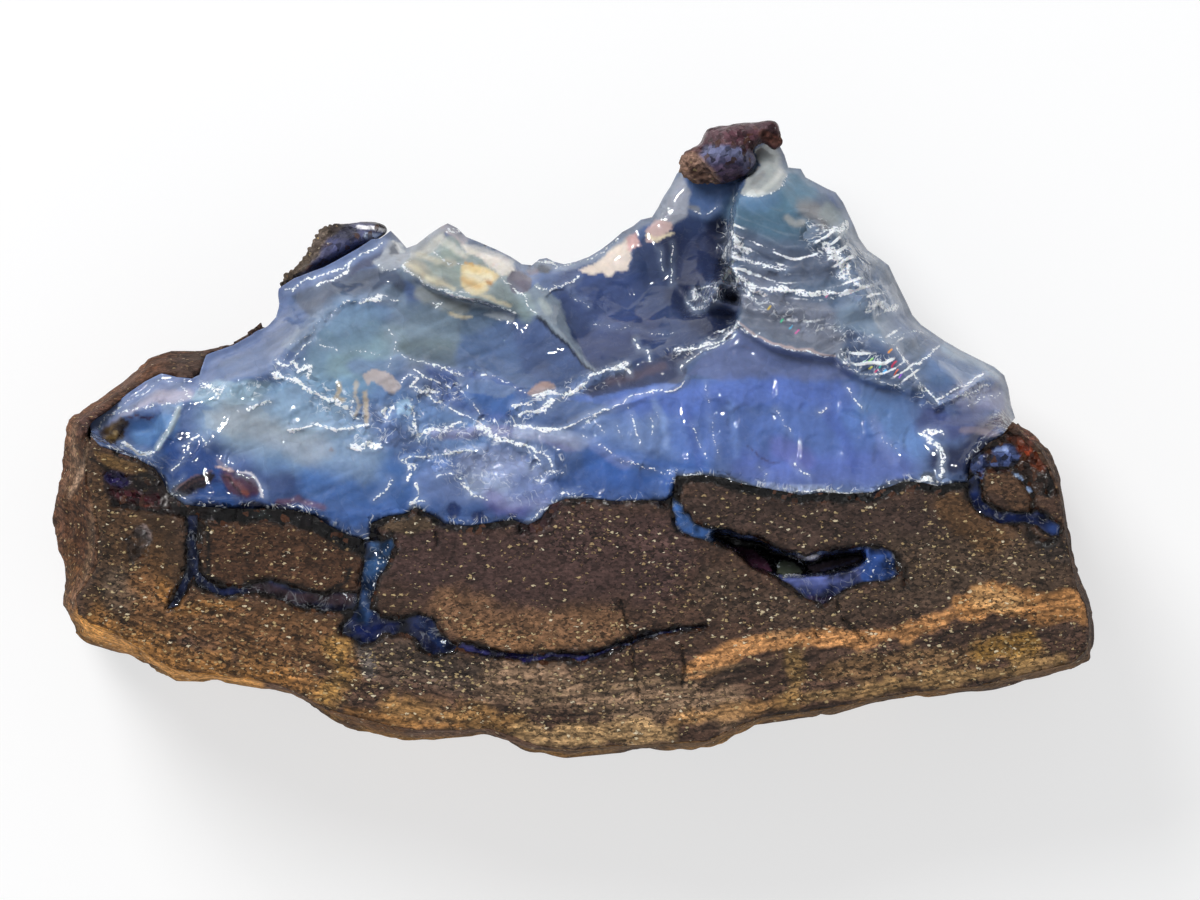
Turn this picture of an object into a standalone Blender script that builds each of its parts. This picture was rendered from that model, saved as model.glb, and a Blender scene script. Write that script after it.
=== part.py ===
"""A rough opal specimen: a slab of ironstone with a thick seam of blue opal on one long edge.

The slab lies on its flat back. One side of it was sawn flat, and that face looks up (+Z). The ironstone is
at -Y, and the opal climbs from it towards +Y, where conchoidal breaks have thinned it to a sharp rim.
Places below are millimetres in plan, and heights are millimetres above the surface that the slab rests on.
"""

import math

import bmesh
import bpy
import numpy as np
from mathutils import Vector
from mathutils.geometry import delaunay_2d_cdt

MM = 0.001

# Driving dimensions, in millimetres.
FACE = 24.0  # height of the sawn face
SEAM_TOP = 23.4  # height of the opal where it meets the sawn face
SHELF = 7.0  # height of the ironstone shelf that carries the opal
SKIN_TOP = 16.0  # height at which the ironstone's side turns over towards the sawn face
SKIN_FOOT = 4.5  # height at which its side turns under towards the back
FOOT_INSET = 1.8  # how far the flat back lies inside the outline
SIDE_ROWS = 4  # rows of facets down the natural sides
SIDE_RELIEF = 1.1  # most that a corner of those facets lies inside the outline
SKIN_WAVE = 2.2  # how far the top and foot of the sides wander up and down
VEIN_TOP = 23.7  # height of the opal veins in the sawn face
VEIN_FLOOR = 16.0  # depth that the veins reach
SEAT = 9.6  # height of the seat under the ironstone cap on the peak
GAP = 0.3  # clearance between pieces that touch
FILL_SPACING = 1.7  # spacing of the points that round out a broken face

# The ironstone's outline: down the left side, along the bottom edge and up the right side.
STONE_SIDES = [
    (-40.5, 1.9), (-41.0, 0.0), (-41.2, -2.5), (-41.6, -5.0), (-42.0, -6.8), (-41.6, -8.8), (-41.0, -9.8),
    (-40.9, -11.4), (-41.2, -13.2), (-40.2, -14.9), (-39.9, -15.8), (-39.0, -16.4), (-35.9, -17.3),
    (-34.6, -18.0), (-33.6, -18.8), (-32.0, -19.4), (-28.4, -19.5), (-25.0, -20.0), (-22.4, -20.7),
    (-20.6, -21.7), (-19.2, -22.6), (-18.0, -23.3), (-15.4, -23.7), (-14.4, -24.1), (-12.4, -24.3),
    (-10.0, -24.0), (-7.4, -23.8), (-5.6, -24.2), (-3.6, -25.1), (-0.6, -25.6), (2.6, -25.3),
    (6.0, -25.0), (9.6, -25.0), (11.4, -24.8), (13.2, -23.8), (15.4, -22.9), (18.4, -22.4), (21.0, -22.1),
    (23.6, -21.3), (26.6, -20.9), (30.5, -20.5), (34.0, -20.1), (36.8, -19.3), (40.0, -18.5),
    (41.6, -17.7), (42.0, -16.2), (41.9, -13.6), (41.5, -12.3), (40.8, -10.8), (40.3, -9.0),
    (40.0, -7.0), (39.6, -4.5), (39.2, -2.9), (38.4, -0.7), (37.2, 0.4), (35.9, 1.5),
]
# The back edge of the shelf, under the opal, from right to left.
SHELF_EDGE = [
    (34.0, 2.4), (31.0, 4.6), (27.0, 6.6), (22.0, 8.6), (17.0, 9.6), (11.0, 9.0), (5.0, 8.2), (0.0, 7.2),
    (-6.0, 8.4), (-12.0, 9.2), (-18.0, 9.8), (-22.6, 9.2),
]
# The natural skin that shows beyond the opal's upper left edge, from right to left.
SKIN_STRIP = [
    (-23.9, 10.0), (-25.2, 9.3), (-26.4, 8.5), (-27.6, 7.8), (-30.0, 7.2), (-32.6, 7.2), (-34.3, 6.6),
    (-36.2, 4.8), (-38.5, 3.2),
]
SKIN_STRIP_TOP = 9.0
SKIN_RIDGE = [
    (-24.6, 9.3, 12.0), (-26.0, 8.3, 12.8), (-28.0, 7.1, 13.6), (-29.4, 6.6, 14.2), (-31.2, 6.3, 14.6),
    (-33.0, 6.3, 14.4), (-34.2, 5.8, 14.6), (-36.2, 4.1, 15.6), (-38.2, 2.5, 18.0), (-39.6, 1.4, 21.0),
]
# The edge of the sawn face, the same way round as STONE_SIDES, closed under the opal.
SAWN_EDGE = [
    (-38.7, 0.6), (-38.9, -1.6), (-38.9, -3.4), (-38.4, -5.0), (-37.9, -7.4), (-38.1, -10.0),
    (-38.9, -11.4), (-39.8, -12.6), (-39.6, -13.9), (-38.6, -14.7), (-36.6, -15.4), (-34.8, -16.4),
    (-33.4, -17.6), (-31.6, -18.4), (-28.6, -18.8), (-25.8, -19.1), (-23.4, -19.6), (-21.4, -20.5),
    (-19.6, -21.6), (-17.6, -22.0), (-14.6, -22.8), (-12.4, -23.2), (-9.0, -23.2), (-6.6, -23.1),
    (-4.6, -23.8), (-2.6, -24.5), (0.0, -24.8), (3.0, -24.5), (7.0, -24.3), (10.8, -24.1), (13.0, -23.0),
    (15.0, -22.2), (19.0, -21.7), (22.0, -21.2), (25.0, -20.5), (28.0, -20.1), (32.4, -19.7),
    (36.2, -18.7), (40.0, -17.8), (41.2, -16.6), (41.3, -15.0), (41.1, -13.4), (40.3, -11.8),
    (39.9, -10.0), (39.5, -8.0), (39.2, -6.0), (38.9, -4.0), (38.2, -2.2), (37.4, -0.8), (36.4, 0.1),
    (35.0, 0.9), (20.0, 0.5), (0.0, 0.0), (-20.0, -1.0), (-33.0, 0.4),
]

# The opal's outline with its top and underside heights. First its contact with the natural skin at the left.
LEFT_CONTACT = [
    (-38.6, 0.3, 19.0), (-38.5, 1.2, 17.6), (-37.0, 2.2, 17.0), (-35.5, 3.5, 16.6), (-34.2, 4.4, 16.5),
    (-33.0, 5.0, 16.6), (-31.8, 4.7, 17.2), (-30.5, 4.6, 17.6), (-29.7, 5.0, 17.4), (-29.2, 6.6, 15.8),
    (-27.2, 7.3, 15.4), (-25.6, 8.2, 14.9), (-24.6, 9.1, 14.2), (-23.9, 9.9, 13.4),
]
# Then the free rim, broken thin, across both peaks to the right-hand end: (x, y, top, underside).
SHOULDER_CONTACT = [
    (-23.4, 12.0, 12.6, 7.8), (-22.3, 12.7, 13.0, 7.5), (-21.0, 13.2, 13.2, 7.2), (-19.9, 13.6, 13.2, 7.0),
    (-18.6, 14.3, 12.9, 7.0), (-17.2, 15.1, 12.4, 7.0), (-16.0, 15.9, 11.8, 7.1), (-15.2, 16.5, 11.0, 7.4),
]
RIM = [
    (-23.6, 11.0, 12.6, 8.2), *SHOULDER_CONTACT,
    (-14.7, 16.9, 10.4, 8.2), (-14.1, 16.3, 10.6, 8.4), (-13.4, 15.5, 10.9, 8.4), (-12.6, 15.8, 10.6, 8.5),
    (-11.6, 16.6, 10.2, 8.5), (-10.7, 17.2, 9.8, 8.4), (-10.1, 17.5, 9.6, 8.4), (-9.3, 17.1, 9.8, 8.4),
    (-8.6, 16.4, 10.2, 8.4), (-7.6, 16.0, 10.2, 8.3), (-6.2, 15.4, 10.4, 8.2), (-5.0, 14.8, 10.6, 8.0),
    (-4.1, 14.2, 11.0, 7.6), (-3.3, 14.1, 11.4, 7.4), (-2.7, 14.6, 11.0, 7.4), (-2.1, 14.7, 10.8, 7.4),
    (-1.5, 14.4, 10.6, 7.5), (-0.7, 14.2, 10.2, 7.8), (0.2, 14.4, 9.8, 8.0), (1.3, 14.8, 9.6, 8.2),
    (2.3, 15.4, 9.5, 8.2), (3.2, 16.1, 9.5, 8.2), (4.0, 16.8, 9.5, 8.2), (4.9, 17.3, 9.6, 8.2),
    (5.5, 17.8, 9.6, 8.2), (6.4, 18.0, 9.8, 8.2), (6.9, 18.8, 9.8, 8.2), (7.3, 19.6, 9.8, 8.0),
    (7.9, 20.5, 9.8, 7.6), (8.4, 21.5, 9.6, 7.0), (9.4, 22.6, 9.4, 6.6), (10.8, 23.3, 9.4, 6.6),
    (11.5, 24.2, 9.4, 6.6), (13.5, 24.6, 9.4, 6.6), (15.6, 24.7, 9.4, 6.6), (16.6, 24.0, 9.8, 6.8),
    (17.1, 23.0, 10.2, 7.0), (17.4, 22.0, 10.8, 7.2), (18.4, 21.9, 10.8, 7.4), (18.8, 21.2, 11.2, 7.6),
    (20.5, 20.3, 11.2, 7.8), (21.2, 20.0, 11.2, 7.8), (21.8, 19.2, 11.2, 7.8), (22.7, 17.3, 11.2, 7.8),
    (23.1, 16.3, 11.2, 7.8), (23.8, 15.3, 11.2, 7.8), (24.7, 14.7, 11.0, 7.8), (25.5, 14.1, 10.8, 7.8),
    (26.2, 12.6, 10.8, 7.8), (27.0, 11.0, 10.8, 7.8), (27.4, 10.1, 11.0, 7.6), (28.1, 9.3, 11.2, 7.6),
    (30.0, 8.0, 11.4, 7.5), (31.4, 7.2, 11.4, 7.5), (32.8, 6.5, 11.6, 7.4), (34.0, 5.9, 11.8, 7.4),
    (34.8, 5.2, 12.4, 7.4), (35.1, 4.2, 13.4, 7.4), (35.3, 2.8, 15.0, 7.3), (35.6, 1.8, 16.0, 7.3),
]
# Last, its contact with the ironstone, from right to left.
SEAM_CONTACT = [
    (34.4, 0.4), (33.2, -0.3), (31.9, -1.6), (31.6, -3.4), (30.6, -3.4), (29.3, -3.7), (28.0, -3.4),
    (26.5, -3.3), (25.2, -3.8), (24.0, -4.2), (22.0, -4.3), (20.0, -4.2), (18.2, -4.4), (16.8, -4.1),
    (15.0, -3.8), (13.6, -3.5), (12.0, -3.0), (10.4, -2.8), (8.3, -2.9), (8.1, -4.4), (7.4, -4.9),
    (5.5, -4.8), (3.5, -4.9), (1.5, -4.7), (-0.5, -4.7), (-1.8, -5.2), (-2.5, -6.3), (-3.6, -6.8),
    (-4.8, -6.4), (-6.4, -6.6), (-8.4, -6.9), (-10.2, -6.7), (-11.1, -6.1), (-12.6, -5.4), (-13.3, -5.9),
    (-14.8, -6.1), (-16.1, -6.7), (-16.3, -8.1), (-18.0, -7.6), (-19.4, -6.9), (-20.6, -6.1),
    (-22.4, -5.6), (-24.7, -5.5), (-27.4, -5.5), (-31.0, -5.2), (-32.4, -4.2), (-32.8, -3.2),
    (-33.4, -2.3), (-34.8, -1.5), (-36.4, -1.0), (-37.8, -0.5),
]

# Breaks on the opal's front: (x, y, height) along each ridge, step or hollow.
BREAKS = {
    "cup_rim": [
        (-37.2, 0.6, 18.6), (-36.4, 1.6, 18.2), (-34.6, 2.3, 18.8), (-33.0, 2.3, 19.4), (-31.3, 3.0, 20.2),
        (-32.5, 0.4, 20.8), (-33.6, -1.0, 21.2), (-35.0, -1.0, 20.8), (-36.5, -0.4, 19.8),
        (-37.2, 0.6, 18.6),
    ],
    "cup_floor": [(-35.2, 0.5, 17.0), (-34.0, 0.7, 17.2)],
    "wing_crest": [(-36.2, 2.3, 17.8), (-33.6, 3.4, 18.8), (-31.3, 3.0, 20.2)],
    "wing_ridge": [
        (-31.3, 3.0, 20.2), (-29.4, 3.3, 20.6), (-27.2, 4.8, 20.2), (-24.0, 5.3, 20.4), (-23.4, 6.8, 19.8),
        (-21.6, 8.8, 18.8), (-20.0, 9.9, 18.2), (-18.2, 11.2, 17.4), (-15.8, 11.4, 16.8),
        (-14.2, 12.6, 15.8), (-13.6, 13.9, 15.0), (-14.8, 14.9, 13.2), (-15.2, 16.5, 11.0),
    ],
    "milky_ridge": [
        (-24.0, 5.3, 20.4), (-22.0, 4.7, 21.0), (-20.2, 3.4, 21.4), (-18.6, 2.8, 21.6), (-16.8, 1.7, 21.8),
        (-15.2, 2.1, 21.8), (-14.6, 3.8, 21.2), (-12.6, 5.2, 20.4), (-10.9, 3.6, 20.8),
        (-9.6, 2.0, 21.0), (-8.0, 1.8, 21.0), (-7.0, 1.0, 21.4),
    ],
    "terrace_edge": [
        (-23.4, 6.8, 19.8), (-20.0, 7.6, 19.0), (-16.5, 7.0, 18.8), (-13.5, 6.3, 18.8), (-11.0, 6.1, 18.6),
        (-8.6, 5.7, 18.4), (-6.5, 5.1, 18.4), (-4.5, 4.5, 18.8), (-2.8, 4.2, 19.4), (-0.4, 4.1, 19.8),
        (1.4, 5.1, 19.6), (2.9, 5.6, 19.4), (4.4, 6.0, 19.2), (6.2, 7.0, 18.6), (8.8, 7.2, 18.6),
        (10.4, 7.8, 18.6), (11.8, 8.7, 18.3), (12.9, 9.1, 18.4),
    ],
    "bench_line": [
        (-22.6, 0.9, 22.0), (-19.5, 0.9, 22.2), (-17.0, 1.0, 22.2), (-14.0, 0.8, 22.0), (-10.6, 0.5, 22.0),
        (-7.0, 1.0, 21.4), (-6.2, 0.0, 22.2), (-4.2, -0.4, 22.3), (-2.4, -1.0, 22.3), (-1.8, -1.7, 22.4),
    ],
    "hump_crest": [
        (-6.2, 0.0, 22.2), (-2.0, 0.6, 22.0), (0.0, -0.5, 22.5), (2.0, -0.8, 22.6), (4.4, -1.9, 22.8),
        (7.0, -2.2, 23.0),
    ],
    "knob": [(-4.6, 1.2, 21.2), (-4.2, 2.2, 21.6), (-2.0, 2.6, 21.4), (-0.8, 1.2, 21.6), (-4.6, 1.2, 21.2)],
    "band_top": [
        (-0.8, 1.2, 21.6), (2.4, 2.4, 21.4), (5.2, 3.3, 21.2), (8.0, 4.3, 20.9), (9.3, 5.1, 20.6),
        (9.0, 6.0, 20.2), (10.4, 6.8, 19.8), (11.8, 7.6, 19.3), (13.0, 8.7, 18.8),
    ],
    "band_shoulder": [(9.3, 5.1, 20.6), (13.0, 5.0, 20.6), (17.0, 4.9, 20.6), (20.6, 4.6, 20.6)],
    "plane_ridge": [
        (1.4, 5.1, 19.6), (0.0, 7.5, 17.2), (-1.6, 9.2, 16.2), (-2.9, 10.0, 15.8), (-4.0, 11.5, 14.8),
        (-5.2, 13.0, 13.2), (-6.2, 15.4, 10.4),
    ],
    "blade": [
        (-3.3, 14.1, 11.4), (-2.6, 12.6, 13.6), (-1.5, 12.2, 13.0), (-0.8, 10.6, 13.4), (0.4, 8.2, 14.8),
        (1.4, 5.1, 19.6),
    ],
    "fan_edge": [
        (-13.6, 13.9, 15.0), (-12.2, 13.0, 15.8), (-10.8, 12.1, 16.4), (-9.0, 11.5, 16.8),
        (-7.2, 11.3, 16.8), (-5.8, 10.8, 16.5), (-4.8, 10.2, 16.1), (-2.9, 10.0, 15.8),
    ],
    "fan_foot": [
        (-12.9, 12.8, 15.0), (-12.3, 12.4, 14.6), (-10.9, 11.6, 14.4), (-9.0, 11.05, 14.4),
        (-7.2, 10.8, 14.6), (-5.9, 10.3, 14.8), (-4.9, 9.8, 15.2),
    ],
    "fan_floor": [(-11.4, 14.4, 12.8), (-9.4, 13.6, 12.8), (-7.6, 13.4, 12.8)],
    "fan_spine": [(-10.1, 17.5, 9.6), (-10.2, 16.0, 11.8), (-8.8, 15.0, 12.2), (-7.0, 14.6, 11.6)],
    "plane_dish": [(-17.0, 9.2, 17.6), (-12.0, 8.4, 16.6), (-6.6, 7.6, 15.9), (-2.0, 6.8, 16.6)],
    "deep_scar": [
        (2.0, 12.6, 10.8), (4.4, 10.6, 11.6), (6.4, 12.6, 10.8), (8.6, 14.6, 10.4), (10.4, 17.0, 10.0),
        (10.8, 19.4, 9.8),
    ],
    "scar_step": [(6.9, 15.6, 10.8), (7.3, 14.2, 11.2), (8.2, 12.6, 11.6), (9.6, 10.8, 12.6)],
    "cliff_top": [
        (15.0, 19.7, 14.2), (13.6, 20.2, 13.4), (13.2, 18.8, 15.0), (12.95, 17.2, 16.0),
        (12.8, 15.8, 16.8), (12.75, 14.6, 17.6), (13.5, 12.8, 18.6), (13.6, 11.2, 19.4), (13.3, 9.4, 20.0),
    ],
    "cliff_foot": [
        (13.3, 20.9, 10.2), (12.75, 18.8, 10.2), (12.5, 17.2, 10.2), (12.35, 15.8, 10.4),
        (12.3, 14.4, 10.8), (12.9, 12.6, 12.2), (13.0, 11.2, 14.2), (12.8, 9.9, 16.6),
        (12.9, 9.1, 18.4),
    ],
    "lip_edge": [
        (13.3, 9.4, 20.0), (14.4, 8.4, 20.6), (15.8, 7.6, 21.0), (17.6, 7.1, 21.3), (19.6, 6.8, 21.5),
        (21.0, 6.8, 21.5), (21.6, 6.2, 21.5), (22.2, 5.6, 21.5), (23.4, 4.9, 21.4), (24.8, 4.5, 21.3),
        (26.6, 4.1, 21.0), (28.0, 3.3, 20.6), (29.3, 2.9, 20.2),
    ],
    "lip_foot": [
        (13.4, 8.6, 19.3), (14.6, 7.8, 19.4), (15.8, 7.1, 19.5), (17.6, 6.6, 19.7), (19.6, 6.3, 19.8),
        (20.8, 6.2, 19.9), (21.2, 5.7, 20.0), (22.0, 5.1, 20.1), (23.3, 4.4, 20.2), (24.8, 4.0, 20.3),
        (26.4, 3.6, 20.2), (27.8, 2.8, 20.1), (29.2, 2.2, 20.0),
    ],
    "spur": [(22.0, 7.3, 21.0), (25.2, 7.7, 19.6), (28.4, 8.2, 13.4), (30.0, 8.0, 11.4)],
    "notch_left": [(25.2, 7.7, 19.6), (26.3, 6.3, 19.7), (27.1, 5.5, 19.6), (28.2, 4.2, 19.8), (29.3, 2.9, 20.2)],
    "notch_right": [(27.1, 5.5, 19.6), (28.6, 6.8, 16.6), (29.7, 7.8, 12.4)],
    "end_facet": [(29.3, 2.9, 20.2), (31.4, 4.0, 18.4), (33.2, 4.9, 16.0), (34.8, 5.2, 12.4)],
    "end_ridge": [(30.0, 1.0, 21.4), (32.6, 1.2, 20.6), (34.4, 2.2, 17.8), (35.3, 2.8, 15.0)],
    "pale_facet": [(15.0, 19.7, 14.2), (16.6, 20.4, 13.4), (17.4, 22.0, 10.8)],
}
# The dome at the right broke in ledges that spread from one point, as ripples do.
RIPPLE_CENTRE = (17.6, 23.4)
RIPPLE_RADII = (8.4, 10.0, 11.8, 13.6)
RIPPLE_ARC = (math.radians(-118), math.radians(-52))
RIPPLE_POINTS = 7
RIPPLE_MARGIN = 0.8  # how far the ledges stay from the rim
RIPPLE_TOP, RIPPLE_FALL = 16.6, 0.62  # height of the first ledge, and what each millimetre outwards adds
LEDGE_WIDTH, LEDGE_DROP = 0.45, 0.5

# Opal veins in the sawn face, closed outlines that run into the seam at their upper ends.
RIGHT_VEIN = [
    (7.2, -3.2), (8.6, -3.4), (8.8, -4.9), (9.1, -5.8), (9.8, -6.6), (10.9, -7.0), (12.5, -7.3),
    (14.3, -8.0), (15.8, -8.7), (17.2, -9.1), (20.5, -8.7), (24.4, -8.5), (25.3, -9.0), (25.9, -9.9),
    (26.0, -10.9), (24.6, -11.5), (21.8, -12.0), (20.8, -12.6), (20.0, -13.0), (19.2, -12.6),
    (16.8, -11.6), (14.5, -10.3), (12.6, -8.7), (11.2, -8.1), (9.7, -7.9), (8.6, -7.2), (8.1, -6.0),
]
CAVITY = [
    (11.4, -7.6), (12.9, -7.8), (15.6, -9.0), (17.2, -9.5), (19.2, -9.6), (20.8, -9.2), (23.0, -9.1),
    (23.0, -9.9), (20.6, -10.5), (18.6, -10.8), (16.8, -10.7), (14.8, -10.0), (13.0, -8.6),
]
CAVITY_FLOOR = 18.5
LEFT_VEINS = [
    (-31.0, -4.4), (-15.6, -5.9), (-15.6, -7.4), (-14.3, -7.7), (-14.2, -8.6), (-15.0, -10.3),
    (-15.6, -11.5), (-15.9, -12.7), (-15.8, -14.0), (-12.0, -14.2), (-10.9, -14.8), (-9.4, -16.4),
    (-8.6, -17.0), (-11.5, -16.9), (-12.6, -16.2), (-17.0, -16.4), (-18.4, -15.2), (-17.8, -14.0),
    (-19.6, -14.0), (-21.4, -13.5), (-23.0, -12.8), (-25.6, -12.4), (-28.9, -12.2), (-30.2, -11.3),
    (-31.4, -13.2), (-32.4, -13.8), (-32.6, -13.2), (-31.4, -10.9), (-30.7, -9.4), (-30.8, -7.2),
]
LEFT_FRAGMENT = [
    (-29.4, -6.7), (-26.0, -6.7), (-23.0, -6.9), (-20.6, -7.4), (-18.4, -8.4), (-16.9, -9.2),
    (-17.0, -10.4), (-17.8, -11.6), (-20.0, -12.2), (-23.4, -11.4), (-26.2, -11.3), (-28.6, -11.0),
    (-29.3, -10.2), (-29.1, -8.6),
]
RIGHT_VEINS = [
    (31.0, -1.8), (33.4, -0.6), (35.0, -0.6), (36.2, -1.2), (37.0, -2.4), (37.7, -3.9), (37.8, -5.2),
    (38.9, -5.8), (38.8, -7.6), (37.9, -7.2), (36.0, -6.8), (34.2, -6.4), (32.6, -5.9), (31.8, -5.0),
    (31.2, -3.2),
]
RIGHT_FRAGMENT = [
    (33.1, -2.5), (34.2, -2.0), (35.4, -2.4), (36.2, -3.4), (36.5, -4.6), (36.3, -5.6), (34.6, -5.4),
    (33.2, -4.9),
]

# Ironstone left on the tall peak, and the dark crust on the left shoulder: (x, y, top, underside).
CAP_OUTLINE = [
    (8.6, 21.7), (8.55, 22.6), (8.8, 23.1), (10.0, 23.5), (10.6, 23.9), (10.8, 24.8), (11.2, 25.15),
    (13.0, 25.3), (15.0, 25.5), (16.3, 25.6), (16.6, 24.7), (16.9, 23.9), (16.3, 23.5), (15.4, 24.2),
    (14.8, 24.0), (14.2, 23.4), (14.7, 22.5), (14.2, 21.7), (12.8, 21.0), (11.2, 20.7), (10.2, 20.7),
    (9.2, 21.1),
]
CAP_TOP, CAP_FOOT = 12.2, SEAT + GAP
CAP_BREAKS = [
    [(10.6, 23.9, 12.6), (12.4, 23.75, 14.0), (14.2, 23.4, 12.6)],
    [(9.6, 22.4, 13.2), (11.6, 22.3, 13.9), (13.4, 22.3, 13.4)],
    [(11.8, 24.6, 13.2), (15.4, 24.9, 13.0)],
]
CRUST_OUTLINE = [
    (-14.9, 17.0), (-15.8, 17.4), (-17.0, 17.5), (-18.2, 17.25), (-19.2, 17.45), (-20.2, 17.0),
    (-20.8, 16.2), (-21.4, 15.1), (-22.1, 14.1), (-23.1, 13.4),
]
CRUST_TOP, CRUST_FOOT = 10.6, 6.0
CRUST_BREAKS = [
    [(-22.4, 13.3, 12.4), (-20.4, 14.6, 12.6), (-18.4, 15.8, 12.2), (-16.4, 16.7, 11.6)],
]


def clear_scene():
    for obj in list(bpy.data.objects):
        bpy.data.objects.remove(obj, do_unlink=True)


def material(name, colour, roughness):
    """A plain finish: colour is (red, green, blue) in linear light."""
    made = bpy.data.materials.new(name)
    made.use_nodes = True
    shader = made.node_tree.nodes["Principled BSDF"]
    shader.inputs["Base Color"].default_value = (*colour, 1.0)
    shader.inputs["Roughness"].default_value = roughness
    shader.inputs["Metallic"].default_value = 0.0
    made.diffuse_color = (*colour, 1.0)
    return made


def signed_area(outline):
    points = np.array([p[:2] for p in outline])
    x, y = points.T
    return 0.5 * float(np.sum(x * np.roll(y, -1) - y * np.roll(x, -1)))


def grown(outline, distance):
    """The outline moved outwards by a distance, corner by corner. A negative distance shrinks it."""
    points = np.array([p[:2] for p in outline], float)
    turn = 1.0 if signed_area(outline) > 0 else -1.0
    before = points - np.roll(points, 1, axis=0)
    after = np.roll(points, -1, axis=0) - points
    moved = []
    for point, a, b in zip(points, before, after):
        normal_a = turn * np.array([a[1], -a[0]]) / np.linalg.norm(a)
        normal_b = turn * np.array([b[1], -b[0]]) / np.linalg.norm(b)
        corner = normal_a + normal_b
        corner /= max(np.linalg.norm(corner), 0.35)
        reach = distance / max(float(corner @ normal_a), 0.5)
        moved.append(tuple(point + corner * reach))
    return moved


def is_inside(point, outline):
    x, y = point
    inside = False
    for (x0, y0), (x1, y1) in zip(outline, outline[1:] + outline[:1]):
        if (y0 > y) != (y1 > y) and x < (x1 - x0) * (y - y0) / (y1 - y0) + x0:
            inside = not inside
    return inside


def fill_points(outline, taken, spacing):
    """Points on a staggered grid inside the outline, none closer than half a spacing to a point in taken."""
    plan = [p[:2] for p in outline]
    taken = np.array([p[:2] for p in taken])
    low, high = taken.min(axis=0), taken.max(axis=0)
    rng = np.random.default_rng(7)
    found = []
    rows = int((high[1] - low[1]) / (spacing * 0.87)) + 1
    for row in range(rows):
        y = low[1] + row * spacing * 0.87
        x = low[0] + (row % 2) * spacing / 2
        while x < high[0]:
            point = np.array([x, y]) + rng.uniform(-0.18, 0.18, 2) * spacing
            x += spacing
            if np.hypot(*(taken - point).T).min() > spacing * 0.5 and is_inside(tuple(point), plan):
                found.append(tuple(point))
    return found


def surface(outline, lines, spacing=None):
    """(points, triangles) of a face stretched over the outline and the lines, like a membrane over wires.

    The outline and the lines are (x, y, height). The first len(outline) points are the outline's own.
    """
    held = [tuple(p) for p in outline]
    edges = [(i, (i + 1) % len(outline)) for i in range(len(outline))]
    index = {(round(x, 3), round(y, 3)): i for i, (x, y, _) in enumerate(held)}
    for line in lines:
        ids = []
        for x, y, z in line:
            key = (round(x, 3), round(y, 3))
            if key not in index:
                index[key] = len(held)
                held.append((x, y, z))
            ids.append(index[key])
        edges += list(zip(ids, ids[1:]))
    spaced = []
    for a, b in edges:
        steps = int(math.dist(held[a][:2], held[b][:2]) / 0.6)
        spaced += [tuple(np.array(held[a]) + (np.array(held[b]) - held[a]) * k / steps) for k in range(1, steps)]
    loose = fill_points(outline, held + spaced, spacing) if spacing else []
    plan = [Vector(p[:2]) for p in held] + [Vector(p) for p in loose]
    found = delaunay_2d_cdt(plan, edges, [list(range(len(outline)))], 1, 1e-5)
    points, _, triangles, origins = found[0], found[1], found[2], found[3]
    heights = np.zeros(len(points))
    fixed = np.zeros(len(points), bool)
    for i, sources in enumerate(origins):
        pinned = [s for s in sources if s < len(held)]
        if pinned:
            heights[i], fixed[i] = held[pinned[0]][2], True
    heights = settled(heights, fixed, triangles)
    solved = [(p[0], p[1], z) for p, z in zip(points, heights)]
    places = {s: i for i, sources in enumerate(origins) for s in sources}
    order = [places[i] for i in range(len(outline))]
    order += [i for i in range(len(points)) if i not in set(order)]
    rank = {old: new for new, old in enumerate(order)}
    return [solved[i] for i in order], [tuple(rank[i] for i in t) for t in triangles]


def settled(heights, fixed, triangles):
    """Heights in which each loose point is the mean of its neighbours, as on a stretched membrane."""
    count = len(heights)
    links = np.zeros((count, count))
    for triangle in triangles:
        for a in triangle:
            for b in triangle:
                if a != b:
                    links[a, b] = 1.0
    balance = np.diag(links.sum(axis=1)) - links
    loose = ~fixed
    if loose.any():
        pull = -balance[np.ix_(loose, fixed)] @ heights[fixed]
        heights[loose] = np.linalg.solve(balance[np.ix_(loose, loose)], pull)
    return heights


def add_object(name, mesh, finish=None):
    obj = bpy.data.objects.new(name, mesh)
    bpy.context.scene.collection.objects.link(obj)
    if finish:
        mesh.materials.append(finish)
    return obj


def side_rings(outline, rows, relief):
    """Rings of points down the side, from the upper edge to the lower, the middle ones rough."""
    rng = np.random.default_rng(11)
    outer = np.array([p[:2] for p in outline])
    inner = np.array(grown(outline, -relief))
    top, foot = np.array([p[2:] for p in outline]).T
    rings = []
    for row in range(rows + 1):
        share = row / rows
        depth = rng.uniform(0, 1, (len(outline), 1)) if 0 < row < rows else 0.0
        plan = outer + (inner - outer) * depth
        rings.append(np.column_stack([plan, top + (foot - top) * share]))
    return rings


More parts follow.
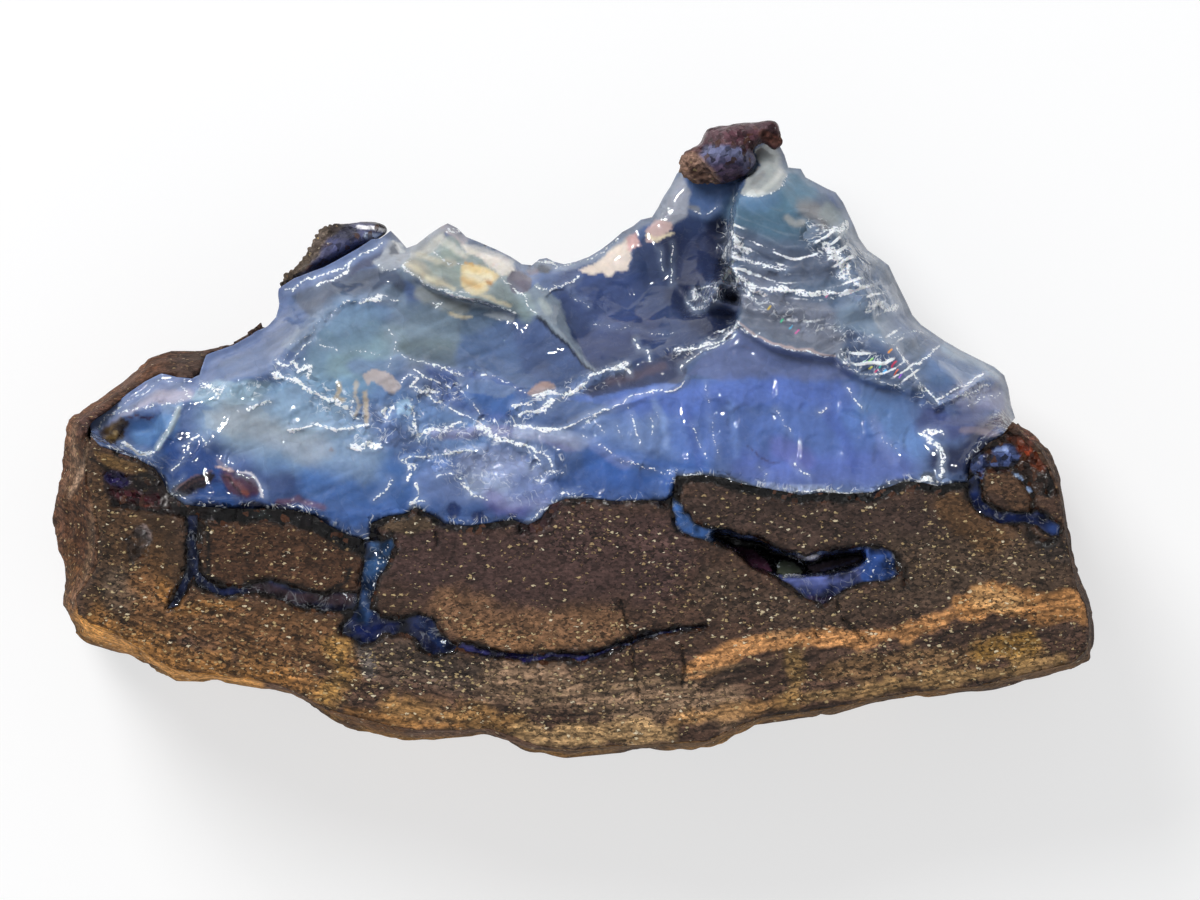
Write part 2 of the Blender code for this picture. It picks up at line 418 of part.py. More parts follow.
def relief_solid(name, outline, top_lines, under_lines, finish, spacing=None, under_spacing=None, rows=1):
    """A solid between an upper and a lower surface that share an outline of (x, y, top, underside)."""
    upper, upper_faces = surface([(x, y, t) for x, y, t, _ in outline], top_lines, spacing)
    lower, lower_faces = surface([(x, y, u) for x, y, _, u in outline], under_lines, under_spacing)
    shape = bmesh.new()
    up = [shape.verts.new(Vector(p) * MM) for p in upper]
    down = [shape.verts.new(Vector(p) * MM) for p in lower]
    for face in upper_faces:
        shape.faces.new([up[i] for i in face])
    for face in lower_faces:
        shape.faces.new([down[i] for i in reversed(face)])
    rings = [up]
    for ring in side_rings(outline, rows, SIDE_RELIEF)[1:-1]:
        rings.append([shape.verts.new(Vector(p) * MM) for p in ring])
    rings.append(down)
    count = len(outline)
    for ring, following in zip(rings, rings[1:]):
        for i in range(count):
            j = (i + 1) % count
            shape.faces.new([ring[i], ring[j], following[j], following[i]])
    bmesh.ops.triangulate(shape, faces=shape.faces[:])
    bmesh.ops.recalc_face_normals(shape, faces=shape.faces[:])
    mesh = bpy.data.meshes.new(name)
    shape.to_mesh(mesh)
    shape.free()
    return add_object(name, mesh, finish)


def prism(name, outline, low, high, finish=None):
    """The outline as an upright block between two heights."""
    shape = bmesh.new()
    floor = shape.faces.new([shape.verts.new(Vector((x, y, low)) * MM) for x, y in outline])
    risen = bmesh.ops.extrude_face_region(shape, geom=[floor])["geom"]
    corners = [v for v in risen if isinstance(v, bmesh.types.BMVert)]
    bmesh.ops.translate(shape, verts=corners, vec=(0, 0, (high - low) * MM))
    bmesh.ops.triangulate(shape, faces=shape.faces[:])
    bmesh.ops.recalc_face_normals(shape, faces=shape.faces[:])
    mesh = bpy.data.meshes.new(name)
    shape.to_mesh(mesh)
    shape.free()
    return add_object(name, mesh, finish)


def combine(obj, other, operation):
    """A Boolean on obj. The other shape is a helper, and stays hidden."""
    step = obj.modifiers.new(f"{operation.lower()} {other.name}", "BOOLEAN")
    step.object = other
    step.operation = operation
    step.solver = "EXACT"
    other.hide_render = True
    other.display_type = "WIRE"


def with_heights(points, top, underside):
    return [(x, y, top, underside) for x, y in points]


def at_height(points, height):
    return [(x, y, height) for x, y in points]


def closed_line(points):
    return points + points[:1]


def opal_outline():
    """The seam's outline in plan with its heights, anticlockwise."""
    left = [(x, y, top, SHELF + GAP) for x, y, top in LEFT_CONTACT]
    seam = with_heights(SEAM_CONTACT, SEAM_TOP, SHELF + GAP)
    return list(reversed(left + RIM + seam))


def ripple_lines():
    """Ledges on the dome: a crest and, just outside it, the foot that it drops to."""
    lines = []
    start, stop = RIPPLE_ARC
    field = grown(opal_outline(), -RIPPLE_MARGIN)
    for k, radius in enumerate(RIPPLE_RADII):
        crest_height = RIPPLE_TOP + RIPPLE_FALL * (radius - RIPPLE_RADII[0])
        for offset, height in ((0.0, crest_height), (LEDGE_WIDTH, crest_height - LEDGE_DROP)):
            line = []
            for i in range(RIPPLE_POINTS):
                share = i / (RIPPLE_POINTS - 1)
                angle = start + (stop - start) * share
                reach = radius + offset + 0.35 * math.sin(7 * share + k)
                x = RIPPLE_CENTRE[0] + reach * math.cos(angle)
                y = RIPPLE_CENTRE[1] + reach * math.sin(angle)
                if is_inside((x, y), field):
                    line.append((x, y, height - 1.4 * abs(share - 0.4) ** 1.5))
            lines.append(line)
    return lines


def wavy_sides():
    """The natural sides, whose upper and lower edges wander as they go round."""
    sides = []
    for k, (x, y) in enumerate(STONE_SIDES):
        top = SKIN_TOP + SKIN_WAVE * math.sin(1.9 * k) * math.cos(0.7 * k)
        foot = SKIN_FOOT + 0.5 * SKIN_WAVE * math.sin(1.3 * k + 1.0)
        sides.append((x, y, top, foot))
    return sides


def make_host(finish):
    """The ironstone: sawn flat on top, natural skin round its sides, flat where it rests."""
    sides = wavy_sides()
    shelf = with_heights(SHELF_EDGE, SHELF + 1.0, SKIN_FOOT)
    strip = with_heights(SKIN_STRIP, SKIN_STRIP_TOP, SKIN_FOOT)
    outline = sides + shelf + strip
    foot = grown([p[:2] for p in outline], -FOOT_INSET)
    host = relief_solid(
        "ironstone_host",
        outline,
        [closed_line(at_height(SAWN_EDGE, FACE)), SKIN_RIDGE],
        [closed_line(at_height(foot, 0.0))],
        finish,
        rows=SIDE_ROWS,
    )
    clearance = grown([p[:2] for p in opal_outline()], GAP)
    combine(host, prism("seam_cut", clearance, SHELF, FACE + 6), "DIFFERENCE")
    for name, outline in (("left", LEFT_VEINS), ("right", RIGHT_VEINS), ("cavity", RIGHT_VEIN)):
        cut = prism(f"{name}_vein_cut", grown(outline, GAP), VEIN_FLOOR - GAP, FACE + 6)
        combine(host, cut, "DIFFERENCE")
    return host


def make_opal(finish):
    """The opal seam with its veins, one grown piece."""
    outline = opal_outline()
    shelf_line = [p for p in reversed(SHELF_EDGE) if p[1] > 3.0]
    opal = relief_solid(
        "opal_seam",
        outline,
        list(BREAKS.values()) + ripple_lines(),
        [at_height(shelf_line, SHELF + GAP)],
        finish,
        FILL_SPACING,
        2.5 * FILL_SPACING,
    )
    for name, vein in (("left", LEFT_VEINS), ("right", RIGHT_VEINS), ("cavity", RIGHT_VEIN)):
        combine(opal, prism(f"{name}_vein", vein, VEIN_FLOOR, VEIN_TOP), "UNION")
    for name, fragment in (("left", LEFT_FRAGMENT), ("right", RIGHT_FRAGMENT)):
        cut = prism(f"{name}_fragment_seat", grown(fragment, GAP), VEIN_FLOOR - 1, FACE + 1)
        combine(opal, cut, "DIFFERENCE")
    combine(opal, prism("cavity_cut", CAVITY, CAVITY_FLOOR, FACE + 1), "DIFFERENCE")
    combine(opal, prism("cap_seat", grown(CAP_OUTLINE, GAP), SEAT, FACE), "DIFFERENCE")
    return opal


def make_fragments(finish):
    """Two pieces of ironstone that the veins surround."""
    for name, fragment in (("left", LEFT_FRAGMENT), ("right", RIGHT_FRAGMENT)):
        prism(f"ironstone_fragment_{name}", fragment, VEIN_FLOOR, FACE, finish)


def make_cap(finish):
    relief_solid(
        "ironstone_peak_cap",
        list(reversed(with_heights(CAP_OUTLINE, CAP_TOP, CAP_FOOT))),
        CAP_BREAKS,
        [],
        finish,
        1.1,
    )


def make_crust(finish):
    contact = [(x, y) for x, y, _, _ in SHOULDER_CONTACT]
    clear = [(x - 0.5 * GAP, y + GAP) for x, y in contact]
    outline = with_heights(clear + CRUST_OUTLINE, CRUST_TOP, CRUST_FOOT)
    relief_solid("dark_shoulder_crust", outline, CRUST_BREAKS, [], finish, 1.3)


def main():
    clear_scene()
    ironstone = material("ironstone", (0.075, 0.042, 0.026), 0.75)
    opal = material("opal", (0.11, 0.20, 0.48), 0.12)
    crust = material("dark crust", (0.018, 0.014, 0.016), 0.3)
    cap = material("red ironstone", (0.075, 0.018, 0.014), 0.35)
    make_host(ironstone)
    make_opal(opal)
    make_fragments(ironstone)
    make_cap(cap)
    make_crust(crust)


main()
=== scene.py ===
import itertools

import bpy
import numpy as np
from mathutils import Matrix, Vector
from mathutils.bvhtree import BVHTree
from mathutils.geometry import delaunay_2d_cdt


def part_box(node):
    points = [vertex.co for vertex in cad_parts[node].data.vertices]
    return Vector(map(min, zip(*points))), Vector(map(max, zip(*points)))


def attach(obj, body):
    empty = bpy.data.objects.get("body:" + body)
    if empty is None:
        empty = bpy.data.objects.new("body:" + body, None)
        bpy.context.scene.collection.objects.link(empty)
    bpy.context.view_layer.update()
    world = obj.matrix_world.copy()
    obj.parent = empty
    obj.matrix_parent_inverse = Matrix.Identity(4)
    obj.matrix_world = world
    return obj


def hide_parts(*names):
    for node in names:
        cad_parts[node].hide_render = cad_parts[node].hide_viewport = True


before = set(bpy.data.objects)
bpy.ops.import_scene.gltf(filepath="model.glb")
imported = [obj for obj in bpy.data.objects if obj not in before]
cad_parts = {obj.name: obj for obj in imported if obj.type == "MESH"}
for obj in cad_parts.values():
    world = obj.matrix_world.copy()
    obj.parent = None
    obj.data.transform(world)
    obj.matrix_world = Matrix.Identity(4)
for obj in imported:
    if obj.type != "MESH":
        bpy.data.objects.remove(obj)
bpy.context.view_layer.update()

# Rough opal specimen: an ironstone slab with a sawn face, and blue opal broken along its upper edge.
# Plan places are millimetres, x along the slab and y towards the opal's rim. Heights are above the floor.

MM = 0.001
FACE = 24.0  # height of the sawn face


# ---------------------------------------------------------------- places on the specimen

# The sawn face's worn edge, round from the left end to the right.
SAWN_EDGE = [
    (-38.5, 0.3), (-38.9, -1.6), (-38.9, -3.4), (-38.4, -5), (-37.9, -7.4), (-38.1, -10), (-38.9, -11.4),
    (-39.8, -12.6), (-39.6, -13.9), (-38.6, -14.7), (-36.6, -15.4), (-34.8, -16.4), (-33.4, -17.6),
    (-31.6, -18.4), (-28.6, -18.8), (-25.8, -19.1), (-23.4, -19.6), (-21.4, -20.5), (-19.6, -21.6),
    (-17.6, -22), (-14.6, -22.8), (-12.4, -23.2), (-9, -23.2), (-6.6, -23.1), (-4.6, -23.8), (-2.6, -24.5),
    (0, -24.8), (3, -24.5), (7, -24.3), (10.8, -24.1), (13, -23), (15, -22.2), (19, -21.7), (22, -21.2),
    (25, -20.5), (28, -20.1), (32.4, -19.7), (36.2, -18.7), (40, -17.8), (41.2, -16.6), (41.3, -15),
    (41.1, -13.4), (40.3, -11.8), (39.9, -10), (39.5, -8), (39.2, -6), (38.9, -4), (38.2, -2.2),
    (37.4, -0.8), (36.4, 0.1), (35.6, 0.9),
]
# The opal's outline in four stretches: beside the ironstone arm, under the dark crust, its free rim, and
# its contact with the sawn face.
OPAL_LEFT = [
    (-38.6, 0.3), (-38.5, 1.2), (-37, 2.2), (-35.5, 3.5), (-34.2, 4.4), (-33, 5), (-31.8, 4.7), (-30.5, 4.6),
    (-29.7, 5), (-29.2, 6.6), (-27.2, 7.3), (-25.6, 8.2), (-24.6, 9.1), (-23.9, 9.9),
]
OPAL_SHOULDER = [
    (-23.6, 11), (-23.4, 12), (-22.3, 12.7), (-21, 13.2), (-19.9, 13.6), (-18.6, 14.3), (-17.2, 15.1),
    (-16, 15.9), (-15.2, 16.5),
]
OPAL_RIM = [
    (-14.7, 16.9), (-14.1, 16.3), (-13.4, 15.5), (-12.6, 15.8), (-11.6, 16.6), (-10.7, 17.2), (-10.1, 17.5),
    (-9.3, 17.1), (-8.6, 16.4), (-7.6, 16), (-6.2, 15.4), (-5, 14.8), (-4.1, 14.2), (-3.3, 14.1),
    (-2.7, 14.6), (-2.1, 14.7), (-1.5, 14.4), (-0.7, 14.2), (0.2, 14.4), (1.3, 14.8), (2.3, 15.4),
    (3.2, 16.1), (4, 16.8), (4.9, 17.3), (5.5, 17.8), (6.4, 18), (6.9, 18.8), (7.3, 19.6), (7.9, 20.5),
    (8.4, 21.5), (9.4, 22.6), (10.8, 23.3), (11.5, 24.2), (13.5, 24.6), (15.6, 24.7), (16.6, 24), (17.1, 23),
    (17.4, 22), (18.4, 21.9), (18.8, 21.2), (20.5, 20.3), (21.2, 20), (21.8, 19.2), (22.7, 17.3),
    (23.1, 16.3), (23.8, 15.3), (24.7, 14.7), (25.5, 14.1), (26.2, 12.6), (27, 11), (27.4, 10.1),
    (28.1, 9.3), (30, 8), (31.4, 7.2), (32.8, 6.5), (34, 5.9), (34.8, 5.2), (35.1, 4.2), (35.3, 2.8),
    (35.6, 1.8),
]
OPAL_CONTACT = [
    (34.4, 0.4), (33.2, -0.3), (31.9, -1.6), (31.6, -3.4), (30.6, -3.4), (29.3, -3.7), (28, -3.4),
    (26.5, -3.3), (25.2, -3.8), (24, -4.2), (22, -4.3), (20, -4.2), (18.2, -4.4), (16.8, -4.1), (15, -3.8),
    (13.6, -3.5), (12, -3), (10.4, -2.8), (8.3, -2.9), (8.1, -4.4), (7.4, -4.9), (5.5, -4.8), (3.5, -4.9),
    (1.5, -4.7), (-0.5, -4.7), (-1.8, -5.2), (-2.5, -6.3), (-3.6, -6.8), (-4.8, -6.4), (-6.4, -6.6),
    (-8.4, -6.9), (-10.2, -6.7), (-11.1, -6.1), (-12.6, -5.4), (-13.3, -5.9), (-14.8, -6.1), (-16.1, -6.7),
    (-16.3, -8.1), (-18, -7.6), (-19.4, -6.9), (-20.6, -6.1), (-22.4, -5.6), (-24.7, -5.5), (-27.4, -5.5),
    (-31, -5.2), (-32.4, -4.2), (-32.8, -3.2), (-33.4, -2.3), (-34.8, -1.5), (-36.4, -1), (-37.8, -0.5),
    (-38.6, 0.3),
]
OPAL_OUTLINE = OPAL_LEFT + OPAL_SHOULDER + OPAL_RIM + OPAL_CONTACT[:-1]

# Opal that fills cracks in the sawn face, as closed outlines.
VEINS = {
    "left": [
        (-30.9, -6), (-30, -6), (-30, -7.4), (-30.1, -8.8), (-29.8, -10.6), (-29.2, -11.3), (-28, -11.7),
        (-26.6, -11.9), (-25.4, -11.4), (-24.2, -11.1), (-23, -11.5), (-21.6, -12.1), (-20, -12.4),
        (-18.6, -12.1), (-17.2, -12.2), (-17, -12.9), (-17.3, -13.5), (-18.4, -13.8), (-19.8, -13.8),
        (-21.6, -13.5), (-22.6, -12.9), (-24, -12.5), (-25.6, -12.1), (-27.4, -12.5), (-28.9, -12.2),
        (-29.9, -11.7), (-30.4, -11), (-31, -12.2), (-31.6, -13.3), (-32.4, -13.5), (-32.2, -12.9),
        (-31.5, -11.6), (-30.9, -10.2), (-30.8, -8.6),
    ],
    "centre": [
        (-16.6, -8.2), (-14.5, -7.7), (-14.3, -8.6), (-14.7, -9.9), (-15.6, -11), (-15.9, -12.3),
        (-16, -13.4), (-15.4, -14.2), (-13.6, -14.3), (-12.2, -14), (-11.3, -14.3), (-10.7, -15.2),
        (-10, -16), (-9, -16.7), (-7.4, -17), (-6, -17.35), (-4.4, -17.4), (-2.9, -17.7), (-1.4, -17.45),
        (0.4, -17.65), (2.4, -17.1), (4.2, -16.4), (6.2, -15.7), (8.2, -15.25), (10.6, -14.95),
        (8.3, -15.05), (6.2, -15.45), (4, -16.2), (2.4, -16.8), (0.9, -17.15), (-1, -17.1), (-3.2, -17.2),
        (-5.4, -17.1), (-7.4, -16.7), (-8.8, -16.2), (-9.6, -16.9), (-11, -17.2), (-12, -16.8),
        (-12.6, -15.9), (-13.6, -15.5), (-15.1, -15.5), (-16, -16.2), (-17, -16.4), (-17.6, -15.9),
        (-18.4, -15.4), (-18.3, -14.8), (-17.6, -14.1), (-17, -12.9), (-17, -11.2), (-16.5, -9.6),
    ],
    "right": [
        (8.1, -4.3), (8.5, -4.7), (8.9, -5.7), (9.6, -6.6), (10.8, -7), (12.6, -7.3), (14, -7.7),
        (15.2, -7.9), (16.2, -8.7), (17.5, -9), (18.7, -9.4), (20, -8.9), (21.5, -8.7), (23.3, -8.6),
        (24.8, -8.6), (25.6, -9.1), (26, -9.9), (26.1, -10.8), (25.4, -11.2), (23.2, -11.5), (21.6, -12.1),
        (20.7, -12.7), (20, -13.3), (19, -12.7), (17.2, -11.7), (16.2, -10.9), (14.6, -10.2), (13.6, -9.4),
        (12.8, -8.7), (11.6, -8.2), (9.8, -7.9), (8.8, -7.5), (8.2, -6.8), (8.05, -5.6),
    ],
    "right end": [
        (31.5, -3.2), (32.6, -2.6), (32.6, -3.8), (33, -4.9), (34, -5.6), (35.2, -5.9), (36.6, -5.9),
        (37.2, -5.6), (38, -5.9), (38.6, -6.5), (39.1, -6.8), (39, -7.7), (38.2, -7.6), (37.6, -7),
        (36.2, -6.7), (34.6, -6.7), (33.2, -6.2), (32.2, -5.5), (31.7, -4.4),
    ],
}
# The small hollow in the right-hand vein.
HOLLOW = [
    (11.3, -7.6), (12.4, -7.55), (13.8, -8), (15.1, -8.15), (16.1, -8.95), (17.5, -9.25), (18.4, -9.55),
    (18.7, -9.9), (19.3, -9.85), (20.1, -9.35), (21.5, -9.15), (23.2, -9), (23.3, -9.5), (22.8, -9.95),
    (21.5, -10.3), (20, -10.7), (18.5, -10.75), (17, -10.9), (16.1, -10.7), (15, -10.3), (14, -9.6),
    (13, -8.6), (12, -8.05),
]


# ---------------------------------------------------------------- measuring and noise


def linear(colour):
    """An sRGB hex value such as "#4F6DB2" as three numbers in linear light."""
    parts = np.array([int(colour[i : i + 2], 16) for i in (1, 3, 5)]) / 255
    return np.where(parts <= 0.04045, parts / 12.92, ((parts + 0.055) / 1.055) ** 2.4)


def lumps(points, size, seed):
    """Smooth noise from -1 to 1 whose lumps are about size across, over points in two or three dimensions."""
    cells = np.asarray(points) / size
    whole = np.floor(cells).astype(np.int64)
    part = cells - whole
    fade = part * part * (3 - 2 * part)
    total = np.zeros(len(cells))
    primes = np.array([73856093, 19349663, 83492791])[: cells.shape[1]]
    for corner in itertools.product((0, 1), repeat=cells.shape[1]):
        key = ((whole + corner) * primes).sum(axis=1) + seed * 2654435761
        key = ((key ^ (key >> 15)) * 2246822519) & 0xFFFFFFFF
        key = ((key ^ (key >> 13)) * 3266489917) & 0xFFFFFFFF
        value = ((key ^ (key >> 16)) & 0xFFFFFF) / 0x7FFFFF - 1.0
        total += value * np.prod(np.where(np.array(corner) == 1, fade, 1 - fade), axis=1)
    return total


def rough(points, size, seed, octaves=4):
    """Lumps within lumps, each octave half the size and half the height of the one before."""
    return sum(lumps(points, size / 2**k, seed + k) / 2**k for k in range(octaves))


def smooth_step(values):
    """0 to 1 with a gentle start and end, from values that run from 0 to 1."""
    values = np.clip(values, 0, 1)
    return values * values * (3 - 2 * values)


def is_inside(points, outline):
    """Which of the points lie inside the outline, by counting the edges to their right."""
    inside = np.zeros(len(points), bool)
    x, y = points[:, 0], points[:, 1]
    for (x0, y0), (x1, y1) in zip(outline, outline[1:] + outline[:1]):
        if y0 == y1:
            continue
        crosses = ((y0 > y) != (y1 > y)) & (x < (x1 - x0) * (y - y0) / (y1 - y0) + x0)
        inside ^= crosses
    return inside


def near_path(points, path, limit):
    """(which points lie within limit of a path, how far away they are).

    A path that ends where it starts is an area, and a point inside it is at no distance.
    """
    path = np.array(path, float)
    low, high = path.min(axis=0) - limit, path.max(axis=0) + limit
    ids = np.flatnonzero(((points >= low) & (points <= high)).all(axis=1))
    spot = points[ids]
    away = np.full(len(ids), np.inf)
    for a, b in zip(path[:-1], path[1:]):
        along = b - a
        share = np.clip((spot - a) @ along / max(along @ along, 1e-9), 0, 1)
        off = spot - a - share[:, None] * along
        away = np.minimum(away, np.hypot(off[:, 0], off[:, 1]))
    if (path[0] == path[-1]).all():
        away = np.where(is_inside(spot, path[:-1].tolist()), 0, away)
    keep = away <= limit
    return ids[keep], away[keep]


def falloff(points, path, width):
    """1 on the path, falling evenly to 0 at width from it."""
    values = np.zeros(len(points))
    ids, away = near_path(points, path, width)
    values[ids] = 1 - away / width
    return values


def any_near(points, paths, limit):
    """Which of the points lie within limit of any of the paths."""
    near = np.zeros(len(points), bool)
    for path in paths:
        near[near_path(points, path, limit)[0]] = True
    return near


def resampled(path, spacing, closed=False):
    """Points along the path about spacing apart, with its corners kept."""
    path = [np.array(p, float) for p in path]
    ends = path[1:] + path[:1] if closed else path[1:]
    out = []
    for a, b in zip(path, ends):
        steps = max(1, round(float(np.hypot(*(b - a))) / spacing))
        out += [a + (b - a) * k / steps for k in range(steps)]
    if not closed:
        out.append(path[-1])
    return np.array(out)


# ---------------------------------------------------------------- meshes

FINE_REACH = 0.35  # how far from a path the fine points spread


def staggered(low, high, spacing):
    """Points over a rectangle, spacing apart, each row shifted by half, and none quite in line."""
    rows = np.arange(low[1], high[1], spacing * 0.87)
    columns = np.arange(low[0], high[0], spacing)
    grid = np.stack(np.meshgrid(columns, rows), axis=-1)
    grid[1::2, :, 0] += spacing / 2
    grid = grid.reshape(-1, 2)
    return grid + np.random.default_rng(3).uniform(-0.12, 0.12, grid.shape) * spacing


def pack_cells(cells):
    """One number for each pair of whole numbers."""
    return cells[:, 0] * 1000003 + cells[:, 1]


def filled(outline, spacing, lines=(), fine_spacing=None, fine_along=()):
    """(points, triangles) of a flat sheet inside the outline, whose points come first, in order.

    Triangle edges follow the lines, and there are finer points close to the paths in fine_along.
    """
    border = np.array(outline)
    held = [border] + [np.array(line) for line in lines]
    edges = [(i, (i + 1) % len(border)) for i in range(len(border))]
    start = len(border)
    for line in held[1:]:
        edges += [(start + i, start + i + 1) for i in range(len(line) - 1)]
        start += len(line)
    held = np.concatenate(held)
    low, high = border.min(axis=0), border.max(axis=0)
    grid = staggered(low, high, spacing)
    if fine_spacing:
        fine = staggered(low, high, fine_spacing)
        coarse = grid[~any_near(grid, fine_along, FINE_REACH)]
        grid = np.concatenate([coarse, fine[any_near(fine, fine_along, FINE_REACH)]])
    reach = 0.8 * (fine_spacing or spacing)
    taken = pack_cells(np.floor(held / reach).astype(np.int64))
    grid = grid[~np.isin(pack_cells(np.floor(grid / reach).astype(np.int64)), taken)]
    grid = grid[is_inside(grid, border.tolist())]
    plan = [Vector(p) for p in np.concatenate([held, grid])]
    points, _, triangles, origins = delaunay_2d_cdt(plan, edges, [list(range(len(border)))], 1, 1e-5)[:4]
    rank = np.full(len(points), -1)
    for i, sources in enumerate(origins):
        rank[i] = next((source for source in sources if source < len(border)), -1)
    rest = np.flatnonzero(rank < 0)
    rank[rest] = len(border) + np.arange(len(rest))
    ordered = np.zeros((max(rank.max() + 1, len(points)), 2))
    ordered[rank] = np.array([p[:] for p in points])
    return ordered, rank[np.array(triangles)]


def mesh_piece(name, points, faces, nodes, finish, marks):
    """Makes a piece from points in millimetres. marks are its named values, one number or colour a point."""
    mesh = bpy.data.meshes.new(name)
    mesh.from_pydata((points * MM).tolist(), [], faces)
    mesh.validate()
    for mark, values in marks.items():
        if values.ndim == 2:
            layer = mesh.color_attributes.new(mark, "FLOAT_COLOR", "POINT")
            rgba = np.column_stack([values, np.ones(len(values))])
            layer.data.foreach_set("color", rgba.astype(np.float32).ravel())
        else:
            layer = mesh.attributes.new(mark, "FLOAT", "POINT")
            layer.data.foreach_set("value", values.astype(np.float32))
    mesh.polygons.foreach_set("use_smooth", [True] * len(mesh.polygons))
    mesh.materials.append(finish)
    piece = bpy.data.objects.new(name, mesh)
    bpy.context.scene.collection.objects.link(piece)
    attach(piece, "root")
    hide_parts(*nodes)
    return piece


def tree_of(node):
    """The CAD node's surface, for measuring heights on it in millimetres."""
    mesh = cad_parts[node].data
    return BVHTree.FromPolygons([v.co / MM for v in mesh.vertices], [p.vertices[:] for p in mesh.polygons])


def heights_on(tree, plan, falling):
    """Height of the CAD surface at each plan point, seen from above (falling) or from below."""
    start, way = (60.0, -1.0) if falling else (-20.0, 1.0)
    found = np.full(len(plan), np.nan)
    for i, (x, y) in enumerate(plan):
        hit = tree.ray_cast(Vector((x, y, start)), Vector((0, 0, way)))[0]
        if hit is not None:
            found[i] = hit[2]
    return found


class HeightMap:
    """Heights on a square grid over the CAD surface, softened where it is nearly level but not at cliffs."""

    def __init__(self, node, falling, cell=0.2, passes=1, cliff=0.5):
        low, high = (np.array(corner)[:2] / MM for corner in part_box(node))
        margin = 1.0
        self.low, self.cell = low - margin, cell
        shape = np.ceil((high - low + 2 * margin) / cell).astype(int) + 1
        columns = self.low[0] + np.arange(shape[0]) * cell
        rows = self.low[1] + np.arange(shape[1]) * cell
        plan = np.stack(np.meshgrid(columns, rows, indexing="ij"), axis=-1).reshape(-1, 2)
        values = heights_on(tree_of(node), plan, falling).reshape(shape)
        self.values = self.softened(self.spread(values), passes, cliff)

    @staticmethod
    def shifted(values, i, j):
        """The grid moved by i cells along and j cells up, to set each cell beside a neighbour."""
        return np.roll(np.roll(values, i, axis=0), j, axis=1)

    def spread(self, values):
        """Carries the edge heights a little way outwards, so that the rim can be measured."""
        for _ in range(8):
            gaps = np.isnan(values)
            around = np.stack([self.shifted(values, i, j) for i in (-1, 0, 1) for j in (-1, 0, 1)])
            counts = (~np.isnan(around)).sum(axis=0)
            mean = np.nansum(around, axis=0) / np.maximum(counts, 1)
            values = np.where(gaps & (counts > 0), mean, values)
        return np.nan_to_num(values, nan=float(np.nanmin(values)))

    def softened(self, values, passes, cliff):
        """Each height pulled towards those around it, but hardly to one that differs by more than cliff."""
        for _ in range(passes):
            total, weight = np.zeros_like(values), np.zeros_like(values)
            for i, j in itertools.product(range(-3, 4), repeat=2):
                other = self.shifted(values, i, j)
                pull = np.exp(-(i * i + j * j) / 5.0 - ((other - values) / cliff) ** 2)
                total += other * pull
                weight += pull
            values = total / weight
        return values

    def at(self, plan):
        """Heights at the plan points, between the four nearest cells."""
        place = (plan - self.low) / self.cell
        whole = np.clip(np.floor(place).astype(int), 0, np.array(self.values.shape) - 2)
        u, v = np.clip(place - whole, 0, 1).T
        i, j = whole.T
        near = self.values[i, j] * (1 - v) + self.values[i, j + 1] * v
        far = self.values[i + 1, j] * (1 - v) + self.values[i + 1, j + 1] * v
        return near * (1 - u) + far * u


# ---------------------------------------------------------------- colour by place

# A stroke is (colour, path, radius, softness, strength): full strength as far as the radius from its path,
# then fading over the softness. A path that is closed is filled.


def painted(plan, ground, strokes, waver=0.35, seed=5):
    """Colours in linear light: the ground, then each stroke over it with a soft, uneven edge."""
    colours = np.tile(linear(ground), (len(plan), 1)) if isinstance(ground, str) else ground.copy()
    drift = lumps(plan, 1.8, seed) + 0.5 * lumps(plan, 0.6, seed + 1)
    for colour, path, radius, soft, strength in strokes:
        sway = waver * min(1.0, (radius + soft) / 1.5)
        ids, away = near_path(plan, path, radius + soft + 1.5 * sway)
        share = smooth_step(1 - (away + sway * drift[ids] - radius) / soft) * strength
        colours[ids] += (linear(colour) - colours[ids]) * share[:, None]
    return colours


def marked(plan, strokes, waver=0.3, seed=9):
    """One number a point, from 0 to 1: the strongest of the strokes (path, radius, softness, strength)."""
    values = np.zeros(len(plan))
    drift = lumps(plan, 1.2, seed) + 0.5 * lumps(plan, 0.4, seed + 1)
    for path, radius, soft, strength in strokes:
        sway = waver * min(1.0, (radius + soft) / 1.5)
        ids, away = near_path(plan, path, radius + soft + 1.5 * sway)
        share = smooth_step(1 - (away + sway * drift[ids] - radius) / soft) * strength
        values[ids] = np.maximum(values[ids], share)
    return values


def closed(path):
    """The path led back to its start, which makes it an area."""
    return list(path) + [path[0]]


# ---------------------------------------------------------------- finishes

# What each mesh says about its points. Opal: colour, white bruising and painted glints, shattering,
# clearness, distance from where the dome was struck, and how strongly the dome's ripples flash as painted
# highlights. Ironstone: colour, how much sand, black glaze, height above the lowest bed, and how clearly
# the beds show.
OPAL_MARKS = ("tint", "bruise_and_glint", "hackle", "clear", "ring", "dome_glint_weight")
STONE_MARKS = ("tint", "sand", "glaze", "bed", "layered")


def add(tree, kind, inputs=None, stops=(), **settings):
    """Adds a shader node. inputs maps a socket to a value or to another node's output, stops fill a ramp."""
    made = tree.nodes.new("ShaderNode" + kind)
    for name, value in settings.items():
        setattr(made, name, value)
    for socket, value in (inputs or {}).items():
        if isinstance(value, bpy.types.NodeSocket):
            tree.links.new(value, made.inputs[socket])
        else:
            made.inputs[socket].default_value = value
    for count, (place, colour) in enumerate(stops):
        if count == len(made.color_ramp.elements):
            made.color_ramp.elements.new(place)
        made.color_ramp.elements[count].position = place
        made.color_ramp.elements[count].color = (*linear(colour), 1)
    return made


def new_finish(name):
    """An empty material: (material, node tree, Principled shader)."""
    finish = bpy.data.materials.new(name)
    finish.use_nodes = True
    tree = finish.node_tree
    return finish, tree, tree.nodes["Principled BSDF"]


